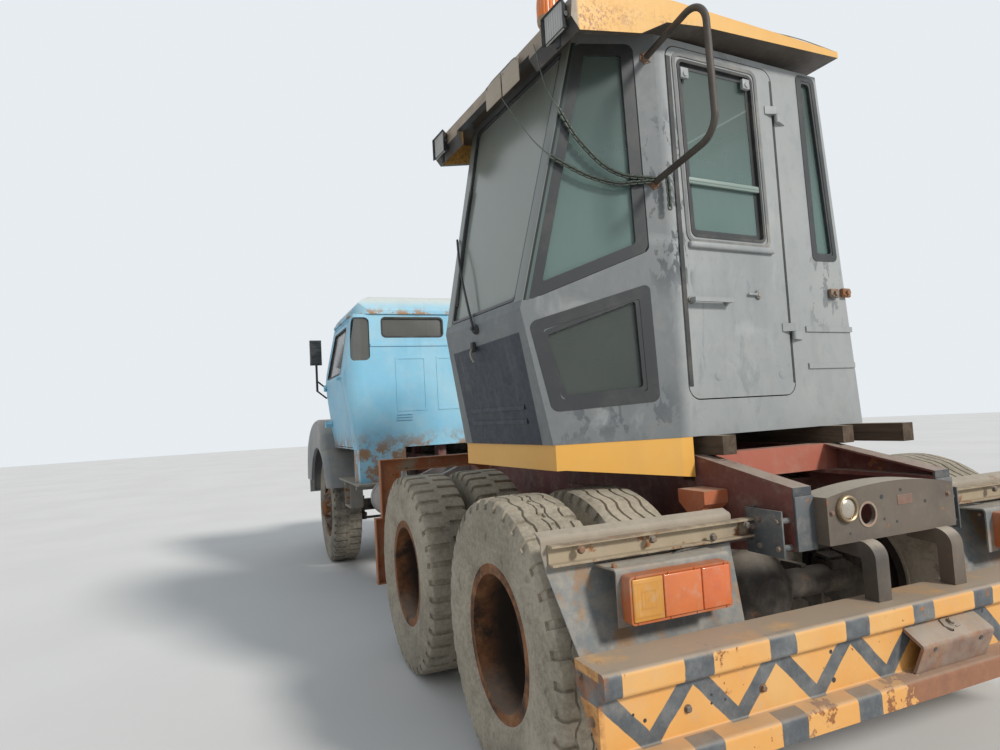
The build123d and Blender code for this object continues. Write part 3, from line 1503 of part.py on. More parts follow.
with BuildPart() as nose:
    with BuildSketch(Plane.XY.offset(nose_low_z)):
        with BuildLine():
            FilletPolyline(
                (bonnet_rear_x, -nose_half_rear),
                (nose_front_x, -nose_half_front),
                (nose_front_x, nose_half_front),
                (bonnet_rear_x, nose_half_rear),
                close=True,
                radius=[0, 90, 90, 0],
            )
        make_face()
    extrude(amount=nose_top_z - nose_low_z)
    with BuildSketch(Plane.XY.offset(nose_low_z - 1)) as bay:
        with BuildLine():
            FilletPolyline(
                (bonnet_rear_x - 5, -nose_half_rear + nose_wall),
                (nose_front_x - 2 * nose_wall, -nose_half_front + nose_wall),
                (nose_front_x - 2 * nose_wall, nose_half_front - nose_wall),
                (bonnet_rear_x - 5, nose_half_rear - nose_wall),
                close=True,
                radius=[0, 60, 60, 0],
            )
        make_face()
    extrude(bay.sketch, amount=nose_top_z - nose_low_z + 2, mode=Mode.SUBTRACT)
    side_prism(
        [
            (bonnet_rear_x - 5, nose_low_z - 5),
            (front_axle_x + 640, nose_low_z - 5),
            (front_axle_x + 560, rail_top_z + 40),
            (bonnet_rear_x - 5, rail_top_z + 40),
        ],
        -nose_half_rear - 5,
        nose_half_rear + 5,
        Mode.SUBTRACT,
    )
    block((nose_front_x - 100, nose_front_x + 10), (-grille_half_width, grille_half_width), grille_z, Mode.SUBTRACT)
    bar_pitch = (grille_z[1] - grille_z[0]) / (grille_bars + 1)
    for i in range(grille_bars):
        bar_z = grille_z[0] + (i + 1) * bar_pitch
        block((nose_front_x - 30, nose_front_x - 8), (-grille_half_width - 2, grille_half_width + 2), (bar_z - 7, bar_z + 7))
    for side in (-1, 1):
        block(nose_foot_x, (side * rail_half_width, side * nose_foot_y), (nose_low_z + 50, nose_low_z + 100))
save(nose.part, "nose")

with BuildPart() as bonnet:
    add(bonnet_form(0, bonnet_low_z, bonnet_nose_x + 30))
    bay_form = bonnet_form(bonnet_wall, bonnet_low_z - 50, bonnet_nose_x + 30)
    add(bay_form.moved(Location((-bonnet_wall, 0, 0))), mode=Mode.SUBTRACT)
    for side in (-1, 1):
        inner_y = side * (bonnet_hinge_y + bonnet_hinge_width + 1)
        outer_y = side * (bonnet_hinge_y + 2 * bonnet_hinge_width + 1)
        rod((bonnet_axis_x, inner_y, bonnet_axis_z), (bonnet_axis_x, outer_y, bonnet_axis_z), bonnet_hinge_radius)
        side_prism(
            [
                (bonnet_axis_x - 6, bonnet_axis_z),
                (bonnet_axis_x - 4, bonnet_axis_z - 42),
                (bonnet_axis_x + 50, bonnet_axis_z - 46),
                (bonnet_axis_x + 8, bonnet_axis_z),
            ],
            min(inner_y, outer_y),
            max(inner_y, outer_y),
        )
        rod(
            (bonnet_axis_x, inner_y, bonnet_axis_z),
            (bonnet_axis_x, outer_y, bonnet_axis_z),
            bonnet_hinge_pin + shaft_gap,
            Mode.SUBTRACT,
        )
save(bonnet.part, "bonnet")

# Front fenders: high rounded shells over the wheels, open below and at the wheel arch
fender_inner_y = nose_half_rear + seat_gap
fender_outer_y = 1237
fender_wall = 30
fender_arc = 675
fender_low_z = 780
fender_front_x = front_axle_x + 944
fender_top_z = 1425
fender_crest_x = front_axle_x + 4
fender_rear_x = cab_front_x + 6
fender_shoulder_z = 1290
arch_radius = 620
inner_wall_low_z = 930
fender_round = 60
headlamp_y = 930
headlamp_z = 1060
headlamp_radius = 95


def fender_form(inset, low_z, rounding):
    """The left fender's outside, shrunk by inset, down to a height."""
    with BuildPart() as form:
        radius = fender_arc - inset
        start_x = front_axle_x - sqrt(radius**2 - (low_z - hub_z) ** 2)
        rear_x = fender_rear_x + inset
        step_z = hub_z + sqrt(radius**2 - (front_axle_x - rear_x) ** 2)
        middle = radians(141)
        middle_point = (front_axle_x + radius * cos(middle), hub_z + radius * sin(middle))
        crest = (fender_crest_x, fender_top_z - inset)
        brow = (fender_front_x - 140 - inset * 0.7, 1200 - inset * 0.7)
        foot = (fender_front_x - inset, low_z)
        with BuildSketch(Plane.XZ.offset(-(fender_inner_y + inset))):
            with BuildLine():
                ThreePointArc((start_x, low_z), middle_point, (rear_x, step_z))
                Line((rear_x, step_z), (rear_x, fender_shoulder_z - inset))
                ThreePointArc(
                    (rear_x, fender_shoulder_z - inset), (fender_rear_x + 124 + inset * 0.4, 1385 - inset), crest
                )
                ThreePointArc(crest, (fender_front_x - 490, 1388 - inset), brow)
                ThreePointArc(brow, (fender_front_x - 38 - inset, 1010), foot)
                Line(foot, (start_x, low_z))
            make_face()
        extrude(amount=fender_inner_y - fender_outer_y + 2 * inset)
        if rounding:
            outer_edges = form.edges().filter_by_position(Axis.Y, fender_outer_y - 1, fender_outer_y + 1)
            fillet([e for e in outer_edges if e.center().Z > low_z + 20], rounding)
    return form.part


with BuildPart() as front_fenders:
    add(fender_form(0, fender_low_z, fender_round))
    add(fender_form(fender_wall, fender_low_z - 100, 0), mode=Mode.SUBTRACT)
    rod((front_axle_x, 1100, hub_z), (front_axle_x, fender_outer_y + 10, hub_z), arch_radius, Mode.SUBTRACT)
    block(
        (front_axle_x - fender_arc - 10, fender_front_x - fender_wall),
        (fender_inner_y - 5, fender_inner_y + fender_wall + 5),
        (fender_low_z - 10, inner_wall_low_z),
        Mode.SUBTRACT,
    )
    rod(
        (fender_front_x - 160, headlamp_y, headlamp_z),
        (fender_front_x + 60, headlamp_y, headlamp_z),
        headlamp_radius + seat_gap,
        Mode.SUBTRACT,
    )
    mirror(about=Plane.XZ)
save(front_fenders.part, "front_fenders")

# Headlamps: round bowls through the fenders' fronts
with BuildPart() as headlamps:
    for side in (-1, 1):
        rod(
            (fender_front_x - 110, side * headlamp_y, headlamp_z),
            (fender_front_x + 20, side * headlamp_y, headlamp_z),
            headlamp_radius,
        )
        rod(
            (fender_front_x + 12, side * headlamp_y, headlamp_z),
            (fender_front_x + 24, side * headlamp_y, headlamp_z),
            headlamp_radius + 12,
        )
save(headlamps.part, "headlamps")

# Front bumper: a channel on two plates along the rails
front_bumper_depth = 70
front_bumper_plate = 8
front_bumper_half_width = 1180
front_bumper_z = (600, 830)
front_bumper_back_x = front_face_x - front_bumper_depth

with BuildPart() as front_bumper:
    with BuildSketch(Plane.XY.offset(front_bumper_z[0])) as plan:
        with BuildLine():
            FilletPolyline(
                (front_bumper_back_x, -front_bumper_half_width),
                (front_face_x, -front_bumper_half_width),
                (front_face_x, front_bumper_half_width),
                (front_bumper_back_x, front_bumper_half_width),
                close=True,
                radius=[0, 50, 50, 0],
            )
        make_face()
    extrude(plan.sketch, amount=front_bumper_z[1] - front_bumper_z[0])
    block(
        (front_bumper_back_x, front_face_x - front_bumper_plate),
        (-front_bumper_half_width + 50, front_bumper_half_width - 50),
        (front_bumper_z[0] + front_bumper_plate, front_bumper_z[1] - front_bumper_plate),
        Mode.SUBTRACT,
    )
    for side in (-1, 1):
        block(
            (rail_front_x - 150, front_face_x - 4),
            (side * rail_half_width, side * (rail_half_width + 12)),
            (front_bumper_z[0] + 20, 890),
        )
save(front_bumper.part, "front_bumper")

# Mirrors on bent arms from the cab's front corners
mirror_x = (cab_front_x - 58, cab_front_x - 32)
mirror_y = (1205, 1315)
mirror_z = (1963, 2208)
mirror_arm_radius = 8
mirror_post_radius = 11
mirror_arm_y = 1255
mirror_foot_zs = (1640, 1740)
mirror_arm_rise = 70

with BuildPart() as mirrors:
    for side in (-1, 1):
        middle = (sum(mirror_x) / 2, side * sum(mirror_y) / 2, sum(mirror_z) / 2)
        with Locations(middle):
            Box(mirror_x[1] - mirror_x[0], mirror_y[1] - mirror_y[0], mirror_z[1] - mirror_z[0])
        arm_x = mirror_x[1] + 2
        corner_x = arm_x - mirror_arm_radius - (cab_front_x - cab_front_corner)
        corner_y = cab_half_belt - cab_front_corner + sqrt(cab_front_corner**2 - corner_x**2)
        for z in mirror_foot_zs:
            foot_y = min(cab_skin_y(z + mirror_arm_radius), corner_y) + seat_gap
            rod((arm_x, side * foot_y, z), (arm_x, side * (foot_y + 14), z), mirror_arm_radius)
            rod((arm_x, side * (foot_y + 9), z), (arm_x, side * mirror_arm_y, z + mirror_arm_rise), mirror_arm_radius)
        post_low_z = mirror_foot_zs[0] + mirror_arm_rise - 5
        rod((arm_x, side * mirror_arm_y, post_low_z), (arm_x, side * mirror_arm_y, 2150), mirror_post_radius)
save(mirrors.part, "mirrors")

# Steps: a plate below each door with a hanger, on arms from the rails
step_x = (rear_axle_x + 3013, rear_axle_x + 3990)
step_y = (930, 1130)
step_plate_z = (864, 880)
hanger_x = (rear_axle_x + 3533, rear_axle_x + 3828)
hanger_low_z = 638
step_arm_xs = (rear_axle_x + 3240, rear_axle_x + 3800)

with BuildPart() as steps:
    block(step_x, step_y, step_plate_z)
    for x in (hanger_x[0], hanger_x[1] - 12):
        block((x, x + 12), (1000, 1110), (hanger_low_z, step_plate_z[0] + 2))
    block(hanger_x, (1000, 1110), (hanger_low_z, hanger_low_z + 12))
    for x in step_arm_xs:
        block((x - 30, x + 30), (rail_half_width, step_y[1] - 20), (step_plate_z[0] - 44, step_plate_z[0]))
    mirror(about=Plane.XZ)
save(steps.part, "steps")

# Upper cab, drawn in its own frame: x across it from the door side, y to its front, then turned on the truck
upper_origin_x = rear_axle_x - 214
upper_origin_y = 432
upper_turn = 4
upper_place = Location((upper_origin_x, upper_origin_y, 0), (0, 0, upper_turn))
upper_width = 1178
upper_taper = 20
upper_taper_y = 29
upper_low_z = 1242
upper_belt_z = 1773
upper_top_z = 2876
upper_wall = 35
upper_front_low_y = 508
upper_belt_y = 600
upper_screen_top_y = 344
upper_rear_low_y = -1065
upper_rear_top_y = -942
front_lean_low = (upper_belt_y - upper_front_low_y) / (upper_belt_z - upper_low_z)
front_lean_top = (upper_belt_y - upper_screen_top_y) / (upper_top_z - upper_belt_z)
rear_lean = (upper_rear_top_y - upper_rear_low_y) / (upper_top_z - upper_low_z)


def upper_form(inset, low_z, high_z):
    """The upper cab's walls as a solid, shrunk by inset, between two heights."""
    over = 200
    front_reach = 700
    reach_x = (front_reach - upper_taper_y) * tan(radians(upper_taper))
    with BuildPart() as form:
        with BuildSketch(Plane.XY.offset(low_z)):
            with BuildLine():
                Polyline(
                    (0, upper_rear_low_y - 100),
                    (upper_width, upper_rear_low_y - 100),
                    (upper_width, upper_taper_y),
                    (upper_width - reach_x, front_reach),
                    (reach_x, front_reach),
                    (0, upper_taper_y),
                    close=True,
                )
            make_face()
            if inset:
                offset(amount=-inset, kind=Kind.INTERSECTION, mode=Mode.REPLACE)
        extrude(amount=high_z - low_z)
        with BuildSketch(Plane.YZ.offset(-50)):
            with BuildLine():
                Polyline(
                    (upper_rear_low_y - over * rear_lean, upper_low_z - over),
                    (upper_front_low_y - over * front_lean_low, upper_low_z - over),
                    (upper_belt_y, upper_belt_z),
                    (upper_screen_top_y - over * front_lean_top, upper_top_z + over),
                    (upper_rear_top_y + over * rear_lean, upper_top_z + over),
                    close=True,
                )
            make_face()
            if inset:
                offset(amount=-inset, kind=Kind.INTERSECTION, mode=Mode.REPLACE)
        extrude(amount=upper_width + 100, mode=Mode.INTERSECT)
    return form.part


upper_inner = upper_form(upper_wall, upper_low_z + upper_wall, upper_top_z + 100)
with BuildPart() as upper_blank:
    add(upper_form(0, upper_low_z, upper_top_z))
    add(upper_inner, mode=Mode.SUBTRACT)
with BuildPart() as upper_skin:
    add(upper_form(glass_depth, upper_low_z + 50, upper_top_z - 1))
    add(upper_form(glass_depth + glass_thickness, upper_low_z, upper_top_z + 100), mode=Mode.SUBTRACT)

# Openings of the upper cab, as (y, z) outlines on its sides and (x, z) outlines on its front and rear
upper_door_y = (-640, -25)
upper_door_z = (1385, 2850)
upper_door_corner = 60
upper_door_glass = [(-525, 2050), (-100, 2050), (-85, 2800), (-515, 2800)]
upper_rear_pane = [(-965, 2015), (-838, 2010), (-822, 2845), (-905, 2845)]
upper_side_pane = [(101, 1985), (572, 1800), (335, 2832), (112, 2832)]
upper_low_pane = [(135, 1429), (458, 1409), (527, 1678), (146, 1814)]
upper_screen = [(265, 1812), (upper_width - 265, 1812), (upper_width - 172, 2832), (172, 2832)]
upper_back_pane = [(150, 2060), (upper_width - 150, 2060), (upper_width - 150, 2800), (150, 2800)]
upper_corner = 30
upper_side_depth = 320


def side_window(outline, corner, shrink, far):
    """A prism through the near side of the upper cab, or the far side, from a (y, z) outline."""
    start = upper_width - upper_side_depth if far else -60
    return window_cutter(Plane.YZ.offset(start), outline, corner, shrink, upper_side_depth + 60)


def upper_windows(shrink):
    """The prisms of all fixed panes of the upper cab."""
    cutters = []
    for far in (False, True):
        for outline in (upper_rear_pane, upper_side_pane, upper_low_pane):
            cutters.append(side_window(outline, upper_corner, shrink, far))
    far_door = [(upper_door_y[0] + 60, 2050), (upper_door_y[1] - 70, 2050), (upper_door_y[1] - 60, 2800)]
    far_door.append((upper_door_y[0] + 70, 2800))
    cutters.append(side_window(far_door, upper_corner, shrink, True))
    front_plane = Plane.XZ.offset(-(upper_screen_top_y - 60))
    cutters.append(window_cutter(front_plane, upper_screen, upper_corner, shrink, -400))
    rear_plane = Plane.XZ.offset(-(upper_rear_low_y - 60))
    cutters.append(window_cutter(rear_plane, upper_back_pane, upper_corner, shrink, -250))
    return cutters


def door_box(shrink):
    """The prism of the upper cab's door."""
    outline = [
        (upper_door_y[0] + shrink, upper_door_z[0] + shrink),
        (upper_door_y[1] - shrink, upper_door_z[0] + shrink),
        (upper_door_y[1] - shrink, upper_door_z[1] - shrink),
        (upper_door_y[0] + shrink, upper_door_z[1] - shrink),
    ]
    return window_cutter(Plane.YZ.offset(-60), outline, upper_door_corner - shrink, 0, 60 + upper_wall)


# Shell of the upper cab with pressed ribs, the door's fixed hinge halves and its stop
upper_rib_zs = (1500, 1665)
upper_rib_y = (-1040, -730)
front_rib_zs = (1386, 1329)
front_rib_x = (334, 854)
upper_hinge_x = -13
upper_hinge_y = upper_door_y[0] - shut_gap / 2
upper_hinge_radius = 11
upper_hinge_pin = 6
upper_hinge_half = 35
upper_hinge_zs = (1664, 2640)

with BuildPart() as upper_shell:
    add(upper_blank.part)
    for cutter in upper_windows(0):
        add(cutter, mode=Mode.SUBTRACT)
    add(door_box(0), mode=Mode.SUBTRACT)
    for z in upper_rib_zs:
        block((-7, 5), upper_rib_y, (z, z + 24))
    for z in front_rib_zs:
        front_y = upper_front_low_y + (z - upper_low_z) * front_lean_low
        block(front_rib_x, (front_y - 8, front_y + 6), (z, z + 18))
    for z in upper_hinge_zs:
        low_z = z - upper_hinge_half
        with BuildSketch(Plane.XY.offset(low_z)) as lug:
            with Locations((upper_hinge_x, upper_hinge_y)):
                Circle(upper_hinge_radius)
            with BuildLine():
                Polyline(
                    (upper_hinge_x - upper_hinge_radius, upper_hinge_y),
                    (-4, upper_hinge_y - 60),
                    (4, upper_hinge_y - 60),
                    (4, upper_hinge_y - 7),
                    (upper_hinge_x + 8, upper_hinge_y),
                    close=True,
                )
            make_face()
        extrude(lug.sketch, amount=upper_hinge_half)
        rod((upper_hinge_x, upper_hinge_y, low_z), (upper_hinge_x, upper_hinge_y, z + upper_hinge_half), upper_hinge_pin)
save(upper_shell.part.moved(upper_place), "upper_shell")

# Door of the upper cab with its handle, and the door pane in two halves by its mid bar
upper_handle_y = (-262, -70)
upper_handle_z = (1778, 1796)
mid_bar_z = (2276, 2296)

with BuildPart() as upper_door:
    add(upper_blank.part)
    add(door_box(shut_gap), mode=Mode.INTERSECT)
    glass_cut = window_cutter(Plane.YZ.offset(-60), upper_door_glass, upper_corner, 0, 200)
    add(glass_cut, mode=Mode.SUBTRACT)
    block((0, glass_depth - 1), (upper_door_glass[0][0] - 20, upper_door_glass[1][0] + 40), mid_bar_z)
    for z in upper_hinge_zs:
        low_z = z + 1
        with BuildSketch(Plane.XY.offset(low_z)) as lug:
            with Locations((upper_hinge_x, upper_hinge_y)):
                Circle(upper_hinge_radius)
            with BuildLine():
                Polyline(
                    (upper_hinge_x - upper_hinge_radius, upper_hinge_y),
                    (-4, upper_hinge_y + 60),
                    (4, upper_hinge_y + 60),
                    (4, upper_hinge_y + 9),
                    (upper_hinge_x + 8, upper_hinge_y),
                    close=True,
                )
            make_face()
        extrude(lug.sketch, amount=upper_hinge_half)
        rod(
            (upper_hinge_x, upper_hinge_y, low_z),
            (upper_hinge_x, upper_hinge_y, low_z + upper_hinge_half),
            upper_hinge_pin + shaft_gap,
            Mode.SUBTRACT,
        )
    block((-36, -24), upper_handle_y, upper_handle_z)
    for y in upper_handle_y:
        block((-36, 4), (y - 8, y + 8), upper_handle_z)
save(upper_door.part.moved(upper_place), "upper_door")

with BuildPart() as upper_door_glass_pane:
    add(upper_skin.part)
    pane_cut = window_cutter(Plane.YZ.offset(-60), upper_door_glass, upper_corner, seat_gap, 200)
    add(pane_cut, mode=Mode.INTERSECT)
save(upper_door_glass_pane.part.moved(upper_place), "upper_door_glass")

with BuildPart() as upper_glass:
    panes = [upper_skin.part & cutter for cutter in upper_windows(seat_gap)]
    for pane in panes:
        add(pane)
save(upper_glass.part.moved(upper_place), "upper_glass")

# Roof of the upper cab: a slab with a visor all round its front half
upper_roof_x = (-98, 1276)
upper_roof_rear_y = -981
upper_roof_crown_z = 2975
upper_roof_wall = 25

with BuildPart() as upper_roof:
    with BuildSketch(Plane.YZ.offset(upper_roof_x[0])):
        with BuildLine():
            Polyline(
                (upper_roof_rear_y, upper_roof_crown_z - 18),
                (upper_roof_rear_y, 2928),
                (-153, 2892),
                (39, 2867),
                (170, 2794),
                (455, 2745),
                (490, 2790),
                (482, 2866),
                (300, 2935),
                (0, upper_roof_crown_z - 10),
                close=True,
            )
        make_face()
    extrude(amount=upper_roof_x[1] - upper_roof_x[0])
    cavity_x = (upper_roof_x[0] + upper_roof_wall, upper_roof_x[1] - upper_roof_wall)
    block(cavity_x, (upper_roof_rear_y - 10, 455), (2700, upper_top_z), Mode.SUBTRACT)
    with BuildSketch(Plane.XZ.offset(-(upper_roof_rear_y + 60))):
        with BuildLine():
            Line((cavity_x[0], upper_roof_crown_z - 25), (cavity_x[1], upper_roof_crown_z - 25))
            ThreePointArc(
                (cavity_x[1], upper_roof_crown_z - 25),
                (sum(cavity_x) / 2, upper_roof_crown_z + 19),
                (cavity_x[0], upper_roof_crown_z - 25),
            )
        make_face()
    extrude(amount=-1000)
    notch_x = (216, 962)
    block(notch_x, (440, 500), (2700, 2810), Mode.SUBTRACT)
save(upper_roof.part.moved(upper_place), "upper_roof")

# Skirt of the upper cab: plates below its floor along the front corner and the front
skirt_plate = 8
skirt_low_z = 1081
skirt_front_z = 1143

with BuildPart() as upper_skirt:
    inset_y = upper_front_low_y - 12
    corner_x = (inset_y - upper_taper_y) * tan(radians(upper_taper)) + 6
    with BuildSketch(Plane.XY.offset(skirt_low_z)):
        with BuildLine():
            Polyline(
                (6, -30),
                (6, upper_taper_y),
                (corner_x, inset_y),
                (upper_width - corner_x, inset_y),
                (upper_width - 6, upper_taper_y),
                (upper_width - 6, -30),
            )
        trace(line_width=skirt_plate)
    extrude(amount=upper_low_z - skirt_low_z)
    with BuildSketch(Plane.YZ.offset(-20)) as slope:
        with BuildLine():
            Polyline(
                (-60, skirt_low_z - 10),
                (-60, skirt_low_z),
                (inset_y - 30, skirt_front_z),
                (inset_y + 40, skirt_front_z),
                (inset_y + 40, skirt_low_z - 10),
                close=True,
            )
        make_face()
    extrude(slope.sketch, amount=upper_width + 40, mode=Mode.SUBTRACT)
save(upper_skirt.part.moved(upper_place), "upper_skirt")

# Work lamps at the roof's front corners and the beacon
lamp_xs = (35, 1178)
lamp_z = 2815
lamp_size = (147, 70, 137)
beacon_x = 196
beacon_y = 392
beacon_base_radius = 42
beacon_dome_radius = 52
beacon_foot_z = 2895
beacon_base_z = 2965
beacon_top_z = 3090

with BuildPart() as upper_lamps:
    for x in lamp_xs:
        with Locations((x, 491 + lamp_size[1] / 2, lamp_z + 13)):
            Box(*lamp_size)
    rod((beacon_x, beacon_y, beacon_foot_z), (beacon_x, beacon_y, beacon_base_z), beacon_base_radius)
    rod((beacon_x, beacon_y, beacon_base_z), (beacon_x, beacon_y, beacon_top_z), beacon_dome_radius)
    add(upper_roof.part, mode=Mode.SUBTRACT)
save(upper_lamps.part.moved(upper_place), "upper_lamps")

# Tube guard: a bent loop on two feet beside the door
loop_radius = 13
loop_feet_z = (2775, 2258)
loop_y = 64
loop_out = 330
loop_bend = 90

with BuildPart() as guard_loop:
    foot_x = (loop_y - upper_taper_y) * tan(radians(upper_taper)) + 2
    with BuildLine() as loop_path:
        FilletPolyline(
            (foot_x, loop_y, loop_feet_z[0]),
            (-loop_out, loop_y + 10, loop_feet_z[0] + 60),
            (-loop_out - 10, loop_y + 10, loop_feet_z[1] + 60),
            (foot_x, loop_y, loop_feet_z[1]),
            radius=loop_bend,
        )
    with BuildSketch(Plane(origin=loop_path.line @ 0, z_dir=loop_path.line % 0)):
        Circle(loop_radius)
    sweep(path=loop_path.line)
    add(upper_form(-seat_gap, upper_low_z, upper_top_z), mode=Mode.SUBTRACT)
save(guard_loop.part.moved(upper_place), "guard_loop")

# Seat, seat box and lever console inside the upper cab
with BuildPart() as upper_interior:
    floor_z = upper_low_z + upper_wall
    block((380, 800), (-650, -180), (floor_z, 1660))
    with BuildSketch(Plane.YZ.offset(360)) as seat:
        with BuildLine():
            Polyline(
                (-760, 1640),
                (-170, 1640),
                (-150, 1700),
                (-170, 1760),
                (-610, 1740),
                (-700, 2330),
                (-790, 2330),
                close=True,
            )
        make_face()
    extrude(seat.sketch, amount=460)
    block((120, 300), (-420, 120), (floor_z, 1830))
    block((880, 1050), (-420, 120), (floor_z, 1830))
save(upper_interior.part.moved(upper_place), "upper_interior")

# Timbers: two bearers across the rails and one runner under the far end of the floor
timber_width = 70
timber_ys = (-124, -826)
timber_x = (-95, 1290)
runner_y = -1000
runner_x = (-249, 1400)
runner_height = 77

with BuildPart() as timbers:
    for y in timber_ys:
        block(timber_x, (y - timber_width / 2, y + timber_width / 2), (subframe_top_z, upper_low_z))
    block(
        runner_x,
        (runner_y - timber_width / 2, runner_y + timber_width / 2),
        (upper_low_z - runner_height, upper_low_z),
    )
save(timbers.part.moved(upper_place), "timbers")
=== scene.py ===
import math

import bmesh
import bpy
from mathutils import Matrix, Vector, noise


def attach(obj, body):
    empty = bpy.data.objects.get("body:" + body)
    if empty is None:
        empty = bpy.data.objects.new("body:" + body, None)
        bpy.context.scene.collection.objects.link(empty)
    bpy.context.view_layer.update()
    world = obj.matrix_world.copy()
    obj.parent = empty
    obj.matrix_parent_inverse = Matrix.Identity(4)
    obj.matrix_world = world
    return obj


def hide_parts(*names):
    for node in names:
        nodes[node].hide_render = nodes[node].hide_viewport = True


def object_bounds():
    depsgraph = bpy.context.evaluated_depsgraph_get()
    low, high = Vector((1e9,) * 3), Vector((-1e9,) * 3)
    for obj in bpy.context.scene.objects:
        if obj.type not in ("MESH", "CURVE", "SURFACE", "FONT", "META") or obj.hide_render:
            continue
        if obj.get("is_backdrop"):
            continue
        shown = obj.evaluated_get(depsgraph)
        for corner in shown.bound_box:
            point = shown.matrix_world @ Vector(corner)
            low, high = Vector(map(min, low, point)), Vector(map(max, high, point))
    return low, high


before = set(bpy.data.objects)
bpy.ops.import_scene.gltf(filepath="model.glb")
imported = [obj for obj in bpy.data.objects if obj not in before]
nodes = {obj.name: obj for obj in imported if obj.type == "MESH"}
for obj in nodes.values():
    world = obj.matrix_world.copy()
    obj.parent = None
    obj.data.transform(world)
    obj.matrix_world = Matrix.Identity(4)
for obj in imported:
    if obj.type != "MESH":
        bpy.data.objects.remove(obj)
cad_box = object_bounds()

# Sizes in metres, in the truck's frame: +X forward, +Y left, +Z up

HUB_Z = 0.530
TYRE_RADIUS = 0.530
FRONT_TYRE_Y = 1.026
OUTER_TYRE_Y = 1.079
INNER_TYRE_Y = 0.749
GLASS_DEPTH = 0.014

# The operator's cab stands crosswise and a little turned; its own frame has x across it and y to its front
UPPER_PLACE = Matrix.Translation((-2.734, 0.432, 0.0)) @ Matrix.Rotation(math.radians(4), 4, "Z")
UPPER_WIDTH = 1.178
TAPER_ANGLE = math.radians(20)
TAPER = math.tan(TAPER_ANGLE)
TAPER_Y = 0.029
FRONT_LOW = (0.508, 1.242)
FRONT_BELT = (0.600, 1.773)
FRONT_TOP = (0.344, 2.876)
REAR_LOW = (-1.065, 1.242)
REAR_TOP = (-0.942, 2.876)


FRONT_LEAN = (FRONT_BELT[0] - FRONT_LOW[0]) / (FRONT_BELT[1] - FRONT_LOW[1])
SCREEN_LEAN = (FRONT_TOP[0] - FRONT_BELT[0]) / (FRONT_TOP[1] - FRONT_BELT[1])


def lerp_y(low, high, z):
    """The y of a line through two (y, z) points at a height."""
    return low[0] + (high[0] - low[0]) * (z - low[1]) / (high[1] - low[1])


# Shader maths


class Value:
    """A shader socket that can be used in sums."""

    def __init__(self, finish, socket):
        self.finish = finish
        self.socket = socket

    def math(self, operation, first, second=None):
        inputs = {0: first}
        if second is not None:
            inputs[1] = second
        return self.finish.node("ShaderNodeMath", {"operation": operation}, inputs)

    def __add__(self, other):
        return self.math("ADD", self, other)

    def __radd__(self, other):
        return self.math("ADD", other, self)

    def __sub__(self, other):
        return self.math("SUBTRACT", self, other)

    def __rsub__(self, other):
        return self.math("SUBTRACT", other, self)

    def __mul__(self, other):
        return self.math("MULTIPLY", self, other)

    def __rmul__(self, other):
        return self.math("MULTIPLY", other, self)

    def __truediv__(self, other):
        return self.math("DIVIDE", self, other)

    def __mod__(self, other):
        return self.math("FLOORED_MODULO", self, other)

    def __abs__(self):
        return self.math("ABSOLUTE", self)

    def minimum(self, other):
        return self.math("MINIMUM", self, other)

    def maximum(self, other):
        return self.math("MAXIMUM", self, other)

    def above(self, limit):
        return self.math("GREATER_THAN", self, limit)


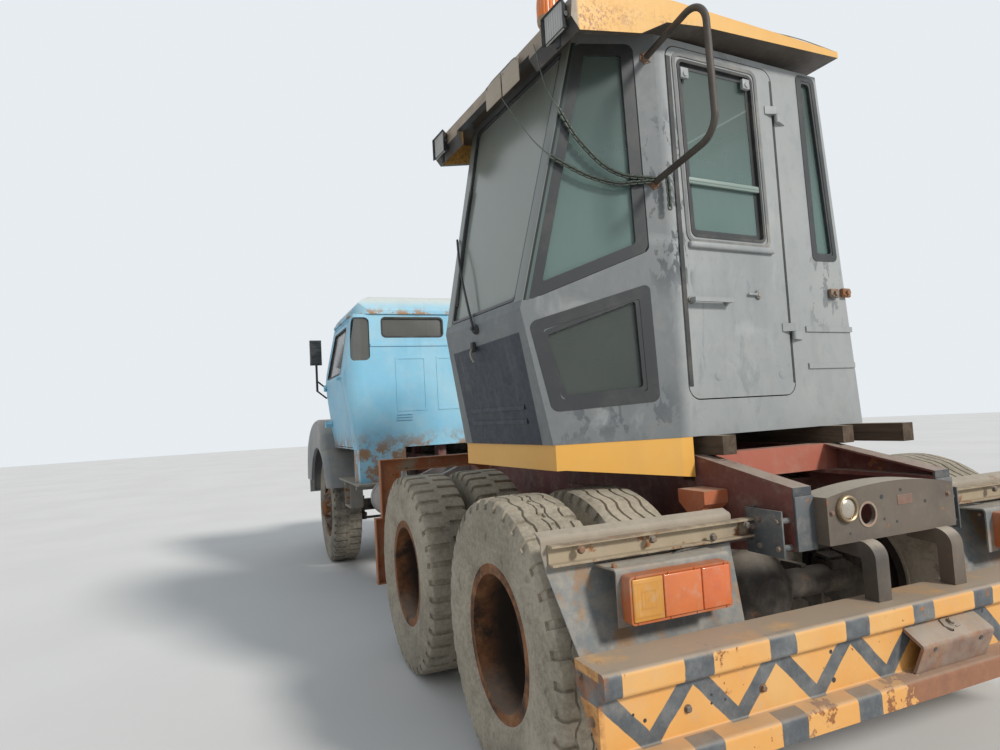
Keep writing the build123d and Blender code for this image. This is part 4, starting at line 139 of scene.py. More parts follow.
class Finish:
    """A material that is being put together."""

    def __init__(self, name):
        self.material = bpy.data.materials.new(name)
        self.material.use_nodes = True
        self.tree = self.material.node_tree
        self.tree.nodes.clear()
        self.output = self.tree.nodes.new("ShaderNodeOutputMaterial")
        self.places = self.tree.nodes.new("ShaderNodeTexCoord")
        self.place = Value(self, self.places.outputs["Object"])
        self.facing = Value(self, self.places.outputs["Normal"])

    def node(self, kind, settings, inputs, output=0):
        """Adds a node with its settings, then the values or links of its sockets."""
        made = self.tree.nodes.new(kind)
        for key, setting in settings.items():
            if key == "stops":
                ramp = made.color_ramp
                while len(ramp.elements) > 1:
                    ramp.elements.remove(ramp.elements[-1])
                ramp.elements[0].position = setting[0][0]
                ramp.elements[0].color = (*setting[0][1], 1)
                for at, colour in setting[1:]:
                    ramp.elements.new(at).color = (*colour, 1)
            else:
                setattr(made, key, setting)
        for key, given in inputs.items():
            if isinstance(given, Value):
                self.tree.links.new(given.socket, made.inputs[key])
            elif isinstance(given, tuple) and len(given) == 3 and made.inputs[key].type == "RGBA":
                made.inputs[key].default_value = (*given, 1)
            else:
                made.inputs[key].default_value = given
        return Value(self, made.outputs[output])

    def axis(self, index):
        """One coordinate of the place on the piece."""
        return self.node("ShaderNodeSeparateXYZ", {}, {0: self.place}, index)

    def upward(self):
        """How far the surface faces up, from 0 to 1."""
        up = self.node("ShaderNodeSeparateXYZ", {}, {0: self.facing}, 2)
        return up.maximum(0.0)

    def downward(self):
        """How far the surface faces down, from 0 to 1."""
        up = self.node("ShaderNodeSeparateXYZ", {}, {0: self.facing}, 2)
        return (0.0 - up).maximum(0.0)

    def operator_place(self):
        """Across and ahead in the operator's cab's own frame."""
        x, y = self.axis(0) - UPPER_PLACE.translation.x, self.axis(1) - UPPER_PLACE.translation.y
        turn_cos, turn_sin = UPPER_PLACE[0][0], UPPER_PLACE[1][0]
        return x * turn_cos + y * turn_sin, y * turn_cos - x * turn_sin

    def stretched(self, stretch, shift=(0, 0, 0)):
        moved = {"Vector": self.place, "Location": shift, "Scale": stretch}
        return self.node("ShaderNodeMapping", {}, moved)

    def noise(self, scale, detail=4.0, roughness=0.55, stretch=(1, 1, 1), shift=(0, 0, 0), distortion=0.0):
        return self.node("ShaderNodeTexNoise", {}, {
            "Vector": self.stretched(stretch, shift),
            "Scale": scale,
            "Detail": detail,
            "Roughness": roughness,
            "Distortion": distortion,
        })

    def cells(self, scale):
        return self.node("ShaderNodeTexVoronoi", {}, {"Vector": self.stretched((1, 1, 1)), "Scale": scale})

    def ramp(self, value, low, high, first=0.0, last=1.0):
        """A soft step from one level to another."""
        levels = {0: value, 1: low, 2: high, 3: first, 4: last}
        return self.node("ShaderNodeMapRange", {"interpolation_type": "SMOOTHSTEP"}, levels)

    def between(self, value, low, high, soft):
        """A soft band."""
        past_high = self.ramp(value, high - soft, high + soft, 1.0, 0.0)
        return self.ramp(value, low - soft, low + soft) * past_high

    def mix(self, factor, first, second):
        return self.node("ShaderNodeMix", {"data_type": "RGBA"}, {0: factor, 6: first, 7: second}, 2)

    def colours(self, value, *stops):
        return self.node("ShaderNodeValToRGB", {"stops": list(stops)}, {0: value})

    def bump(self, height, distance, strength=1.0):
        inputs = {"Height": height, "Distance": distance, "Strength": strength}
        return self.node("ShaderNodeBump", {}, inputs)

    def close(self, **sockets):
        """Adds the surface shader and returns the material."""
        inputs = {name.replace("_", " "): given for name, given in sockets.items()}
        shader = self.node("ShaderNodeBsdfPrincipled", {}, inputs)
        self.tree.links.new(shader.socket, self.output.inputs["Surface"])
        return self.material


DUST = (0.47, 0.41, 0.33)
RUST_DARK = (0.10, 0.035, 0.015)
RUST_LIGHT = (0.33, 0.13, 0.045)
RUST_TAN = (0.42, 0.24, 0.12)
SCUFF = (0.10, 0.105, 0.11)


def rust_colour(f, scale=9.0):
    """Mottled rust."""
    mottled = f.noise(scale, 8, 0.7)
    return f.colours(mottled, (0.3, RUST_DARK), (0.52, RUST_LIGHT), (0.72, RUST_TAN))


def weathered(name, base, shade, dirt, rust, rust_scale, streaks, dust, roughness, metallic=0.0, mark=None,
              last=None):
    """Old paint: faded patches, streaks that run down, rust through the paint, and dust on what faces up."""
    f = Finish(name)
    patch = f.noise(1.7, 5, 0.6)
    fine = f.noise(38.0, 6, 0.65)
    run = f.noise(7.0, 5, 0.6, stretch=(1, 1, 0.09))
    colour = f.mix(f.ramp(patch, 0.3, 0.72), base, shade)
    if mark:
        colour = mark(f, colour)
    colour = f.mix(f.ramp(run, 0.5, 0.78) * streaks, colour, SCUFF)
    colour = f.mix(f.ramp(f.noise(11.0, 7, 0.7), 0.45, 0.75) * dirt, colour, DUST)
    rusty = f.ramp(f.noise(rust_scale, 9, 0.68, shift=(3, 1, 7)), rust, rust + 0.05)
    colour = f.mix(rusty, colour, rust_colour(f))
    if last:
        colour = last(f, colour)
    dusty = f.ramp(f.upward(), 0.45, 0.95) * f.ramp(fine + patch, 0.6, 1.15) * dust
    colour = f.mix(dusty, colour, DUST)
    height = fine * 0.25 + patch + rusty * 0.6
    rough = f.ramp(fine, 0.2, 0.8, roughness - 0.08, roughness + 0.12) + rusty * 0.25
    return f.close(
        Base_Color=colour,
        Roughness=rough.minimum(1.0),
        Metallic=metallic,
        Normal=f.bump(height, 0.0012, 0.6),
    )


# Heights and places of the paints' marks

PANEL_ACROSS, PANEL_TOP_Z = (0.255, 0.925), 1.690
# the panel's colour is navy paint darkened near black with painted shade, for the front face in shadow
PANEL_NAVY_IN_SHADE = (0.012, 0.018, 0.030)
# the deep grey of the painted shade on the operator's cab's front part comes first
FRONT_SHADE_GREY = (0.120, 0.134, 0.140)
RUB_DARK, RUB_MIDDLE, SCRUB_PALE = (0.060, 0.070, 0.080), (0.125, 0.140, 0.150), (0.44, 0.46, 0.46)
# the second value is the near-black painted shade of the roof's underside
ROOF_LOW_Z, ROOF_UNDER_SHADE = 2.60, (0.040, 0.041, 0.044)
BUFFER_X, BUFFER_ORANGE = (-2.893, -2.737), (0.50, 0.14, 0.055)
TIE_X, TIE_SALMON = (-2.722, -2.632), (0.46, 0.135, 0.085)
END_CAP_X, END_CAP_SLATE = -3.1925, (0.055, 0.062, 0.072)
POSTS_X, BEAM_Z, BEAM_PLATE_HALF = -0.9, 0.9365, 0.441
LAMP_PLATE_TOP_Z = 0.96
GUTTER_Z = 2.285


def rubbed_marks_and_front_shade(f, colour):
    """Dark rub marks and pale scrubs on the operator's cab, and painted shade on its front part."""
    across, ahead = f.operator_place()
    z = f.axis(2)
    # painted shade: the front part of the operator's cab is darkened as if it lay in shadow
    painted_front_shade = f.ramp(ahead, -0.03, 0.03)
    colour = f.mix(painted_front_shade * 0.75, colour, FRONT_SHADE_GREY)
    post = f.between(ahead, -0.085, 0.095, 0.030) * f.ramp(z, 2.62, 2.45) * f.ramp(z, 1.75, 1.95)
    hinge_side = f.between(ahead, -0.98, -0.78, 0.05) * f.between(z, 1.70, 2.02, 0.08)
    below_pane = f.between(ahead, 0.05, 0.50, 0.05) * f.between(z, 1.26, 1.44, 0.05)
    handled = (post + hinge_side * 0.6 + below_pane * 0.7).minimum(1.0)
    dabs = f.noise(17.0, 5, 0.6, stretch=(1, 1, 0.55), distortion=0.5)
    colour = f.mix(f.ramp(dabs, 0.53, 0.575) * (0.06 + handled * 0.85), colour, RUB_DARK)
    smear = f.noise(4.2, 8, 0.72, stretch=(1, 1, 0.5), distortion=1.3)
    colour = f.mix(f.ramp(smear, 0.58, 0.68) * 0.4, colour, RUB_MIDDLE)
    pale = f.noise(3.3, 6, 0.6, shift=(4, 8, 2), distortion=0.8)
    return f.mix(f.ramp(pale, 0.56, 0.72) * 0.35, colour, SCRUB_PALE)


def shaded_navy_panel(f, colour):
    """A navy panel, darkened with painted shade, across the operator's cab's front, scrubbed in runs."""
    z = f.axis(2)
    across, ahead = f.operator_place()
    lean = ahead - (z - FRONT_LOW[1]) * FRONT_LEAN - FRONT_LOW[0]
    on_front = f.ramp(lean, -0.030, -0.012)
    wide = f.between(across, *PANEL_ACROSS, 0.004)
    tall = f.ramp(z + across * 0.02, PANEL_TOP_Z, PANEL_TOP_Z + 0.006, 1.0, 0.0)
    scrub = f.ramp(f.noise(16.0, 5, 0.65, stretch=(1, 1, 0.1)), 0.45, 0.8, 1.0, 0.80)
    # navy paint and painted shade: the navy is mixed in near black, as the front face lies in shadow
    return f.mix(on_front * wide * tall * scrub, colour, PANEL_NAVY_IN_SHADE)


def roof_specks_dust_and_shade(f, colour):
    """Rust specks at a roof's lower edge, tan dust and painted shade on its front, painted shade below."""
    across, ahead = f.operator_place()
    z = f.axis(2)
    above_low = f.ramp(z, ROOF_LOW_Z, ROOF_LOW_Z + 0.06)
    edge = f.ramp(z, 2.93, 2.80) * above_low
    specks = f.ramp(f.noise(70.0, 4, 0.7), 0.50, 0.56) * f.ramp(f.noise(4.0, 4, 0.6), 0.38, 0.62) * edge
    colour = f.mix(specks * 0.85, colour, (0.30, 0.105, 0.035))
    # dust and painted shade: the front face turns a dusty tan as if in shadow, all but its far end, which
    # stays yellow as if lit
    front = f.ramp(ahead, 0.452, 0.468) * above_low * f.ramp(across, 1.14, 1.06)
    tan = f.mix(f.ramp(f.noise(7.0, 5, 0.6), 0.35, 0.7), (0.20, 0.175, 0.145), (0.36, 0.285, 0.205))
    colour = f.mix(front * 0.92, colour, tan)
    # painted shade: faces that look down are darkened near black
    return f.mix(f.ramp(f.downward(), 0.25, 0.6) * 0.95, colour, ROOF_UNDER_SHADE)


def frame_patches(f, colour):
    """Slate end caps, an orange buffer bracket and a salmon tie at the rear."""
    x, y, z = f.axis(0), f.axis(1), f.axis(2)
    bracket = f.between(x, *BUFFER_X, 0.002) * abs(y).above(0.3915) * z.above(0.93)
    colour = f.mix(bracket, colour, BUFFER_ORANGE)
    tie = f.between(x, *TIE_X, 0.002) * (1 - abs(y).above(0.381)) * z.above(1.052)
    colour = f.mix(tie, colour, TIE_SALMON)
    return f.mix(f.ramp(x, END_CAP_X - 0.001, END_CAP_X + 0.001, 1.0, 0.0), colour, END_CAP_SLATE)


def beam_marks(f, colour):
    """A slate plate at the rail and rust-orange posts ahead of the tyres."""
    x, y, z = f.axis(0), f.axis(1), f.axis(2)
    posts = x.above(POSTS_X)
    colour = f.mix(posts * f.ramp(f.noise(7.0, 6, 0.65), 0.25, 0.5), colour, (0.42, 0.15, 0.06))
    edge = f.ramp(abs(z - BEAM_Z), 0.024, 0.031) * (1 - posts)
    colour = f.mix(edge * f.ramp(f.noise(12.0, 6, 0.7), 0.35, 0.6) * 0.8, colour, (0.175, 0.105, 0.065))
    plate = f.ramp(x, -3.034, -3.0325, 0.0, 1.0) * (1 - abs(y).above(BEAM_PLATE_HALF)) * (1 - posts)
    return f.mix(plate, colour, (0.045, 0.055, 0.064))


def bled_rust(f, colour):
    """Blue-grey primer with tan rust bleeding out round the lamp plate."""
    z = f.axis(2)
    low = f.ramp(z, LAMP_PLATE_TOP_Z, LAMP_PLATE_TOP_Z - 0.10)
    blue = f.mix(f.ramp(f.noise(13.0, 6, 0.7), 0.38, 0.66), (0.150, 0.185, 0.205), (0.300, 0.290, 0.260))
    colour = f.mix(low * 0.85, colour, blue)
    stain = f.ramp(f.noise(8.5, 7, 0.72, stretch=(1, 1, 0.7), shift=(6, 2, 2)), 0.50, 0.62) * low
    return f.mix(stain * 0.75, colour, (0.33, 0.185, 0.085))


def blue_chips(f, colour):
    """Faded patches, and chips through to primer low down."""
    z = f.axis(2)
    faded = f.ramp(f.noise(2.6, 6, 0.65, shift=(2, 2, 0)), 0.4, 0.75) * 0.55
    colour = f.mix(faded, colour, (0.50, 0.67, 0.74))
    low = f.ramp(z, 1.12, 1.34, 1.0, 0.0) * f.ramp(f.noise(8.0, 8, 0.7), 0.42, 0.56)
    return f.mix(low, colour, (0.34, 0.20, 0.11))


def roof_fade(f, colour):
    """A pale roof that turns blue towards its gutter, flaked at the edge."""
    z = f.axis(2)
    colour = f.mix(f.ramp(z, GUTTER_Z + 0.045, GUTTER_Z + 0.155), colour, (0.66, 0.72, 0.70))
    edge = f.ramp(z, GUTTER_Z, GUTTER_Z + 0.075, 1.0, 0.0) * f.ramp(f.noise(6.0, 8, 0.7), 0.5, 0.56)
    return f.mix(edge, colour, (0.42, 0.22, 0.10))


STRIPE_PERIOD = 0.298
STRIPE_YELLOW = 0.664
STRIPE_START = 1.246 - 0.054
VEE_HALF = 0.149
VEE_BAND = 0.030
VEE_LOW_Y = 0.792
VEE_LOW_Z, VEE_HIGH_Z = 0.484, 0.640
LIP_X = -3.345
LOW_LIP_Z = 0.480


def bumper_paint():
    """Yellow with dark blocks along both lips and a dark zigzag on the recessed face."""
    f = Finish("bumper_paint")
    x, y, z = f.axis(0), f.axis(1), f.axis(2)
    wobble = f.noise(14.0, 4, 0.6) * 0.012
    along = ((STRIPE_START - y) + wobble) % STRIPE_PERIOD
    block = f.ramp(along, STRIPE_PERIOD * STRIPE_YELLOW, STRIPE_PERIOD * STRIPE_YELLOW + 0.003)
    block = block.maximum(y.above(STRIPE_START))
    lips = f.ramp(x, LIP_X, LIP_X + 0.004, 1.0, 0.0)
    phase = ((VEE_LOW_Y - y) + VEE_HALF + wobble) % STRIPE_PERIOD
    from_tip = abs(phase - VEE_HALF)
    rise = (z - VEE_LOW_Z) * ((STRIPE_PERIOD / 2) / (VEE_HIGH_Z - VEE_LOW_Z))
    vee = f.ramp(abs(from_tip - rise), VEE_BAND, VEE_BAND + 0.004, 1.0, 0.0)
    dark = block * lips + vee * (1 - lips)
    yellow = f.mix(f.ramp(f.noise(3.5, 5, 0.6), 0.35, 0.7), (0.74, 0.365, 0.098), (0.75, 0.43, 0.155))
    black = f.mix(f.ramp(f.noise(9.0, 6, 0.7), 0.35, 0.75), (0.075, 0.085, 0.095), (0.19, 0.20, 0.20))
    colour = f.mix(dark, yellow, black)
    colour = f.mix(f.ramp(f.noise(10.0, 7, 0.7, shift=(0, 5, 1)), 0.5, 0.8) * 0.35, colour, DUST)
    low_lip = f.ramp(z, LOW_LIP_Z, LOW_LIP_Z + 0.010, 1.0, 0.0)
    low_right = low_lip * f.ramp(y, 0.08, 0.40, 1.0, 0.0)
    worn = f.noise(7.0, 9, 0.7, shift=(3, 1, 7)) + low_right * 0.26 + low_lip * 0.035
    rusty = f.ramp(worn, 0.63, 0.66)
    pits = f.ramp(f.noise(48.0, 4, 0.6, shift=(2, 2, 9)), 0.66, 0.69)
    pits = pits * f.ramp(f.noise(2.5, 3, 0.5), 0.45, 0.6)
    rusty = rusty.maximum(pits)
    end = f.ramp(y, 1.225, 1.238) * f.ramp(f.noise(12.0, 6, 0.7), 0.35, 0.6)
    rusty = rusty.maximum(end * 0.8)
    colour = f.mix(rusty, colour, f.mix(low_right * 0.7, rust_colour(f, 14.0), (0.30, 0.150, 0.095)))
    dusty = f.ramp(f.upward(), 0.35, 0.85) * f.ramp(f.noise(6.0, 5, 0.6), 0.15, 0.5)
    dusty = dusty * f.ramp(z, 0.46, 0.60, 0.5, 0.94)
    colour = f.mix(dusty, colour, (0.385, 0.31, 0.235))
    return f.close(
        Base_Color=colour,
        Roughness=f.ramp(rusty, 0.0, 1.0, 0.55, 0.9),
        Normal=f.bump(f.noise(22.0, 8, 0.7) + rusty * 0.5, 0.002, 0.6),
    )


def dusty_rubber(name, base, dust_share):
    """Old tyre rubber with dust in its pattern and streaks on its wall."""
    f = Finish(name)
    fine = f.noise(55.0, 6, 0.7)
    broad = f.noise(4.5, 5, 0.6)
    colour = f.mix(f.ramp(fine * 0.5 + broad * 0.6, 0.35, 0.72) * dust_share, base, (0.47, 0.41, 0.32))
    streaks = f.ramp(f.noise(9.0, 7, 0.72, shift=(5, 5, 1)), 0.56, 0.7) * 0.5
    colour = f.mix(streaks, colour, (0.045, 0.042, 0.04))
    return f.close(Base_Color=colour, Roughness=0.93, Normal=f.bump(fine + broad, 0.0016, 0.7))


def rusty_iron(name, base, rust, dust, metallic=0.25):
    """Bare or painted iron under rust and road dust."""
    f = Finish(name)
    rusty = f.ramp(f.noise(6.0, 9, 0.72), rust, rust + 0.2)
    colour = f.mix(rusty, base, rust_colour(f, 11.0))
    dusty = f.ramp(f.noise(4.0, 7, 0.66, shift=(1, 7, 3)), 0.38, 0.7) * dust
    colour = f.mix(dusty, colour, DUST)
    top = f.ramp(f.upward(), 0.4, 0.9) * dust
    colour = f.mix(top, colour, (0.44, 0.39, 0.32))
    return f.close(
        Base_Color=colour,
        Metallic=metallic,
        Roughness=f.ramp(rusty, 0.0, 1.0, 0.6, 0.92),
        Normal=f.bump(f.noise(30.0, 8, 0.7), 0.0015, 0.7),
    )


def wheel_rim():
    """Rims that are black with grease deep inside and rusty along their outer well."""
    f = Finish("rim_rust")
    outer = f.ramp(abs(f.axis(1)), 1.07, 1.17)
    patchy = f.ramp(f.noise(9.0, 6, 0.68), 0.30, 0.58)
    deep = f.mix(patchy, (0.012, 0.010, 0.009), (0.030, 0.018, 0.012))
    well = f.mix(patchy * 0.7, (0.040, 0.022, 0.014), rust_colour(f, 11.0))
    colour = f.mix(outer * (0.35 + patchy * 0.65), deep, well)
    colour = f.mix(f.ramp(f.upward(), 0.5, 0.95) * outer * 0.4, colour, DUST)
    return f.close(Base_Color=colour, Roughness=0.88, Normal=f.bump(f.noise(34.0, 7, 0.7), 0.0012, 0.6))


def dusty_glass(name, tint, film_colour, dust, alpha, mark=None):
    """Tinted glass under an even film of dust, a little thicker in low runs."""
    f = Finish(name)
    film = f.ramp(f.noise(1.3, 4, 0.5, distortion=0.4), 0.25, 0.8)
    runs = f.ramp(f.noise(30.0, 4, 0.55, stretch=(1, 1, 0.05)), 0.5, 0.85)
    specks = f.ramp(f.noise(40.0, 3, 0.5), 0.55, 0.9) * 0.04
    amount = (0.45 + film * 0.35 + runs * 0.10 + specks) * dust
    if mark:
        amount, tint = mark(f, amount, tint)
    colour = f.mix(amount.minimum(1.0), tint, film_colour)
    return f.close(
        Base_Color=colour,
        Roughness=f.ramp(film, 0.0, 1.0, 0.12, 0.26),
        Alpha=(alpha + amount * 0.45).minimum(1.0),
        Specular_IOR_Level=0.55,
    )


def screen_dust_and_shade(f, amount, tint):
    """Green side glass, darker to the top with painted shade, and a windscreen under thick grey dust."""
    z = f.axis(2)
    across, ahead = f.operator_place()
    front = f.ramp(ahead - (z - FRONT_BELT[1]) * SCREEN_LEAN - FRONT_BELT[0], -0.028, -0.022)
    front = front * f.ramp(z, 1.76, 1.78)
    # painted shade: the side glass darkens towards the top, as if shaded by the roof
    tint = f.mix(f.ramp(z, 2.75, 2.15), (0.045, 0.085, 0.078), (0.115, 0.215, 0.200))
    tint = f.mix(f.ramp(z, 1.86, 1.78), tint, (0.020, 0.034, 0.030))
    return (amount * 0.55 + front * 0.62).minimum(1.0), tint


def timber_finish():
    """Grey-brown sawn timber with long grain along the truck and checks at its ends."""
    f = Finish("old_timber")
    grain = f.noise(26.0, 8, 0.7, stretch=(0.07, 1, 1), distortion=0.6)
    rings = f.noise(9.0, 4, 0.6, stretch=(0.12, 1, 1))
    colour = f.colours(grain * 0.7 + rings * 0.3, (0.3, (0.022, 0.016, 0.011)), (0.5, (0.085, 0.058, 0.038)),
                       (0.68, (0.155, 0.115, 0.078)))
    colour = f.mix(f.ramp(f.upward(), 0.5, 0.9) * 0.5, colour, DUST)
    return f.close(Base_Color=colour, Roughness=0.9, Normal=f.bump(grain, 0.003, 0.8))


def lens(name, colour, inner, centre, period):
    """Moulded lamp plastic with nested squares about a centre (y, z)."""
    f = Finish(name)
    y, z = f.axis(1), f.axis(2)
    square = abs(abs(y) - centre[0]).maximum(abs(z - centre[1]))
    ring = (square % period) / period
    line = f.ramp(abs(ring - 0.5), 0.32, 0.46)
    mottled = f.ramp(f.noise(9.0, 5, 0.6), 0.35, 0.75)
    tint = f.mix(mottled * 0.6, colour, inner)
    tint = f.mix(line * 0.45, tint, inner)
    tint = f.mix(f.ramp(f.noise(24.0, 6, 0.7), 0.5, 0.75) * 0.35, tint, DUST)
    return f.close(Base_Color=tint, Roughness=0.34, Normal=f.bump(line, 0.0006, 0.5), Coat_Weight=0.25)


def plain_metal(name, colour, roughness, metallic):
    """Bare bright or dull metal with fine scratches."""
    f = Finish(name)
    scratch = f.noise(90.0, 5, 0.6, stretch=(1, 0.1, 1))
    dulled = tuple(0.45 * c + 0.05 for c in colour)
    tone = f.mix(f.ramp(f.noise(12.0, 6, 0.65), 0.4, 0.75) * 0.6, colour, dulled)
    return f.close(
        Base_Color=tone,
        Metallic=metallic,
        Roughness=f.ramp(scratch, 0.25, 0.75, roughness - 0.08, roughness + 0.14),
        Normal=f.bump(scratch, 0.0004, 0.4),
    )


def soft_plastic(name, colour, roughness=0.6, dust=0.45):
    """Moulded rubber or plastic with a fine grain and dust."""
    f = Finish(name)
    grain = f.noise(180.0, 3, 0.6)
    tone = f.mix(f.ramp(f.noise(6.0, 6, 0.66), 0.42, 0.75) * dust, colour, DUST)
    return f.close(Base_Color=tone, Roughness=roughness, Normal=f.bump(grain, 0.0004, 0.5))


def stitched(name, colour):
    """Vinyl seat cover with a grain, worn paler on top."""
    f = Finish(name)
    grain = f.cells(140.0)
    worn = f.ramp(f.upward(), 0.5, 1.0) * f.ramp(f.noise(7.0, 5, 0.6), 0.35, 0.7)
    tone = f.mix(worn * 0.5, colour, (0.30, 0.27, 0.23))
    return f.close(Base_Color=tone, Roughness=0.6, Normal=f.bump(grain, 0.0008, 0.6))


def post_cover_finish():
    """The panes' own edge over the corner post: dusty in front, green at the side, a black joint."""
    f = Finish("post_cover")
    across, ahead = f.operator_place()
    z = f.axis(2)
    front_y = FRONT_BELT[0] + (z - FRONT_BELT[1]) * SCREEN_LEAN
    behind = front_y - ahead
    film = f.ramp(f.noise(2.4, 4, 0.5), 0.3, 0.7)
    screen = f.mix(film, (0.165, 0.185, 0.170), (0.215, 0.235, 0.215))
    # painted shade: the side's green darkens towards the top, as if shaded by the roof
    side = f.mix(f.ramp(z, 2.75, 2.10), (0.040, 0.058, 0.053), (0.090, 0.125, 0.115))
    colour = f.mix(f.ramp(behind, 0.003, 0.005), screen, side)
    joint = f.between(behind, 0.004, 0.013, 0.001)
    colour = f.mix(joint, colour, (0.018, 0.019, 0.020))
    grain = f.noise(60.0, 3, 0.5)
    return f.close(Base_Color=colour, Roughness=0.32, Normal=f.bump(grain, 0.0001, 0.2))


def pale_floor():
    f = Finish("studio_floor")
    tone = f.mix(f.ramp(f.noise(0.6, 4, 0.5), 0.3, 0.7), (0.72, 0.71, 0.69), (0.76, 0.75, 0.73))
    return f.close(Base_Color=tone, Roughness=0.85)


PAINTS = {
    # name: paint, faded paint, dirt, rust limit, rust scale, streaks, dust, roughness, metallic, marks
    "frame_red": ((0.105, 0.032, 0.029), (0.175, 0.056, 0.043), 0.26, 0.64, 6.0, 0.25, 0.6, 0.6, 0.0,
                  frame_patches),
    "crossmember_grey": ((0.024, 0.027, 0.031), (0.135, 0.105, 0.078), 0.10, 0.60, 9.0, 0.15, 0.8, 0.55),
    "amber": ((0.80, 0.41, 0.075), (0.84, 0.46, 0.10), 0.05, 0.80, 6.0, 0.05, 0.3, 0.45),
    "mudguard_grey": ((0.30, 0.255, 0.20), (0.40, 0.335, 0.26), 0.30, 0.63, 7.0, 0.2, 0.6, 0.75, 0.0,
                      bled_rust),
    "step_grey": ((0.235, 0.225, 0.205), (0.36, 0.30, 0.235), 0.55, 0.57, 7.0, 0.45, 0.7, 0.7),
    "beam_galvanised": ((0.37, 0.30, 0.20), (0.45, 0.37, 0.26), 0.3, 0.58, 10.0, 0.35, 0.30, 0.66, 0.1,
                        beam_marks),
    "fender_grey": ((0.22, 0.225, 0.23), (0.34, 0.335, 0.32), 0.4, 0.64, 6.0, 0.35, 0.6, 0.55),
    "tank_grey": ((0.30, 0.27, 0.25), (0.22, 0.19, 0.18), 0.5, 0.6, 6.0, 0.35, 0.7, 0.55),
    "slate_plate": ((0.050, 0.058, 0.068), (0.105, 0.115, 0.120), 0.35, 0.60, 6.0, 0.35, 0.3, 0.55),
    "operator_grey": ((0.27, 0.29, 0.295), (0.345, 0.36, 0.355), 0.12, 0.78, 6.0, 0.22, 0.3, 0.5, 0.0,
                      rubbed_marks_and_front_shade, shaded_navy_panel),
    "roof_amber": ((0.74, 0.40, 0.095), (0.80, 0.47, 0.14), 0.12, 0.78, 6.0, 0.06, 0.35, 0.48, 0.0,
                   roof_specks_dust_and_shade),
    "sky_blue": ((0.225, 0.555, 0.76), (0.34, 0.655, 0.82), 0.14, 0.70, 5.0, 0.16, 0.35, 0.5, 0.0,
                 blue_chips),
    "cab_roof_paint": ((0.26, 0.55, 0.72), (0.40, 0.64, 0.75), 0.2, 0.72, 6.0, 0.08, 0.3, 0.5, 0.0,
                       roof_fade),
}
IRONS = {
    # name: iron, rust limit, dust, metallic
    # near-black iron: the iron's own dark colour deepened with painted shade for the underside of the truck
    "chassis_iron": ((0.045, 0.038, 0.034), 0.56, 0.42),
    "tow_rust": ((0.20, 0.115, 0.085), 0.46, 0.55, 0.1),
    "tube_rust": ((0.055, 0.045, 0.038), 0.60, 0.12),
    "bolt_iron": ((0.16, 0.135, 0.115), 0.42, 0.45),
    "tan_rust": ((0.34, 0.21, 0.12), 0.5, 0.5, 0.0),
}
METALS = {
    # name: colour, roughness, metallic
    "bright": ((0.62, 0.62, 0.60), 0.28, 1.0),
    "dull_steel": ((0.30, 0.29, 0.27), 0.5, 0.8),
    "chain_steel": ((0.115, 0.130, 0.110), 0.36, 0.8),
    "lamp_mirror": ((0.56, 0.50, 0.42), 0.20, 0.9),
    "lamp_brass": ((0.34, 0.26, 0.16), 0.40, 0.8),
    "mirror_face": ((0.085, 0.090, 0.095), 0.22, 0.9),
}
PLASTICS = {
    # name: colour, roughness, dust
    "lamp_rim": ((0.46, 0.125, 0.035), 0.4),
    "seal": ((0.026, 0.028, 0.029), 0.62, 0.16),
    "border_black": ((0.034, 0.037, 0.039), 0.34, 0.07),
    "cabin_dark": ((0.075, 0.075, 0.08), 0.7),
    "beacon_orange": ((0.80, 0.20, 0.03), 0.3),
    "pale_bar": ((0.215, 0.285, 0.255), 0.5, 0.2),
    "frame_rubber": ((0.16, 0.165, 0.165), 0.6),
    "frosted_lens": ((0.46, 0.46, 0.44), 0.3),
    "plate_white": ((0.40, 0.33, 0.25), 0.55),
    "hose_black": ((0.028, 0.027, 0.027), 0.55),
    "hose_pale": ((0.34, 0.31, 0.27), 0.6),
}
RUBBERS = {
    # name: rubber, share of dust
    "tyre_front": ((0.085, 0.078, 0.066), 0.8),
    "tyre_rear": ((0.235, 0.205, 0.155), 1.0),
}
LENSES = {
    # name: colour, inner colour, centre (y, z), period of the moulded squares
    "lens_yellow": ((0.66, 0.31, 0.055), (0.48, 0.22, 0.04), (0.9845, 0.8115), 0.024),
    "lens_orange": ((0.66, 0.185, 0.055), (0.56, 0.145, 0.045), (0.860, 0.8115), 0.140),
    "lens_red": ((0.66, 0.165, 0.052), (0.56, 0.125, 0.042), (0.7365, 0.8115), 0.140),
}
GLASSES = {
    # name: tint, film of dust, dust, alpha, marks
    "operator_glass": ((0.0, 0.0, 0.0), (0.285, 0.300, 0.262), 0.6, 0.60, screen_dust_and_shade),
    "driver_glass": ((0.08, 0.082, 0.078), (0.26, 0.26, 0.24), 0.9, 0.55),
}
FINISHES = {
    "rim_rust": wheel_rim(),
    "post_cover": post_cover_finish(),
    "seat_cover": stitched("seat_cover", (0.085, 0.07, 0.06)),
    "old_timber": timber_finish(),
    "bumper_paint": bumper_paint(),
}
for make, looks in ((weathered, PAINTS), (rusty_iron, IRONS), (plain_metal, METALS),
                    (soft_plastic, PLASTICS), (dusty_rubber, RUBBERS), (lens, LENSES),
                    (dusty_glass, GLASSES)):
    for name, look in looks.items():
        FINISHES[name] = make(name, *look)

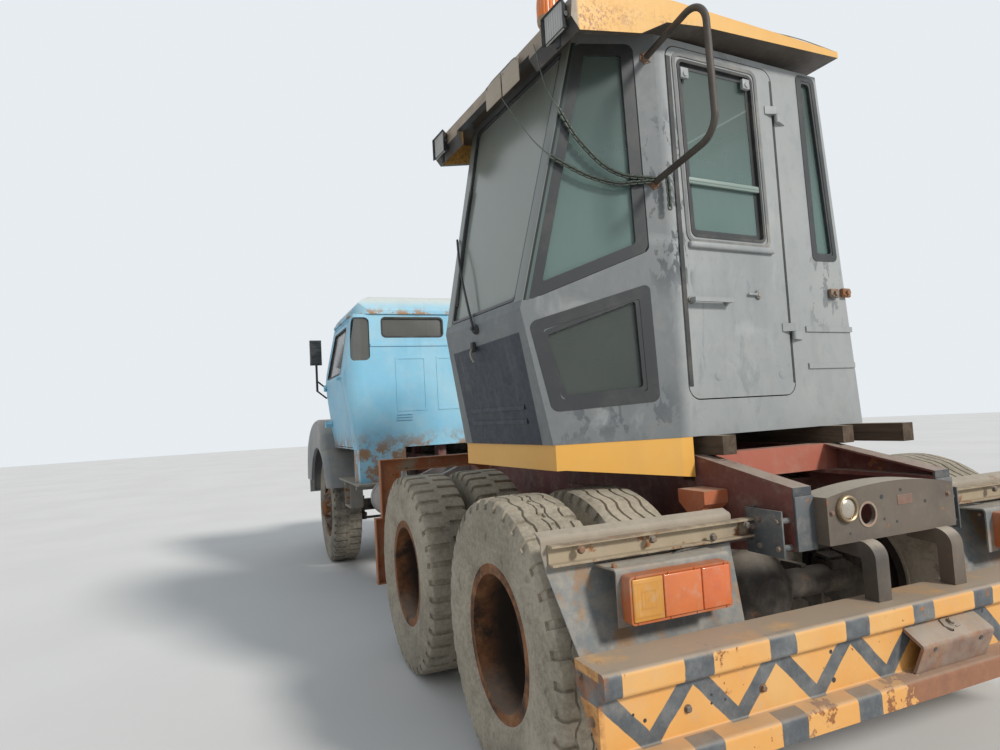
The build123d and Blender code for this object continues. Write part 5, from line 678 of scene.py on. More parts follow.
NODES_IN = {
    "frame_red": "frame crossmembers subframe",
    "crossmember_grey": "rear_crossmember",
    "bumper_paint": "rear_bumper",
    "tow_rust": "tow_box",
    "mudguard_grey": "mudguards",
    "beam_galvanised": "mudguard_frames",
    "beacon_orange": "rear_lamps",
    "tank_grey": "tanks",
    "chassis_iron": "rear_suspension torque_rods driveline engine front_suspension "
                    "knuckle_left knuckle_right track_rod",
    "sky_blue": "cab_shell nose bonnet door_left door_right door_handle_left door_handle_right",
    "cab_roof_paint": "cab_roof",
    "driver_glass": "cab_glass door_glass_left door_glass_right",
    "cabin_dark": "cab_interior upper_interior",
    "fender_grey": "front_fenders front_bumper",
    "bright": "headlamps",
    "seal": "mirrors upper_lamps",
    "step_grey": "steps",
    "operator_grey": "upper_shell upper_door",
    "operator_glass": "upper_glass upper_door_glass",
    "roof_amber": "upper_roof",
    "amber": "upper_skirt",
    "tube_rust": "guard_loop",
    "old_timber": "timbers",
}


def node_finish(node_name):
    """The finish of a CAD node."""
    if node_name.startswith("tyre_"):
        return "tyre_front" if "front" in node_name else "tyre_rear"
    if node_name.startswith("rim_"):
        return "rim_rust"
    return next(finish for finish, names in NODES_IN.items() if node_name in names.split())


for node_name, node in nodes.items():
    node.data.materials.clear()
    node.data.materials.append(FINISHES[node_finish(node_name)])


# Shapes


def settle(bm, name, finish, body="chassis", smooth=35.0, place=None):
    """Turns a finished bmesh into a piece that rides on a body."""
    if place is not None:
        bm.transform(place)
    mesh = bpy.data.meshes.new(name)
    bm.to_mesh(mesh)
    bm.free()
    piece = bpy.data.objects.new(name, mesh)
    bpy.context.scene.collection.objects.link(piece)
    mesh.materials.append(FINISHES[finish])
    if smooth:
        mesh.shade_smooth()
        mesh.set_sharp_from_angle(angle=math.radians(smooth))
    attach(piece, body)
    return piece


def join(bm, other):
    """Moves the shapes of one bmesh into another."""
    mesh = bpy.data.meshes.new("joined")
    other.to_mesh(mesh)
    other.free()
    bm.from_mesh(mesh)
    bpy.data.meshes.remove(mesh)


def facing(direction):
    """A turn that carries +Z to a direction."""
    return Vector((0, 0, 1)).rotation_difference(Vector(direction)).to_matrix().to_4x4()


def round_about(count, radius, offset=0.0):
    """Evenly spaced places on a circle, as pairs of offsets from its middle."""
    for i in range(count):
        turn = math.tau * (i + offset) / count
        yield radius * math.sin(turn), radius * math.cos(turn)


def disc(bm, centre, direction, radius, height, segments=16, top=None, spin=0.0):
    """A short round or many-sided bar that starts at a centre and stands along a direction."""
    direction = Vector(direction).normalized()
    middle = Vector(centre) + direction * height / 2
    place = Matrix.Translation(middle) @ facing(direction) @ Matrix.Rotation(spin, 4, "Z")
    radius_top = radius if top is None else top
    return bmesh.ops.create_cone(bm, cap_ends=True, segments=segments, radius1=radius, radius2=radius_top,
                                 depth=height, matrix=place)["verts"]


def soften(bm, edges, width, segments):
    """Bevels edges and returns what that made."""
    return bmesh.ops.bevel(bm, geom=list(edges), offset=width, segments=segments, affect="EDGES",
                           profile=0.5, material=-1)


def bolt(bm, centre, direction, size=0.011, spin=0.0):
    """A washer and a six-sided head with a softened edge."""
    direction = Vector(direction).normalized()
    washer, head, rounding = size * 0.25, size * 0.85, size * 0.16
    disc(bm, centre, direction, size * 1.25, washer, 14)
    verts = disc(bm, Vector(centre) + direction * washer, direction, size, head, 6, spin=spin)
    top = Vector(centre) + direction * (washer + head)
    edges = {e for v in verts for e in v.link_edges
             if all((w.co - top).dot(direction) > -size * 0.1 for w in e.verts)}
    soften(bm, edges, rounding, 1)


def slab(bm, low, high, edge=0.0, segments=2):
    """A box between two corners with softened edges."""
    low, high = Vector(low), Vector(high)
    place = Matrix.Translation((low + high) / 2) @ Matrix.Diagonal((*(high - low), 1))
    verts = bmesh.ops.create_cube(bm, size=1, matrix=place)["verts"]
    if edge:
        soften(bm, {e for v in verts for e in v.link_edges}, edge, segments)
    return verts


def twin_slabs(bm, low, high, edge=0.0, segments=2):
    """The same box on both sides of the truck, and a list of the two boxes' corners."""
    made = []
    for side in SIDES:
        low_y, high_y = sorted((side * low[1], side * high[1]))
        made.append(slab(bm, (low[0], low_y, low[2]), (high[0], high_y, high[2]), edge, segments))
    return made


def spun(bm, profile, axis, steps, centre=(0, 0, 0), ring=True):
    """A profile of (radius, along) points turned full round X or Z, as a ring or a body with closed ends."""
    made = bmesh.new()
    verts = [made.verts.new((a, 0, r) if axis == "X" else (r, 0, a)) for r, a in profile]
    edges = [made.edges.new(pair) for pair in zip(verts, verts[1:] + verts[:1] * ring)]
    bmesh.ops.spin(made, geom=verts + edges, cent=(0, 0, 0), axis=(1, 0, 0) if axis == "X" else (0, 0, 1),
                   angle=math.tau, steps=steps, use_merge=True)
    bmesh.ops.remove_doubles(made, verts=list(made.verts), dist=1e-5)
    bmesh.ops.recalc_face_normals(made, faces=list(made.faces))
    bmesh.ops.translate(made, verts=list(made.verts), vec=centre)
    join(bm, made)


def hoop(radius, bar, sides, steps):
    """A round bar bent to a full ring about Z."""
    bm = bmesh.new()
    bmesh.ops.create_circle(bm, segments=sides, radius=bar)
    upright = Matrix.Rotation(math.radians(90), 3, "X")
    bmesh.ops.rotate(bm, verts=list(bm.verts), cent=(0, 0, 0), matrix=upright)
    bmesh.ops.translate(bm, verts=list(bm.verts), vec=(radius, 0, 0))
    bmesh.ops.spin(bm, geom=list(bm.verts) + list(bm.edges), cent=(0, 0, 0), axis=(0, 0, 1), angle=math.tau,
                   steps=steps, use_merge=True)
    return bm


def half_ball(radius, cut_towards, flatten, centre, ripple=0.0):
    """Half a ball, cut off on one side along X and flattened, as a lamp's glass."""
    bm = bmesh.new()
    bmesh.ops.create_uvsphere(bm, u_segments=32, v_segments=16, radius=radius)
    bmesh.ops.bisect_plane(bm, geom=list(bm.verts) + list(bm.edges) + list(bm.faces), plane_co=(0, 0, 0),
                           plane_no=(cut_towards, 0, 0), clear_outer=True)
    bmesh.ops.scale(bm, verts=list(bm.verts), vec=(flatten, 1, 1))
    for v in bm.verts:
        v.co.x += ripple * math.cos(v.co.y * 500)
    bmesh.ops.translate(bm, verts=list(bm.verts), vec=centre)
    return bm


def rounded_loop(bm, outline, corner, shrink):
    """A window's outline, moved inwards by a margin and rounded at its corners, as a loop of edges."""
    loop = bmesh.new()
    face = loop.faces.new([loop.verts.new((u, v, 0)) for u, v in outline])
    loop.normal_update()
    if shrink:
        bmesh.ops.inset_region(loop, faces=[face], thickness=shrink, use_even_offset=True, use_boundary=True)
        bmesh.ops.delete(loop, geom=[f for f in loop.faces if f is not face], context="FACES")
    bmesh.ops.bevel(loop, geom=list(loop.verts), offset=corner, segments=5, affect="VERTICES", profile=0.5,
                    material=-1)
    bmesh.ops.delete(loop, geom=list(loop.faces), context="FACES_ONLY")
    join(bm, loop)


def window_ring(outline, place, name, finish, body, width, thickness, corner, lift, outward):
    """A flat band inside a window's outline, laid on the glass by a function from (u, v) to a place."""
    bm = bmesh.new()
    rounded_loop(bm, outline, corner, 0.0)
    rounded_loop(bm, outline, max(corner - width, LEAST_CORNER), width)
    bmesh.ops.bridge_loops(bm, edges=list(bm.edges))
    bm.normal_update()
    raised = bmesh.ops.extrude_face_region(bm, geom=list(bm.faces))
    top = {g for g in raised["geom"] if isinstance(g, bmesh.types.BMVert)}
    outward = Vector(outward).normalized()
    for v in bm.verts:
        v.co = Vector(place(v.co.x, v.co.y)) + outward * (lift + (thickness if v in top else 0.0))
    bmesh.ops.recalc_face_normals(bm, faces=list(bm.faces))
    settle(bm, name, finish, body, 40, UPPER_PLACE if name.startswith("operator") else None)


def smooth_line(points, resolution, radius=0.0):
    """The mesh of a smooth line through control points, or of a round bar along it."""
    curve = bpy.data.curves.new("route", "CURVE")
    curve.dimensions = "3D"
    curve.bevel_depth = radius
    curve.bevel_resolution = 2
    curve.resolution_u = resolution
    curve.use_fill_caps = True
    spline = curve.splines.new("NURBS")
    spline.points.add(len(points) - 1)
    for spot, at in zip(spline.points, points):
        spot.co = (*at, 1)
    spline.order_u = 3
    spline.use_endpoint_u = True
    carrier = bpy.data.objects.new("route", curve)
    mesh = bpy.data.meshes.new_from_object(carrier)
    bpy.data.objects.remove(carrier)
    return mesh


def tube(name, points, radius, finish, place=None):
    """A round bar or hose along a smooth line through its points."""
    mesh = smooth_line(points, 8, radius)
    bm = bmesh.new()
    bm.from_mesh(mesh)
    bpy.data.meshes.remove(mesh)
    bmesh.ops.remove_doubles(bm, verts=list(bm.verts), dist=1e-6)
    bmesh.ops.recalc_face_normals(bm, faces=list(bm.faces))
    settle(bm, name, finish, smooth=50, place=place)


SIDES = (-1, 1)
SIDE_WORDS = ((1, "left"), (-1, "right"))
LEAST_CORNER = 0.012
BACKWARD, FORWARD, UPWARD = (-1, 0, 0), (1, 0, 0), (0, 0, 1)

# Tyres: a spun section, its tread cut by insetting faces

# half section as (y, radius) from the bead out to the crown
TYRE_SECTION = [
    (0.1080, 0.262), (0.1170, 0.287), (0.1240, 0.297), (0.1262, 0.304), (0.1240, 0.309), (0.1305, 0.335),
    (0.1360, 0.372), (0.1373, 0.405), (0.1362, 0.432), (0.1374, 0.439), (0.1352, 0.446), (0.1330, 0.466),
    (0.1305, 0.486), (0.1265, 0.507), (0.1190, 0.5215), (0.1060, 0.5275),
]
TREADS = {
    # name: tread line ys, steps round, groove depth
    "ribs": ((0.0800, 0.0690, 0.0330, 0.0220, 0.0), 96, 0.011),
    "bars": ((0.0850, 0.0480, 0.0120, 0.0), 117, 0.013),
    "blocks": ((0.0760, 0.0660, 0.0200, 0.0120, 0.0), 108, 0.010),
}


def tyre_ring(kind, centre_x, centre_y):
    """One tyre with its tread, in its place on the axle."""
    lines, steps, depth = TREADS[kind]
    half = TYRE_SECTION + [(y, TYRE_RADIUS - y * y * 0.16) for y in lines]
    section = half + [(-y, r) for y, r in reversed(half[:-1])]
    bm = bmesh.new()
    verts = [bm.verts.new((0, y, r)) for y, r in section]
    edges = [bm.edges.new(pair) for pair in zip(verts, verts[1:] + verts[:1])]
    bmesh.ops.spin(bm, geom=verts + edges, cent=(0, 0, 0), axis=(0, 1, 0), angle=math.tau, steps=steps,
                   use_merge=True)
    bmesh.ops.recalc_face_normals(bm, faces=list(bm.faces))
    step = math.tau / steps
    if kind != "bars":
        groove_ys = [y for y in lines if y > 0]
        for v in bm.verts:
            if math.hypot(v.co.x, v.co.z) > 0.52 and min(abs(abs(v.co.y) - y) for y in groove_ys) < 0.001:
                at = round((math.atan2(v.co.x, v.co.z) % math.tau) / step)
                v.co.y += 0.0065 if at % 4 < 2 else -0.0065
    cut = []
    for f in bm.faces:
        middle = f.calc_center_median()
        radius = math.hypot(middle.x, middle.z)
        across = abs(middle.y)
        k = int((math.atan2(middle.x, middle.z) % math.tau) / step) % steps
        if kind == "ribs":
            groove = radius > 0.525 and any(abs(across - y) < 0.009 for y in (0.0745, 0.0275))
            notch = 0.486 < radius < 0.5245 and k % 2 == 0 and across > 0.118
        elif kind == "bars":
            groove = radius > 0.487 and (k + (middle.y > 0)) % 3 == 0 and across > 0.012
            notch = False
        else:
            groove = radius > 0.525 and any(abs(across - y) < 0.008 for y in (0.071, 0.016))
            notch = radius > 0.487 and across > 0.078 and k % 3 == 0
        if groove or notch:
            cut.append(f)
    bmesh.ops.inset_region(bm, faces=cut, thickness=0.0022, depth=-depth, use_even_offset=True)
    bmesh.ops.translate(bm, verts=list(bm.verts), vec=(centre_x, centre_y, HUB_Z))
    return bm


WHEELS = {
    # name: axle x, side, tyres as (distance from the middle, tread)
    "front_left": (2.146, 1, ((FRONT_TYRE_Y, "bars"),)),
    "front_right": (2.146, -1, ((FRONT_TYRE_Y, "bars"),)),
    "middle_left": (-1.202, 1, ((OUTER_TYRE_Y, "bars"), (INNER_TYRE_Y, "bars"))),
    "middle_right": (-1.202, -1, ((OUTER_TYRE_Y, "blocks"), (INNER_TYRE_Y, "ribs"))),
    "rear_left": (-2.520, 1, ((OUTER_TYRE_Y, "blocks"), (INNER_TYRE_Y, "ribs"))),
    "rear_right": (-2.520, -1, ((OUTER_TYRE_Y, "ribs"), (INNER_TYRE_Y, "ribs"))),
}
# nut face, hub cap and circle of the cap's bolts, of single and of twin wheels
SINGLE_HUB, TWIN_HUB = (1.136, 1.204, 0.044), (0.924, 1.024, 0.058)
NUTS, NUT_CIRCLE, NUT_SIZE = 10, 0.142, 0.0185
CAP_BOLTS = 8

for wheel, (axle_x, side, places) in WHEELS.items():
    bm = bmesh.new()
    for middle_y, kind in places:
        join(bm, tyre_ring(kind, axle_x, side * middle_y))
    finish_name = "tyre_front" if "front" in wheel else "tyre_rear"
    piece = settle(bm, f"tread_{wheel}", finish_name, f"wheel_{wheel}", 32)
    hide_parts(f"tyre_{wheel}")
    nut_y, cap_y, cap_circle = TWIN_HUB if len(places) == 2 else SINGLE_HUB
    bm = bmesh.new()
    for i, (dx, dz) in enumerate(round_about(NUTS, NUT_CIRCLE)):
        bolt(bm, (axle_x + dx, side * nut_y, HUB_Z + dz), (0, side, 0), NUT_SIZE, i * 0.7)
        disc(bm, (axle_x + dx, side * (nut_y + 0.018), HUB_Z + dz), (0, side, 0), 0.0095, 0.02, 10, 0.008)
    for dx, dz in round_about(CAP_BOLTS, cap_circle, 0.5):
        bolt(bm, (axle_x + dx, side * cap_y, HUB_Z + dz), (0, side, 0), 0.007)
    settle(bm, f"wheel_nuts_{wheel}", "bolt_iron", f"wheel_{wheel}")

# The operator's cab, in its own frame: x across from the door side, y to its front


def operator(bm, name, finish, body="chassis", smooth=35.0):
    """Settles a piece that was made in the operator's cab's own frame."""
    return settle(bm, "operator_" + name, finish, body, smooth, UPPER_PLACE)


def side_spot(y, z):
    return (GLASS_DEPTH, y, z)


def taper_spot(y, z):
    return ((y - TAPER_Y) * TAPER + GLASS_DEPTH / math.cos(TAPER_ANGLE), y, z)


def screen_spot(x, z):
    return (x, lerp_y(FRONT_BELT, FRONT_TOP, z) - GLASS_DEPTH * 1.0266, z)


def back_spot(x, z):
    return (x, lerp_y(REAR_LOW, REAR_TOP, z) + GLASS_DEPTH * 1.003, z)


def far(spot):
    """The same place on the far side."""

    def far_spot(u, v):
        x, y, z = spot(u, v)
        return (UPPER_WIDTH - x, y, z)

    return far_spot


def on_wall(spot, outward):
    """The same place lifted from the glass to the wall's outer face."""

    def lifted(u, v):
        return Vector(spot(u, v)) + Vector(outward).normalized() * GLASS_DEPTH

    return lifted


def grown(outline, amount):
    """A window's outline moved outwards from its middle."""
    middle_u, middle_v = (sum(spot[i] for spot in outline) / len(outline) for i in (0, 1))
    return [(u + math.copysign(amount, u - middle_u), v + math.copysign(amount, v - middle_v))
            for u, v in outline]


SIDE_OUT = (-1, 0, 0)
TAPER_OUT = (-math.cos(TAPER_ANGLE), math.sin(TAPER_ANGLE), 0)
FRONT_OUT = (0, 1, 0.2321)
BACK_OUT = (0, -1, 0.0753)
DOOR_PANE = [(-0.525, 2.050), (-0.100, 2.050), (-0.085, 2.800), (-0.515, 2.800)]
FAR_DOOR_PANE = [(-0.580, 2.050), (-0.095, 2.050), (-0.085, 2.800), (-0.570, 2.800)]
REAR_PANE = [(-0.965, 2.015), (-0.838, 2.010), (-0.822, 2.845), (-0.905, 2.845)]
SIDE_PANE = [(0.101, 1.985), (0.572, 1.800), (0.335, 2.832), (0.112, 2.832)]
LOW_PANE = [(0.135, 1.429), (0.458, 1.409), (0.527, 1.678), (0.146, 1.814)]
SCREEN = [(0.265, 1.812), (0.913, 1.812), (1.006, 2.832), (0.172, 2.832)]
BACK_PANE = [(0.150, 2.060), (1.028, 2.060), (1.028, 2.800), (0.150, 2.800)]
PANE_CORNER = 0.030
OPERATOR_WINDOWS = {
    # name: outline, place, outward, body, border width
    "door": (DOOR_PANE, side_spot, SIDE_OUT, "upper_door", 0.034),
    "rear_side": (REAR_PANE, side_spot, SIDE_OUT, "chassis", 0.016),
    "side": (SIDE_PANE, taper_spot, TAPER_OUT, "chassis", 0.046),
    "low": (LOW_PANE, taper_spot, TAPER_OUT, "chassis", 0.020),
    "screen": (SCREEN, screen_spot, FRONT_OUT, "chassis", 0.012),
    "back": (BACK_PANE, back_spot, BACK_OUT, "chassis", 0.030),
}
for name in ("rear_side", "side", "low"):
    outline, spot, (out_x, out_y, out_z), body, border = OPERATOR_WINDOWS[name]
    OPERATOR_WINDOWS["far_" + name] = (outline, far(spot), (-out_x, out_y, out_z), body, border)
OPERATOR_WINDOWS["far_door"] = (FAR_DOOR_PANE, far(side_spot), FORWARD, "chassis", 0.034)

for name, (outline, spot, outward, body, border) in OPERATOR_WINDOWS.items():
    thickness, lift = (0.0015, 0.0005) if "door" in name else (0.0145, 0.0)
    if "door" in name:
        window_ring(outline, spot, f"operator_{name}_lip", "seal", body, 0.013, 0.017, PANE_CORNER, 0.0,
                    outward)
    window_ring(outline, spot, f"operator_{name}_border", "border_black", body, border, thickness,
                PANE_CORNER, lift, outward)

# The bonded panes' black edges, which lie on the wall outside the low and rear openings
for name, reach in (("low", 0.040), ("far_low", 0.040), ("rear_side", 0.020), ("far_rear_side", 0.020)):
    outline, spot, outward, body, border = OPERATOR_WINDOWS[name]
    window_ring(grown(outline, reach), on_wall(spot, outward), f"operator_{name}_edge", "border_black", body,
                reach + 0.004, 0.0022, 0.028, 0.0003, outward)

# The door window's outer frame, its bulging sill, its stays in the upper corners and the wide dark front gap
window_ring(grown(DOOR_PANE, 0.026), lambda y, z: (0.0, y, z), "operator_door_frame", "frame_rubber",
            "upper_door", 0.017, 0.006, 0.042, -0.002, SIDE_OUT)

bm = bmesh.new()
slab(bm, (-0.017, -0.560, 2.002), (0.004, -0.078, 2.030), 0.009, 3)
for y, z in ((-0.118, 2.745), (-0.470, 2.760)):
    slab(bm, (-0.012, y - 0.022, z - 0.030), (0.006, y + 0.022, z + 0.016), 0.005)
    disc(bm, (-0.010, y, z - 0.012), SIDE_OUT, 0.011, 0.006, 16)
operator(bm, "door_sill", "operator_grey", "upper_door")

bm = bmesh.new()
slab(bm, (-0.0025, -0.052, 1.440), (0.010, -0.0305, 2.800), 0.001, 1)
slab(bm, (-0.0015, -0.634, 1.440), (0.010, -0.6255, 2.800), 0.001, 1)
operator(bm, "door_edges", "seal", "upper_door")

bm = bmesh.new()
slab(bm, (-0.004, -0.505, 2.272), (0.011, -0.105, 2.300), 0.004)
slab(bm, (-0.006, -0.500, 2.283), (-0.003, -0.110, 2.288), 0.001, 1)
operator(bm, "door_middle_bar", "pale_bar", "upper_door")

# Its plugs and handle grip, its lock, and the catches beside it
LOCK_Y, LOCK_Z = -0.450, 1.822

bm = bmesh.new()
for y in (-0.190, -0.560):
    disc(bm, (0.0006, y, 1.480), SIDE_OUT, 0.021, 0.0022, 28, 0.019)
    disc(bm, (-0.0012, y, 1.480), SIDE_OUT, 0.014, 0.0012, 28, 0.013)
slab(bm, (-0.013, -0.452, 1.816), (-0.006, -0.386, 1.827), 0.003)
operator(bm, "door_plugs", "operator_grey", "upper_door")

bm = bmesh.new()
disc(bm, (0.002, LOCK_Y, LOCK_Z), SIDE_OUT, 0.021, 0.012, 24, 0.018)
disc(bm, (-0.010, LOCK_Y, LOCK_Z), SIDE_OUT, 0.012, 0.004, 20)
for y in (-0.262, -0.070):
    disc(bm, (-0.0015, y, 1.787), SIDE_OUT, 0.016, 0.005, 20)
operator(bm, "door_lock", "dull_steel", "upper_door")

bm = bmesh.new()
for y, z in ((-0.929, 1.843), (-1.012, 1.848)):
    slab(bm, (-0.019, y - 0.028, z - 0.021), (0.001, y + 0.028, z + 0.021), 0.006)
    disc(bm, (-0.019, y, z), SIDE_OUT, 0.012, 0.011, 12)
    bolt(bm, (-0.019, y + 0.018, z - 0.012), SIDE_OUT, 0.005)
operator(bm, "door_catches", "bolt_iron")

# The dark cover over the post between the windscreen and the side panes, bent round the corner
POST_BEND = 0.005
POST_RISE = 0.0012
PANE_LOW_Z, PANE_HIGH_Z = 1.800, 2.832


def corner_line(z):
    """Points round the front corner at a height, from the side pane's edge to the windscreen's."""
    front_y = lerp_y(FRONT_BELT, FRONT_TOP, z)
    share = (z - PANE_LOW_Z) / (PANE_HIGH_Z - PANE_LOW_Z)
    pane_y = 0.572 + (0.335 - 0.572) * share - 0.003
    screen_x = 0.265 + (0.172 - 0.265) * share + 0.003
    run = POST_BEND * math.tan(math.radians(35))
    corner_x = (front_y - TAPER_Y) * TAPER
    centre_x = corner_x - run * math.sin(TAPER_ANGLE) + POST_BEND * math.cos(TAPER_ANGLE)
    reach = POST_BEND + POST_RISE
    line = [((pane_y - TAPER_Y) * TAPER - POST_RISE / math.cos(TAPER_ANGLE), pane_y, z)]
    for turn in range(160, 89, -14):
        angle = math.radians(turn)
        line.append((centre_x + reach * math.cos(angle), front_y - POST_BEND + reach * math.sin(angle), z))
    return line + [(screen_x, front_y + POST_RISE, z)]


def post_cover(name, mirrored):
    bm = bmesh.new()
    rows = []
    for z in (1.806, 2.320, 2.834):
        verts = [bm.verts.new(spot) for spot in corner_line(z)]
        rows.append([bm.edges.new(pair) for pair in zip(verts, verts[1:])])
    for low, high in zip(rows, rows[1:]):
        bmesh.ops.bridge_loops(bm, edges=low + high)
    bm.normal_update()
    bmesh.ops.solidify(bm, geom=list(bm.faces), thickness=-0.002)
    if mirrored:
        turned_over = Matrix.Translation((UPPER_WIDTH, 0, 0)) @ Matrix.Scale(-1, 4, (1, 0, 0))
        bmesh.ops.transform(bm, matrix=turned_over, verts=list(bm.verts))
    bmesh.ops.recalc_face_normals(bm, faces=list(bm.faces))
    operator(bm, name, "post_cover", smooth=50)


post_cover("post_cover", False)
post_cover("far_post_cover", True)

# Work lamps, the beacon and the blank plates on the roof's front
LAMP_XS = (-0.008, 1.150)
LAMP_HALF = Vector((0.075, 0.020, 0.056))
LAMP_MIDDLE_Y = 0.500
LAMP_Z = 2.806
LAMP_FRONT_Y = LAMP_MIDDLE_Y + LAMP_HALF.y

bm = bmesh.new()
for x in LAMP_XS:
    middle = Vector((x, LAMP_MIDDLE_Y, LAMP_Z))
    verts = slab(bm, middle - LAMP_HALF, middle + LAMP_HALF - Vector((0, 0.002, 0)))
    front = next(f for v in verts for f in v.link_faces if f.normal.y > 0.9)
    back = {v for v in verts if v.co.y < LAMP_MIDDLE_Y}
    bmesh.ops.scale(bm, verts=list(back), vec=(0.72, 1, 0.72), space=Matrix.Translation((-x, 0, -LAMP_Z)))
    bmesh.ops.inset_region(bm, faces=[front], thickness=0.011, depth=0.0)
    bmesh.ops.translate(bm, verts=list(front.verts), vec=(0, -0.012, 0))
    for side in SIDES:
        disc(bm, (x + side * 0.066, LAMP_MIDDLE_Y, LAMP_Z), (side, 0, 0), 0.010, 0.007, 14)
    slab(bm, (x - 0.014, 0.486, LAMP_Z - 0.090), (x + 0.014, 0.500, LAMP_Z - 0.040), 0.003)
lamp_housings = operator(bm, "work_lamps", "seal")
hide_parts("upper_lamps")

bm = bmesh.new()
for x in LAMP_XS:
    slab(bm, (x - 0.061, LAMP_FRONT_Y - 0.018, LAMP_Z - 0.056),
         (x + 0.061, LAMP_FRONT_Y - 0.009, LAMP_Z + 0.056), 0.004)
    for i in range(7):
        rib_x = x - 0.048 + 0.016 * i
        slab(bm, (rib_x - 0.002, LAMP_FRONT_Y - 0.010, LAMP_Z - 0.050),
             (rib_x + 0.002, LAMP_FRONT_Y - 0.0075, LAMP_Z + 0.050))
operator(bm, "work_lamp_lenses", "frosted_lens")

BEACON = (0.196, 0.392, 0)
BEACON_FOOT = [(0.0, 2.895), (0.042, 2.895), (0.045, 2.903), (0.043, 2.935), (0.050, 2.948), (0.052, 2.966),
               (0.0, 2.968)]
BEACON_DOME = [(0.0515, 2.9665), (0.0515, 3.020), (0.0490, 3.048), (0.0420, 3.069), (0.0300, 3.082),
               (0.0, 3.0895)]
FLUTES, FLUTE_TOP_Z, FLUTE_WAIST = 22, 3.075, 0.955

bm = bmesh.new()
spun(bm, BEACON_FOOT, "Z", 32, ring=False)
slab(bm, (-0.008, 0.040, 2.930), (0.008, 0.052, 2.962), 0.002)
bmesh.ops.translate(bm, verts=list(bm.verts), vec=BEACON)
operator(bm, "beacon_base", "tan_rust")

bm = bmesh.new()
spun(bm, BEACON_DOME, "Z", FLUTES * 4, ring=False)
for v in bm.verts:
    turn = round(math.atan2(v.co.y, v.co.x) / (math.tau / (FLUTES * 4)))
    if turn % 4 == 0 and v.co.z < FLUTE_TOP_Z:
        v.co.xy *= FLUTE_WAIST
bmesh.ops.translate(bm, verts=list(bm.verts), vec=BEACON)
operator(bm, "beacon_dome", "beacon_orange")

bm = bmesh.new()
for low_x, high_x, low_z, high_z in ((0.278, 0.428, 2.733, 2.838), (0.440, 0.588, 2.738, 2.844)):
    slab(bm, (low_x, 0.501, low_z), (high_x, 0.505, high_z), 0.0015)
    for x in (low_x + 0.012, high_x - 0.012):
        disc(bm, (x, 0.505, high_z - 0.012), (0, 1, 0), 0.004, 0.002, 10)
operator(bm, "blank_plates", "plate_white")

# Chains from the tube guard's foot, each hung by thin wire, and links made in turns along their lines
LINK_LENGTH = 0.026
LINK_WIRE = 0.0040
LINK_BEND = 0.0072
LINK_STEP = LINK_LENGTH - 2.6 * LINK_WIRE
CHAINS = {
    "long": [(0.004, 0.080, 2.272), (0.031, 0.162, 2.279), (0.048, 0.208, 2.288), (0.071, 0.271, 2.327),
             (0.093, 0.332, 2.397), (0.111, 0.380, 2.466), (0.126, 0.423, 2.557)],
    "short": [(0.006, 0.082, 2.262), (0.032, 0.163, 2.256), (0.049, 0.210, 2.249), (0.077, 0.287, 2.268),
              (0.105, 0.364, 2.300), (0.141, 0.463, 2.367)],
    "end": [(-0.026, 0.030, 2.262), (-0.030, 0.029, 2.220), (-0.030, 0.031, 2.145)],
}


def link(bm, middle, along, turn):
    """One oval link, stretched from a ring and turned about its chain."""
    ring = hoop(LINK_BEND, LINK_WIRE, 8, 14)
    for v in ring.verts:
        v.co.y += math.copysign(LINK_LENGTH / 2 - LINK_BEND, v.co.y)
    bmesh.ops.recalc_face_normals(ring, faces=list(ring.faces))
    aim = Vector((0, 1, 0)).rotation_difference(Vector(along)).to_matrix().to_4x4()
    ring.transform(Matrix.Translation(middle) @ aim @ Matrix.Rotation(turn, 4, "Y"))
    join(bm, ring)


for name, route in CHAINS.items():
    bm = bmesh.new()
    mesh = smooth_line(route, 24)
    line = [v.co.copy() for v in mesh.vertices]
    bpy.data.meshes.remove(mesh)
    travelled, due, count = 0.0, 0.0, 0
    for start, end in zip(line, line[1:]):
        step = (end - start).length
        while travelled + step >= due:
            middle = start.lerp(end, (due - travelled) / step)
            link(bm, middle, end - start, math.radians(90 * (count % 2) + 12))
            due += LINK_STEP
            count += 1
        travelled += step
    operator(bm, f"chain_{name}", "chain_steel")

# Wires of the chains and plates, windscreen wiper, the stub of its washer hose, and the roof side's aerial
OPERATOR_LINES = {
    # name: radius, finish, slot, route
    "chain_long_wire": (0.0022, "chain_steel", "bare_rust", [
        (0.126, 0.423, 2.557), (0.122, 0.470, 2.610), (0.120, 0.497, 2.686), (0.143, 0.499, 2.781),
        (0.160, 0.498, 2.820)]),
    "chain_short_wire": (0.0022, "chain_steel", "bare_rust", [
        (0.141, 0.463, 2.367), (0.190, 0.488, 2.420), (0.308, 0.492, 2.555), (0.389, 0.494, 2.658),
        (0.458, 0.500, 2.751)]),
    "plate_wire": (0.0022, "chain_steel", "bare_rust", [
        (0.290, 0.507, 2.826), (0.300, 0.500, 2.850), (0.420, 0.492, 2.858), (0.560, 0.500, 2.852),
        (0.576, 0.507, 2.832)]),
    "wiper_arm": (0.0055, "seal", "mirror", [
        (0.621, 0.612, 1.750), (0.800, 0.574, 1.990), (0.930, 0.530, 2.170), (1.010, 0.496, 2.262)]),
    "wiper_blade": (0.0075, "seal", "mirror", [
        (0.905, 0.560, 1.900), (0.925, 0.528, 2.060), (0.958, 0.482, 2.270), (0.960, 0.430, 2.500)]),
    "washer_pipe": (0.0045, "hose_pale", "dusty_sheet", [
        (0.672, 0.596, 1.672), (0.668, 0.612, 1.660), (0.664, 0.612, 1.630), (0.660, 0.600, 1.610)]),
    "aerial": (0.0022, "dull_steel", "bare_rust", [
        (-0.092, -0.560, 2.962), (-0.096, -0.700, 2.968), (-0.097, -0.850, 2.962), (-0.096, -0.970, 2.955)]),
}
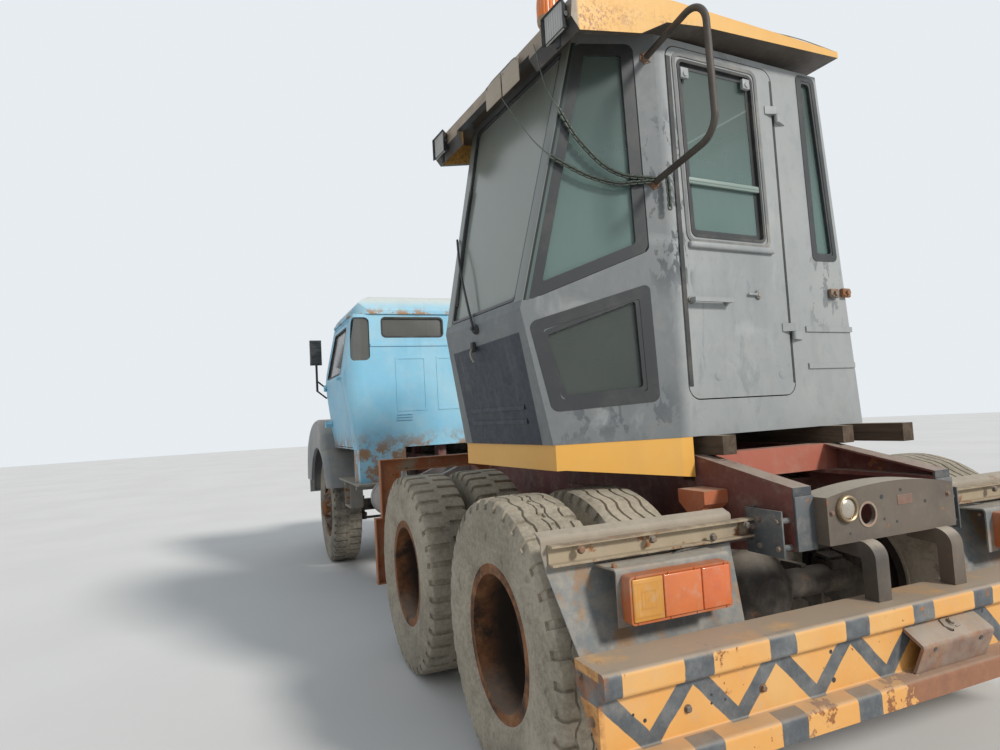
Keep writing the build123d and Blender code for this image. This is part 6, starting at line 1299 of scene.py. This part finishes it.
for name, (radius, finish_name, slot, route) in OPERATOR_LINES.items():
    tube("operator_" + name, route, radius, finish_name, UPPER_PLACE)

WIPER_FOOT = Vector((0.621, 0.594, 1.750))
bm = bmesh.new()
pivot_out = Vector(FRONT_OUT).normalized()
disc(bm, WIPER_FOOT, pivot_out, 0.024, 0.018, 20, 0.019)
disc(bm, WIPER_FOOT + pivot_out * 0.018, pivot_out, 0.010, 0.012, 12)
slab(bm, (0.660, 0.586, 1.655), (0.684, 0.604, 1.700), 0.004)
operator(bm, "wiper_pivot", "seal")

# Feet of the tube guard and their bolts
bm = bmesh.new()
taper_out = Vector(TAPER_OUT)
taper_along = Vector((TAPER, 1, 0)).normalized()
for z in (2.775, 2.258):
    centre = Vector((0.0135, 0.064, z))
    for rise, run in round_about(4, 0.019, 0.5):
        bolt(bm, centre + taper_along * run + Vector((0, 0, rise)) + taper_out * 0.003, TAPER_OUT, 0.004)
    disc(bm, centre - taper_out * 0.001, TAPER_OUT, 0.027, 0.005, 6)
    disc(bm, centre + taper_out * 0.004, TAPER_OUT, 0.017, 0.008, 20, 0.014)
operator(bm, "guard_feet", "bolt_iron")

# Seats: crowned closed cushions, sewn in channels, on their boxes


def cushion(name, low, high, crown, channels, place=None):
    """A stuffed cushion between two corners: bulged faces, pulled-in sides, sewn channels."""
    low, high = Vector(low), Vector(high)
    half, middle = (high - low) / 2, (high + low) / 2
    bm = bmesh.new()
    bmesh.ops.create_cube(bm, size=2)
    bmesh.ops.subdivide_edges(bm, edges=list(bm.edges), cuts=35, use_grid_fill=True)
    for v in bm.verts:
        u, w, t = v.co
        reach = (abs(u) ** 7 + abs(w) ** 7 + abs(t) ** 7) ** (1 / 7)
        u, w, t = u / reach, w / reach, t / reach
        pull_u, pull_w = 1 - 0.035 * (1 - w * w), 1 - 0.035 * (1 - u * u)
        dome = (1 - u ** 4) * (1 - w ** 4)
        thick = half.z - crown * (1 - dome)
        at = (w * 0.5 + 0.5) * channels
        if abs(u) < 0.93 and 0 < round(at) < channels:
            thick -= crown * 0.55 * math.exp(-((abs(at - round(at)) * 2 / 0.16) ** 2))
        crease = 0.010 * math.exp(-(((abs(t) - 0.80) / 0.05) ** 2))
        spot = Vector((u * half.x, w * half.y, t * half.z)) * 9 + Vector((len(name), 0, 0))
        soft = noise.noise(spot) * 0.004
        top = t > 0
        z = t * (thick if top else half.z * 0.98) + soft * top * dome
        v.co = ((u * pull_u) * (half.x - crease - 0.004), (w * pull_w) * (half.y - crease - 0.004), z)
    bmesh.ops.recalc_face_normals(bm, faces=list(bm.faces))
    bm.transform(Matrix.Translation(middle))
    piece = settle(bm, name, "seat_cover", smooth=60, place=place)
    return piece


BENCH_BACK_PLACE = (Matrix.Translation((0.845, 0, 1.785)) @ Matrix.Rotation(math.radians(80.5), 4, "Y")
                    @ Matrix.Rotation(math.radians(180), 4, "Z"))
bench_base = cushion("bench_cushion", (0.812, -0.955, 1.395), (1.286, 0.955, 1.556), 0.040, 9)
bench_back = cushion("bench_back", (-0.215, -0.955, -0.060), (0.215, 0.955, 0.045), 0.032, 9,
                     BENCH_BACK_PLACE)

bm = bmesh.new()
slab(bm, (0.805, -0.940, 1.196), (1.225, 0.940, 1.390), 0.012)
slab(bm, (0.812, -0.945, 1.388), (1.270, 0.945, 1.402), 0.005)
for y in (-0.90, -0.30, 0.30, 0.90):
    slab(bm, (0.764, y - 0.018, 1.40), (0.776, y + 0.018, 1.98), 0.004)
    bolt(bm, (1.2255, y, 1.34), FORWARD, 0.008)
bench_box = settle(bm, "bench_box", "cabin_dark")

# Dash: shell, binnacle, glove box and air slots, then its gauges and switches
bm = bmesh.new()
slab(bm, (1.600, -1.030, 1.490), (1.786, 1.030, 1.735), 0.030, 4)
slab(bm, (1.585, 0.330, 1.560), (1.640, 0.800, 1.742), 0.018, 3)
slab(bm, (1.588, -0.860, 1.545), (1.606, -0.360, 1.665), 0.010, 3)
disc(bm, (1.586, -0.610, 1.635), BACKWARD, 0.016, 0.012, 20, 0.012)
for y in (-0.95, -0.20, 0.15, 0.92):
    for rib in range(5):
        low_z = 1.660 + 0.012 * rib
        slab(bm, (1.596, y - 0.05, low_z), (1.603, y + 0.05, low_z + 0.005), 0.0015)
dash_shell = settle(bm, "dash_shell", "cabin_dark")

GAUGE_Z = 1.668
GAUGES = ((0.450, 0.044, 0.036), (0.560, 0.058, 0.049), (0.680, 0.044, 0.036))
bm = bmesh.new()
for y, radius, face in GAUGES:
    disc(bm, (1.5855, y, GAUGE_Z), BACKWARD, radius, 0.007, 32, radius * 0.94)
for i in range(6):
    slab(bm, (1.578, 0.380 + 0.062 * i, 1.582), (1.588, 0.402 + 0.062 * i, 1.598), 0.003)
settle(bm, "dash_gauge_rims", "dull_steel")

bm = bmesh.new()
for y, rim, radius in GAUGES:
    disc(bm, (1.5790, y, GAUGE_Z), BACKWARD, radius, 0.0008, 28)
    for degrees in range(-120, 121, 30):
        turn = math.radians(degrees)
        spot = (1.5780, y + radius * 0.8 * math.sin(turn), GAUGE_Z + radius * 0.8 * math.cos(turn))
        disc(bm, spot, BACKWARD, 0.0016, 0.0008, 6)
    slab(bm, (1.5770, y - 0.0015, 1.664), (1.5782, y + 0.0015, GAUGE_Z + radius * 0.62))
settle(bm, "dash_gauge_faces", "border_black")

# Steering wheel with finger grips, three spokes, its column and a stalk, built flat and then leaned
STEER_AT = Vector((1.420, 0.560, 1.800))
STEER_LEAN = math.radians(35)
bm = hoop(0.220, 0.0145, 12, 64)
for v in bm.verts:
    grip = round(math.degrees(math.atan2(v.co.y, v.co.x))) % 15
    v.co.z -= 0.0012 * (grip < 4)
bmesh.ops.recalc_face_normals(bm, faces=list(bm.faces))
for turn in (90, 210, 330):
    ray = Vector((math.cos(math.radians(turn)), math.sin(math.radians(turn)), 0))
    disc(bm, (0, 0, 0.018), ray * 0.212 + Vector((0, 0, -0.018)), 0.016, 0.214, 12, 0.010)
disc(bm, (0, 0, -0.010), UPWARD, 0.052, 0.020, 28, 0.056)
disc(bm, (0, 0, 0.010), UPWARD, 0.054, 0.016, 28, 0.034)
disc(bm, (0, 0, -0.300), UPWARD, 0.027, 0.292, 24)
disc(bm, (0, 0, -0.110), UPWARD, 0.032, 0.095, 24, 0.036)
disc(bm, (0, 0.030, -0.070), (0.15, 1, 0.12), 0.0055, 0.115, 10, 0.008)
bm.transform(Matrix.Translation(STEER_AT) @ facing((-math.cos(STEER_LEAN), 0, math.sin(STEER_LEAN))))
steering = settle(bm, "steering_wheel", "border_black")
for part in (bench_base, bench_back, bench_box, dash_shell, steering):
    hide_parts("cab_interior")

# The operator's seat on its folded bellows, and the two consoles with their levers
OPERATOR_BACK_PLACE = (UPPER_PLACE @ Matrix.Translation((0.590, -0.693, 2.035))
                       @ Matrix.Rotation(math.radians(-81.5), 4, "X"))
seat_base = cushion("operator_seat_cushion", (0.366, -0.610, 1.645), (0.814, -0.170, 1.752), 0.030, 3,
                    UPPER_PLACE)
seat_back = cushion("operator_seat_back", (-0.220, -0.300, -0.046), (0.220, 0.300, 0.040), 0.028, 3,
                    OPERATOR_BACK_PLACE)
bm = bmesh.new()
slab(bm, (0.385, -0.645, 1.282), (0.795, -0.185, 1.560), 0.014)
for i in range(9):
    low_z = 1.560 + 0.009 * i
    inset = 0.010 * (i % 2)
    slab(bm, (0.410 + inset, -0.610 + inset, low_z), (0.770 - inset, -0.210 - inset, low_z + 0.009),
         0.002, 1)
slab(bm, (0.372, -0.640, 1.638), (0.808, -0.180, 1.650), 0.004)
for x in (0.372, 0.792):
    slab(bm, (x, -0.735, 1.640), (x + 0.016, -0.640, 1.800), 0.004)
disc(bm, (0.800, -0.250, 1.625), (0.2, 1, 0.1), 0.006, 0.060, 12)
disc(bm, (0.810, -0.190, 1.631), (0.2, 1, 0.1), 0.011, 0.020, 14, 0.008)
seat_frame = operator(bm, "seat_frame", "cabin_dark")

LEVER = (
    # foot z, radius, height, segments, top radius
    (1.733, 0.030, 0.022, 20, 0.012),
    (1.750, 0.006, 0.050, 12, None),
    (1.793, 0.010, 0.015, 16, 0.016),
    (1.808, 0.016, 0.012, 16, 0.009),
)
bm = bmesh.new()
for low_x, high_x in ((0.122, 0.298), (0.882, 1.048)):
    slab(bm, (low_x, -0.415, 1.280), (high_x, 0.115, 1.735), 0.020, 3)
    slab(bm, (low_x + 0.012, -0.395, 1.735), (high_x - 0.012, -0.120, 1.760), 0.010, 3)
    for y in (-0.020, 0.060):
        for z, radius, height, segments, top in LEVER:
            disc(bm, ((low_x + high_x) / 2, y, z), UPWARD, radius, height, segments, top)
    for i in range(5):
        disc(bm, (low_x + 0.040 + 0.024 * i, -0.080, 1.734), UPWARD, 0.007, 0.006, 12, 0.005)
consoles = operator(bm, "consoles", "cabin_dark")
for part in (seat_base, seat_back, seat_frame, consoles):
    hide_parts("upper_interior")

# Rear lamps: an orange rim screwed on, three lenses with moulded squares, and the round lamp's bright ring
LAMP_LOW, LAMP_HIGH, LAMP_BACK, LAMP_FACE = (0.677, 0.742), (1.045, 0.881), -3.159, -3.209
LENS_LOW_Z, LENS_HIGH_Z = 0.7505, 0.8725
LENSES_ACROSS = {"lens_red": (0.683, 0.790), "lens_orange": (0.790, 0.930), "lens_yellow": (0.930, 1.039)}

bm = bmesh.new()
boxes = twin_slabs(bm, (LAMP_FACE + 0.005, *LAMP_LOW), (LAMP_BACK, *LAMP_HIGH))
for verts in boxes:
    corners = {e for v in verts for e in v.link_edges
               if abs((e.verts[0].co - e.verts[1].co).normalized().x) > 0.9}
    rounded = soften(bm, corners, 0.012, 4)["verts"]
    face = next(f for v in rounded for f in v.link_faces if f.normal.x < -0.9)
    bmesh.ops.inset_region(bm, faces=[face], thickness=0.006, depth=0.0)
    bmesh.ops.inset_region(bm, faces=[face], thickness=0.002, depth=-0.003)
for side in SIDES:
    for y in (0.700, 0.812, 0.908, 1.022):
        for z in (0.7462, 0.8768):
            disc(bm, (-3.2040, side * y, z), BACKWARD, 0.0036, 0.0030, 12, 0.0028)
lamp_rims = settle(bm, "rear_lamp_rims", "lamp_rim")

for name, (low_y, high_y) in LENSES_ACROSS.items():
    bm = bmesh.new()
    low, high = (LAMP_FACE + 0.0005, low_y + 0.0015, LENS_LOW_Z), (-3.194, high_y - 0.0015, LENS_HIGH_Z)
    twin_slabs(bm, low, high, 0.0035, 3)
    if name == "lens_yellow":
        for step, inset in enumerate((0.016, 0.028, 0.040)):
            twin_slabs(bm, (LAMP_FACE + 0.0002 - 0.0003 * step, low[1] + inset, LENS_LOW_Z + inset),
                       (-3.204, high[1] - inset, LENS_HIGH_Z - inset), 0.0001, 1)
    settle(bm, name, name)

ROUND_LAMP = Vector((-3.256, 0.226, 0.998))
ROUND_RIM = [(0.0300, 0.0), (0.0460, 0.0), (0.0465, -0.006), (0.0430, -0.014), (0.0385, -0.016),
             (0.0345, -0.014), (0.0330, -0.006), (0.0300, -0.004)]
bm = bmesh.new()
spun(bm, ROUND_RIM, "X", 40, ROUND_LAMP)
settle(bm, "round_lamp_ring", "lamp_brass")
bm = half_ball(0.034, 1, 0.30, ROUND_LAMP + Vector((-0.006, 0, 0)))
settle(bm, "round_lamp_lens", "lamp_mirror", smooth=60)
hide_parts("rear_lamps")

# Bumper: bolts along the recess and at its ends, and empty bolt holes
BUMPER_RECESS_X = -3.334


def holes(name, x, spots, height, segments):
    """Dark round marks on an upright face, each as (y, z, radius)."""
    bm = bmesh.new()
    for y, z, radius in spots:
        disc(bm, (x, y, z), BACKWARD, radius, height, segments)
    settle(bm, name, "border_black")


bm = bmesh.new()
for y in (0.706, 0.971, -0.826, -1.091):
    bolt(bm, (BUMPER_RECESS_X, y, 0.548), BACKWARD, 0.0095, y * 9)
for side in SIDES:
    bolt(bm, (-3.30, side * 1.246, 0.56), (0, side, 0), 0.011)
    bolt(bm, (-3.25, side * 1.246, 0.66), (0, side, 0), 0.010)
settle(bm, "bumper_bolts", "bolt_iron")
holes("bumper_holes", BUMPER_RECESS_X, (
    (0.433, 0.599, 0.0065), (0.430, 0.515, 0.008), (1.109, 0.547, 0.0055), (1.144, 0.569, 0.004),
    (0.842, 0.545, 0.0045), (0.888, 0.567, 0.004), (0.890, 0.545, 0.004), (-0.285, 0.604, 0.006),
    (-0.553, 0.599, 0.0065), (-0.550, 0.515, 0.008), (-0.962, 0.545, 0.0045), (-1.229, 0.547, 0.0055),
), 0.0005, 14)

# Frame end: rail end caps, bolts of the beams, and the crossmember's holes, bushed eye, patch and bolts
bm = bmesh.new()
twin_slabs(bm, (-3.2055, 0.308, 0.868), (-3.1985, 0.392, 1.046), 0.0025)
settle(bm, "rail_end_caps", "slate_plate")

bm = bmesh.new()
for side in SIDES:
    for y, z in ((0.475, 0.948), (0.620, 0.925), (0.860, 0.948), (1.120, 0.948)):
        bolt(bm, (-3.0652, side * y, z), BACKWARD, 0.011, y * 9)
    for z in (0.870, 0.955, 0.985):
        bolt(bm, (-3.0312, side * 0.414, z), BACKWARD, 0.010, z * 7)
    for y, z in ((0.655, 0.870), (1.045, 0.900)):
        bolt(bm, (-3.125, side * y, z), BACKWARD, 0.008, y)
settle(bm, "beam_bolts", "bolt_iron")

holes("crossmember_holes", -3.2562, (
    (-0.160, 0.985, 0.006), (-0.040, 1.035, 0.006), (0.055, 1.020, 0.008), (0.050, 0.945, 0.005),
    (-0.010, 0.930, 0.005), (0.215, 0.915, 0.005),
), 0.0006, 18)

EYE_AT = (-3.256, 0.128, 0.970)
EYE_RING = [(0.0350, 0.0), (0.0430, 0.0), (0.0430, -0.0025), (0.0350, -0.0025)]
bm = bmesh.new()
spun(bm, EYE_RING, "X", 40, EYE_AT)
slab(bm, (-3.2575, -0.095, 0.985), (-3.2558, -0.020, 1.018), 0.0006, 1)
for y, z in ((-0.280, 1.000), (0.292, 0.990)):
    bolt(bm, (-3.2560, y, z), BACKWARD, 0.0075, y * 9)
settle(bm, "crossmember_fittings", "tow_rust")

# Rubber pads in layers under the buffers, clamps of the brake chambers, and fixed pipes over the axles
bm = bmesh.new()
for i in range(3):
    inset = 0.006 * (i % 2)
    twin_slabs(bm, (-2.868 + inset, 0.398 + inset, 0.9445 + 0.014 * i),
               (-2.762 - inset, 0.494 - inset, 0.957 + 0.014 * i), 0.003)
settle(bm, "buffer_pads", "lamp_rim")

bm = bmesh.new()
for axle_x in (-2.520, -1.202):
    for side in SIDES:
        centre = Vector((axle_x + 0.176, side * 0.330, 0.590))
        for dy, dz in round_about(6, 0.074):
            bolt(bm, centre + Vector((0.010, dy, dz)), FORWARD, 0.006)
        slab(bm, centre + Vector((-0.008, -0.012, 0.076)), centre + Vector((0.014, 0.012, 0.098)), 0.002)
settle(bm, "chamber_clamps", "bolt_iron")

PIPE_RADIUS, HOSE_RADIUS = 0.006, 0.009
BRAKE_PIPE = [(-2.740, 0.372, 0.900), (-2.760, 0.300, 0.885), (-2.780, 0.120, 0.890),
              (-2.760, -0.120, 0.880), (-2.745, -0.300, 0.890), (-2.740, -0.372, 0.905)]
BRAKE_HOSE = [(-2.700, 0.300, 0.900), (-2.690, 0.310, 0.820), (-2.560, 0.330, 0.760), (-2.440, 0.330, 0.700),
              (-2.405, 0.330, 0.640)]
LAMP_WIRE = [(-3.128, 0.860, 0.800), (-3.100, 0.860, 0.830), (-3.060, 0.800, 0.897), (-3.045, 0.600, 0.898),
             (-3.040, 0.450, 0.900), (-3.060, 0.402, 0.890)]
tube("brake_pipe_rear", BRAKE_PIPE, PIPE_RADIUS, "hose_black")
for side, word in SIDE_WORDS:
    for name, route, radius in (("brake_hose", BRAKE_HOSE, HOSE_RADIUS),
                                ("lamp_wire", LAMP_WIRE, PIPE_RADIUS)):
        placed = [(x, side * y, z) for x, y, z in route]
        tube(f"{name}_{word}", placed, radius, "hose_black")

# Tow cover: a worn six-sided slot round its pin hole and the holes beside it
TOW_TOP_OUT = Vector((-0.561, 0, 0.828))
TOW_SLOT = Vector((-3.3563, -0.067, 0.604))
bm = bmesh.new()
for dy, radius, height, top, spin in ((0.0, 0.026, 0.007, 0.024, 0.3), (-0.034, 0.022, 0.006, 0.020, 0.1)):
    disc(bm, TOW_SLOT + Vector((0, dy, 0)) - TOW_TOP_OUT * 0.004, TOW_TOP_OUT, radius, height, 6, top, spin)
bolt(bm, TOW_SLOT + Vector((0, -0.014, 0)) + TOW_TOP_OUT * 0.002, TOW_TOP_OUT, 0.011, 0.5)
settle(bm, "tow_lock", "bolt_iron")
bm = bmesh.new()
for y, z in ((0.057, 0.556), (-0.169, 0.553)):
    disc(bm, (-3.3970, y, z), (-0.941, 0, -0.338), 0.008, 0.0008, 14)
settle(bm, "tow_holes", "border_black")

# Plates at the beams' inner ends, held off the rails by short spacers, with their bolts
END_PLATE_BOLTS = ((-3.172, 0.880), (-3.172, 0.968), (-3.090, 0.880), (-3.090, 0.968))
bm = bmesh.new()
twin_slabs(bm, (-3.190, 0.434, 0.850), (-3.0335, 0.441, 1.003), 0.0015)
for side in SIDES:
    for x, z in END_PLATE_BOLTS:
        disc(bm, (x, side * 0.3905, z), (0, side, 0), 0.010, 0.045, 14)
settle(bm, "beam_end_plates", "slate_plate")
bm = bmesh.new()
for side in SIDES:
    for x, z in (*END_PLATE_BOLTS, (-3.060, 0.940)):
        bolt(bm, (x, side * 0.4408, z), (0, side, 0), 0.009, z * 9)
settle(bm, "end_plate_bolts", "bolt_iron")

# Driver's cab: seals of the panes, mirror faces, lamp rings and glasses, and the nose's bolts
CAB_HALF_BELT, CAB_HALF_TOP, CAB_BELT_Z, CAB_TOP_Z = 1.178, 1.090, 1.767, 2.285
SIDE_LEAN = (CAB_HALF_BELT - CAB_HALF_TOP) / (CAB_TOP_Z - CAB_BELT_Z)
DOOR_WINDOW = [(0.905, 1.800), (1.690, 1.800), (1.540, 2.215), (0.905, 2.215)]
DRIVER_SCREEN = [(-1.000, 1.822), (1.000, 1.822), (0.935, 2.235), (-0.935, 2.235)]
HEADLAMP = (3.114, 0.930, 1.060)
HEADLAMP_RIM = [(0.078, 0.0), (0.094, 0.0), (0.095, 0.006), (0.090, 0.014), (0.082, 0.012), (0.078, 0.004)]


def door_spot(side):
    """A place on a door's glass from (x, z)."""
    return lambda x, z: (x, side * (CAB_HALF_BELT - SIDE_LEAN * (z - CAB_BELT_Z) - 0.0138), z)


def driver_screen_spot(y, z):
    return (1.830 + (1.651 - 1.830) * (z - 1.790) / (2.287 - 1.790) - 0.013, y, z)


for side, word in SIDE_WORDS:
    window_ring(DOOR_WINDOW, door_spot(side), f"door_seal_{word}", "seal", f"door_{word}", 0.013, 0.015,
                0.035, 0.0, (0, side, SIDE_LEAN))
    low, high = sorted((side * 0.312, side * 0.864))
    window_ring([(low, 2.083), (high, 2.083), (high, 2.262), (low, 2.262)], lambda y, z: (0.650, y, z),
                f"rear_seal_{word}", "seal", "chassis", 0.014, 0.016, 0.040, 0.0, BACKWARD)
window_ring(DRIVER_SCREEN, driver_screen_spot, "screen_seal", "seal", "chassis", 0.018, 0.016, 0.050, 0.0,
            (1, 0, 0.36))

bm = bmesh.new()
twin_slabs(bm, (1.7695, 1.213, 1.973), (1.7725, 1.307, 2.198), 0.001, 1)
settle(bm, "mirror_faces", "mirror_face")

rings, glasses = bmesh.new(), bmesh.new()
for side in SIDES:
    at = Vector((HEADLAMP[0], side * HEADLAMP[1], HEADLAMP[2]))
    spun(rings, HEADLAMP_RIM, "X", 40, at)
    join(glasses, half_ball(0.080, -1, 0.16, at + Vector((0.0015, 0, 0)), 0.0007))
settle(rings, "headlamp_rings", "dull_steel")
settle(glasses, "headlamp_glasses", "frosted_lens", smooth=60)

bm = bmesh.new()
for y in (-0.36, -0.24, 0.24, 0.36):
    for z in (0.935, 1.268):
        bolt(bm, (3.2565, y, z), FORWARD, 0.006, abs(y) * 8)
settle(bm, "front_bolts", "bolt_iron")

# Tanks: straps, cap and its grip
HOOP = [(0.1365, -0.020), (0.1365, 0.020), (0.1400, 0.020), (0.1400, -0.020)]
bm = bmesh.new()
for x in (0.000, 0.370):
    slab(bm, (x - 0.022, -1.0835, 0.517), (x + 0.022, -0.5565, 0.9335), 0.010)
disc(bm, (0.420, -0.820, 0.928), UPWARD, 0.045, 0.022, 24, 0.041)
slab(bm, (0.380, -0.826, 0.948), (0.460, -0.814, 0.958), 0.003)
for x in (-0.070, 0.380):
    spun(bm, HOOP, "X", 48, (x, 0.913, 0.775))
settle(bm, "tank_straps", "dull_steel")

# Camera at the photograph's place

CAMERA_AT = (-4.852, 2.1055, 1.362)
YAW, PITCH, ROLL = -0.39841, 0.06314, -0.05527
FOCAL_PIXELS = 659.82


def camera_turn(yaw, pitch, roll):
    """The camera's axes as columns: right, up, back."""
    ahead = Vector((math.cos(yaw) * math.cos(pitch), math.sin(yaw) * math.cos(pitch), math.sin(pitch)))
    right = Vector((math.sin(yaw), -math.cos(yaw), 0)).normalized()
    up = right.cross(ahead)
    rolled = right * math.cos(roll) + up * math.sin(roll)
    risen = up * math.cos(roll) - right * math.sin(roll)
    return Matrix((rolled, risen, -ahead)).transposed().to_4x4()


lens_data = bpy.data.cameras.new("camera")
lens_data.lens = FOCAL_PIXELS * 36.0 / 1000.0
lens_data.sensor_width = 36.0
lens_data.sensor_fit = "HORIZONTAL"
lens_data.clip_end = 200.0
camera = bpy.data.objects.new("camera", lens_data)
camera.matrix_world = Matrix.Translation(CAMERA_AT) @ camera_turn(YAW, PITCH, ROLL)
bpy.context.scene.collection.objects.link(camera)
bpy.context.scene.camera = camera

# Studio: pale floor, even sky light and one soft key from behind on the right

bm = bmesh.new()
bmesh.ops.create_circle(bm, cap_ends=True, segments=64, radius=45.0)
floor_mesh = bpy.data.meshes.new("floor")
bm.to_mesh(floor_mesh)
bm.free()
floor = bpy.data.objects.new("floor", floor_mesh)
bpy.context.scene.collection.objects.link(floor)
floor_mesh.materials.append(pale_floor())
floor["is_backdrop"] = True

KEY_FROM = (-0.86, -0.42, 0.62)
key = bpy.data.lights.new("key", "SUN")
key.energy = 2.5
key.angle = math.radians(9)
key.color = (1.0, 0.97, 0.92)
key_object = bpy.data.objects.new("key", key)
key_object.matrix_world = facing(KEY_FROM)
bpy.context.scene.collection.objects.link(key_object)

SKY_SEEN, SKY_LIGHT, SKY_STRENGTH = (0.80, 0.84, 0.88, 1), (0.86, 0.93, 1.0, 1), 0.50
world = bpy.data.worlds.new("studio")
world.use_nodes = True
bpy.context.scene.world = world
tree = world.node_tree
tree.nodes.clear()
rays = tree.nodes.new("ShaderNodeLightPath")
blend = tree.nodes.new("ShaderNodeMixShader")
shown = rays.outputs["Is Camera Ray"]
for ray in ("Is Glossy Ray", "Is Transmission Ray"):
    either = tree.nodes.new("ShaderNodeMath")
    either.operation = "MAXIMUM"
    tree.links.new(shown, either.inputs[0])
    tree.links.new(rays.outputs[ray], either.inputs[1])
    shown = either.outputs[0]
tree.links.new(shown, blend.inputs[0])
for socket, colour, strength in ((1, SKY_LIGHT, SKY_STRENGTH), (2, SKY_SEEN, 1.0)):
    sky = tree.nodes.new("ShaderNodeBackground")
    sky.inputs["Color"].default_value = colour
    sky.inputs["Strength"].default_value = strength
    tree.links.new(sky.outputs[0], blend.inputs[socket])
out = tree.nodes.new("ShaderNodeOutputWorld")
tree.links.new(blend.outputs[0], out.inputs["Surface"])

bpy.context.scene.view_settings.view_transform = "Standard"

boxes = [[list(corner) for corner in box] for box in (cad_box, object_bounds())]
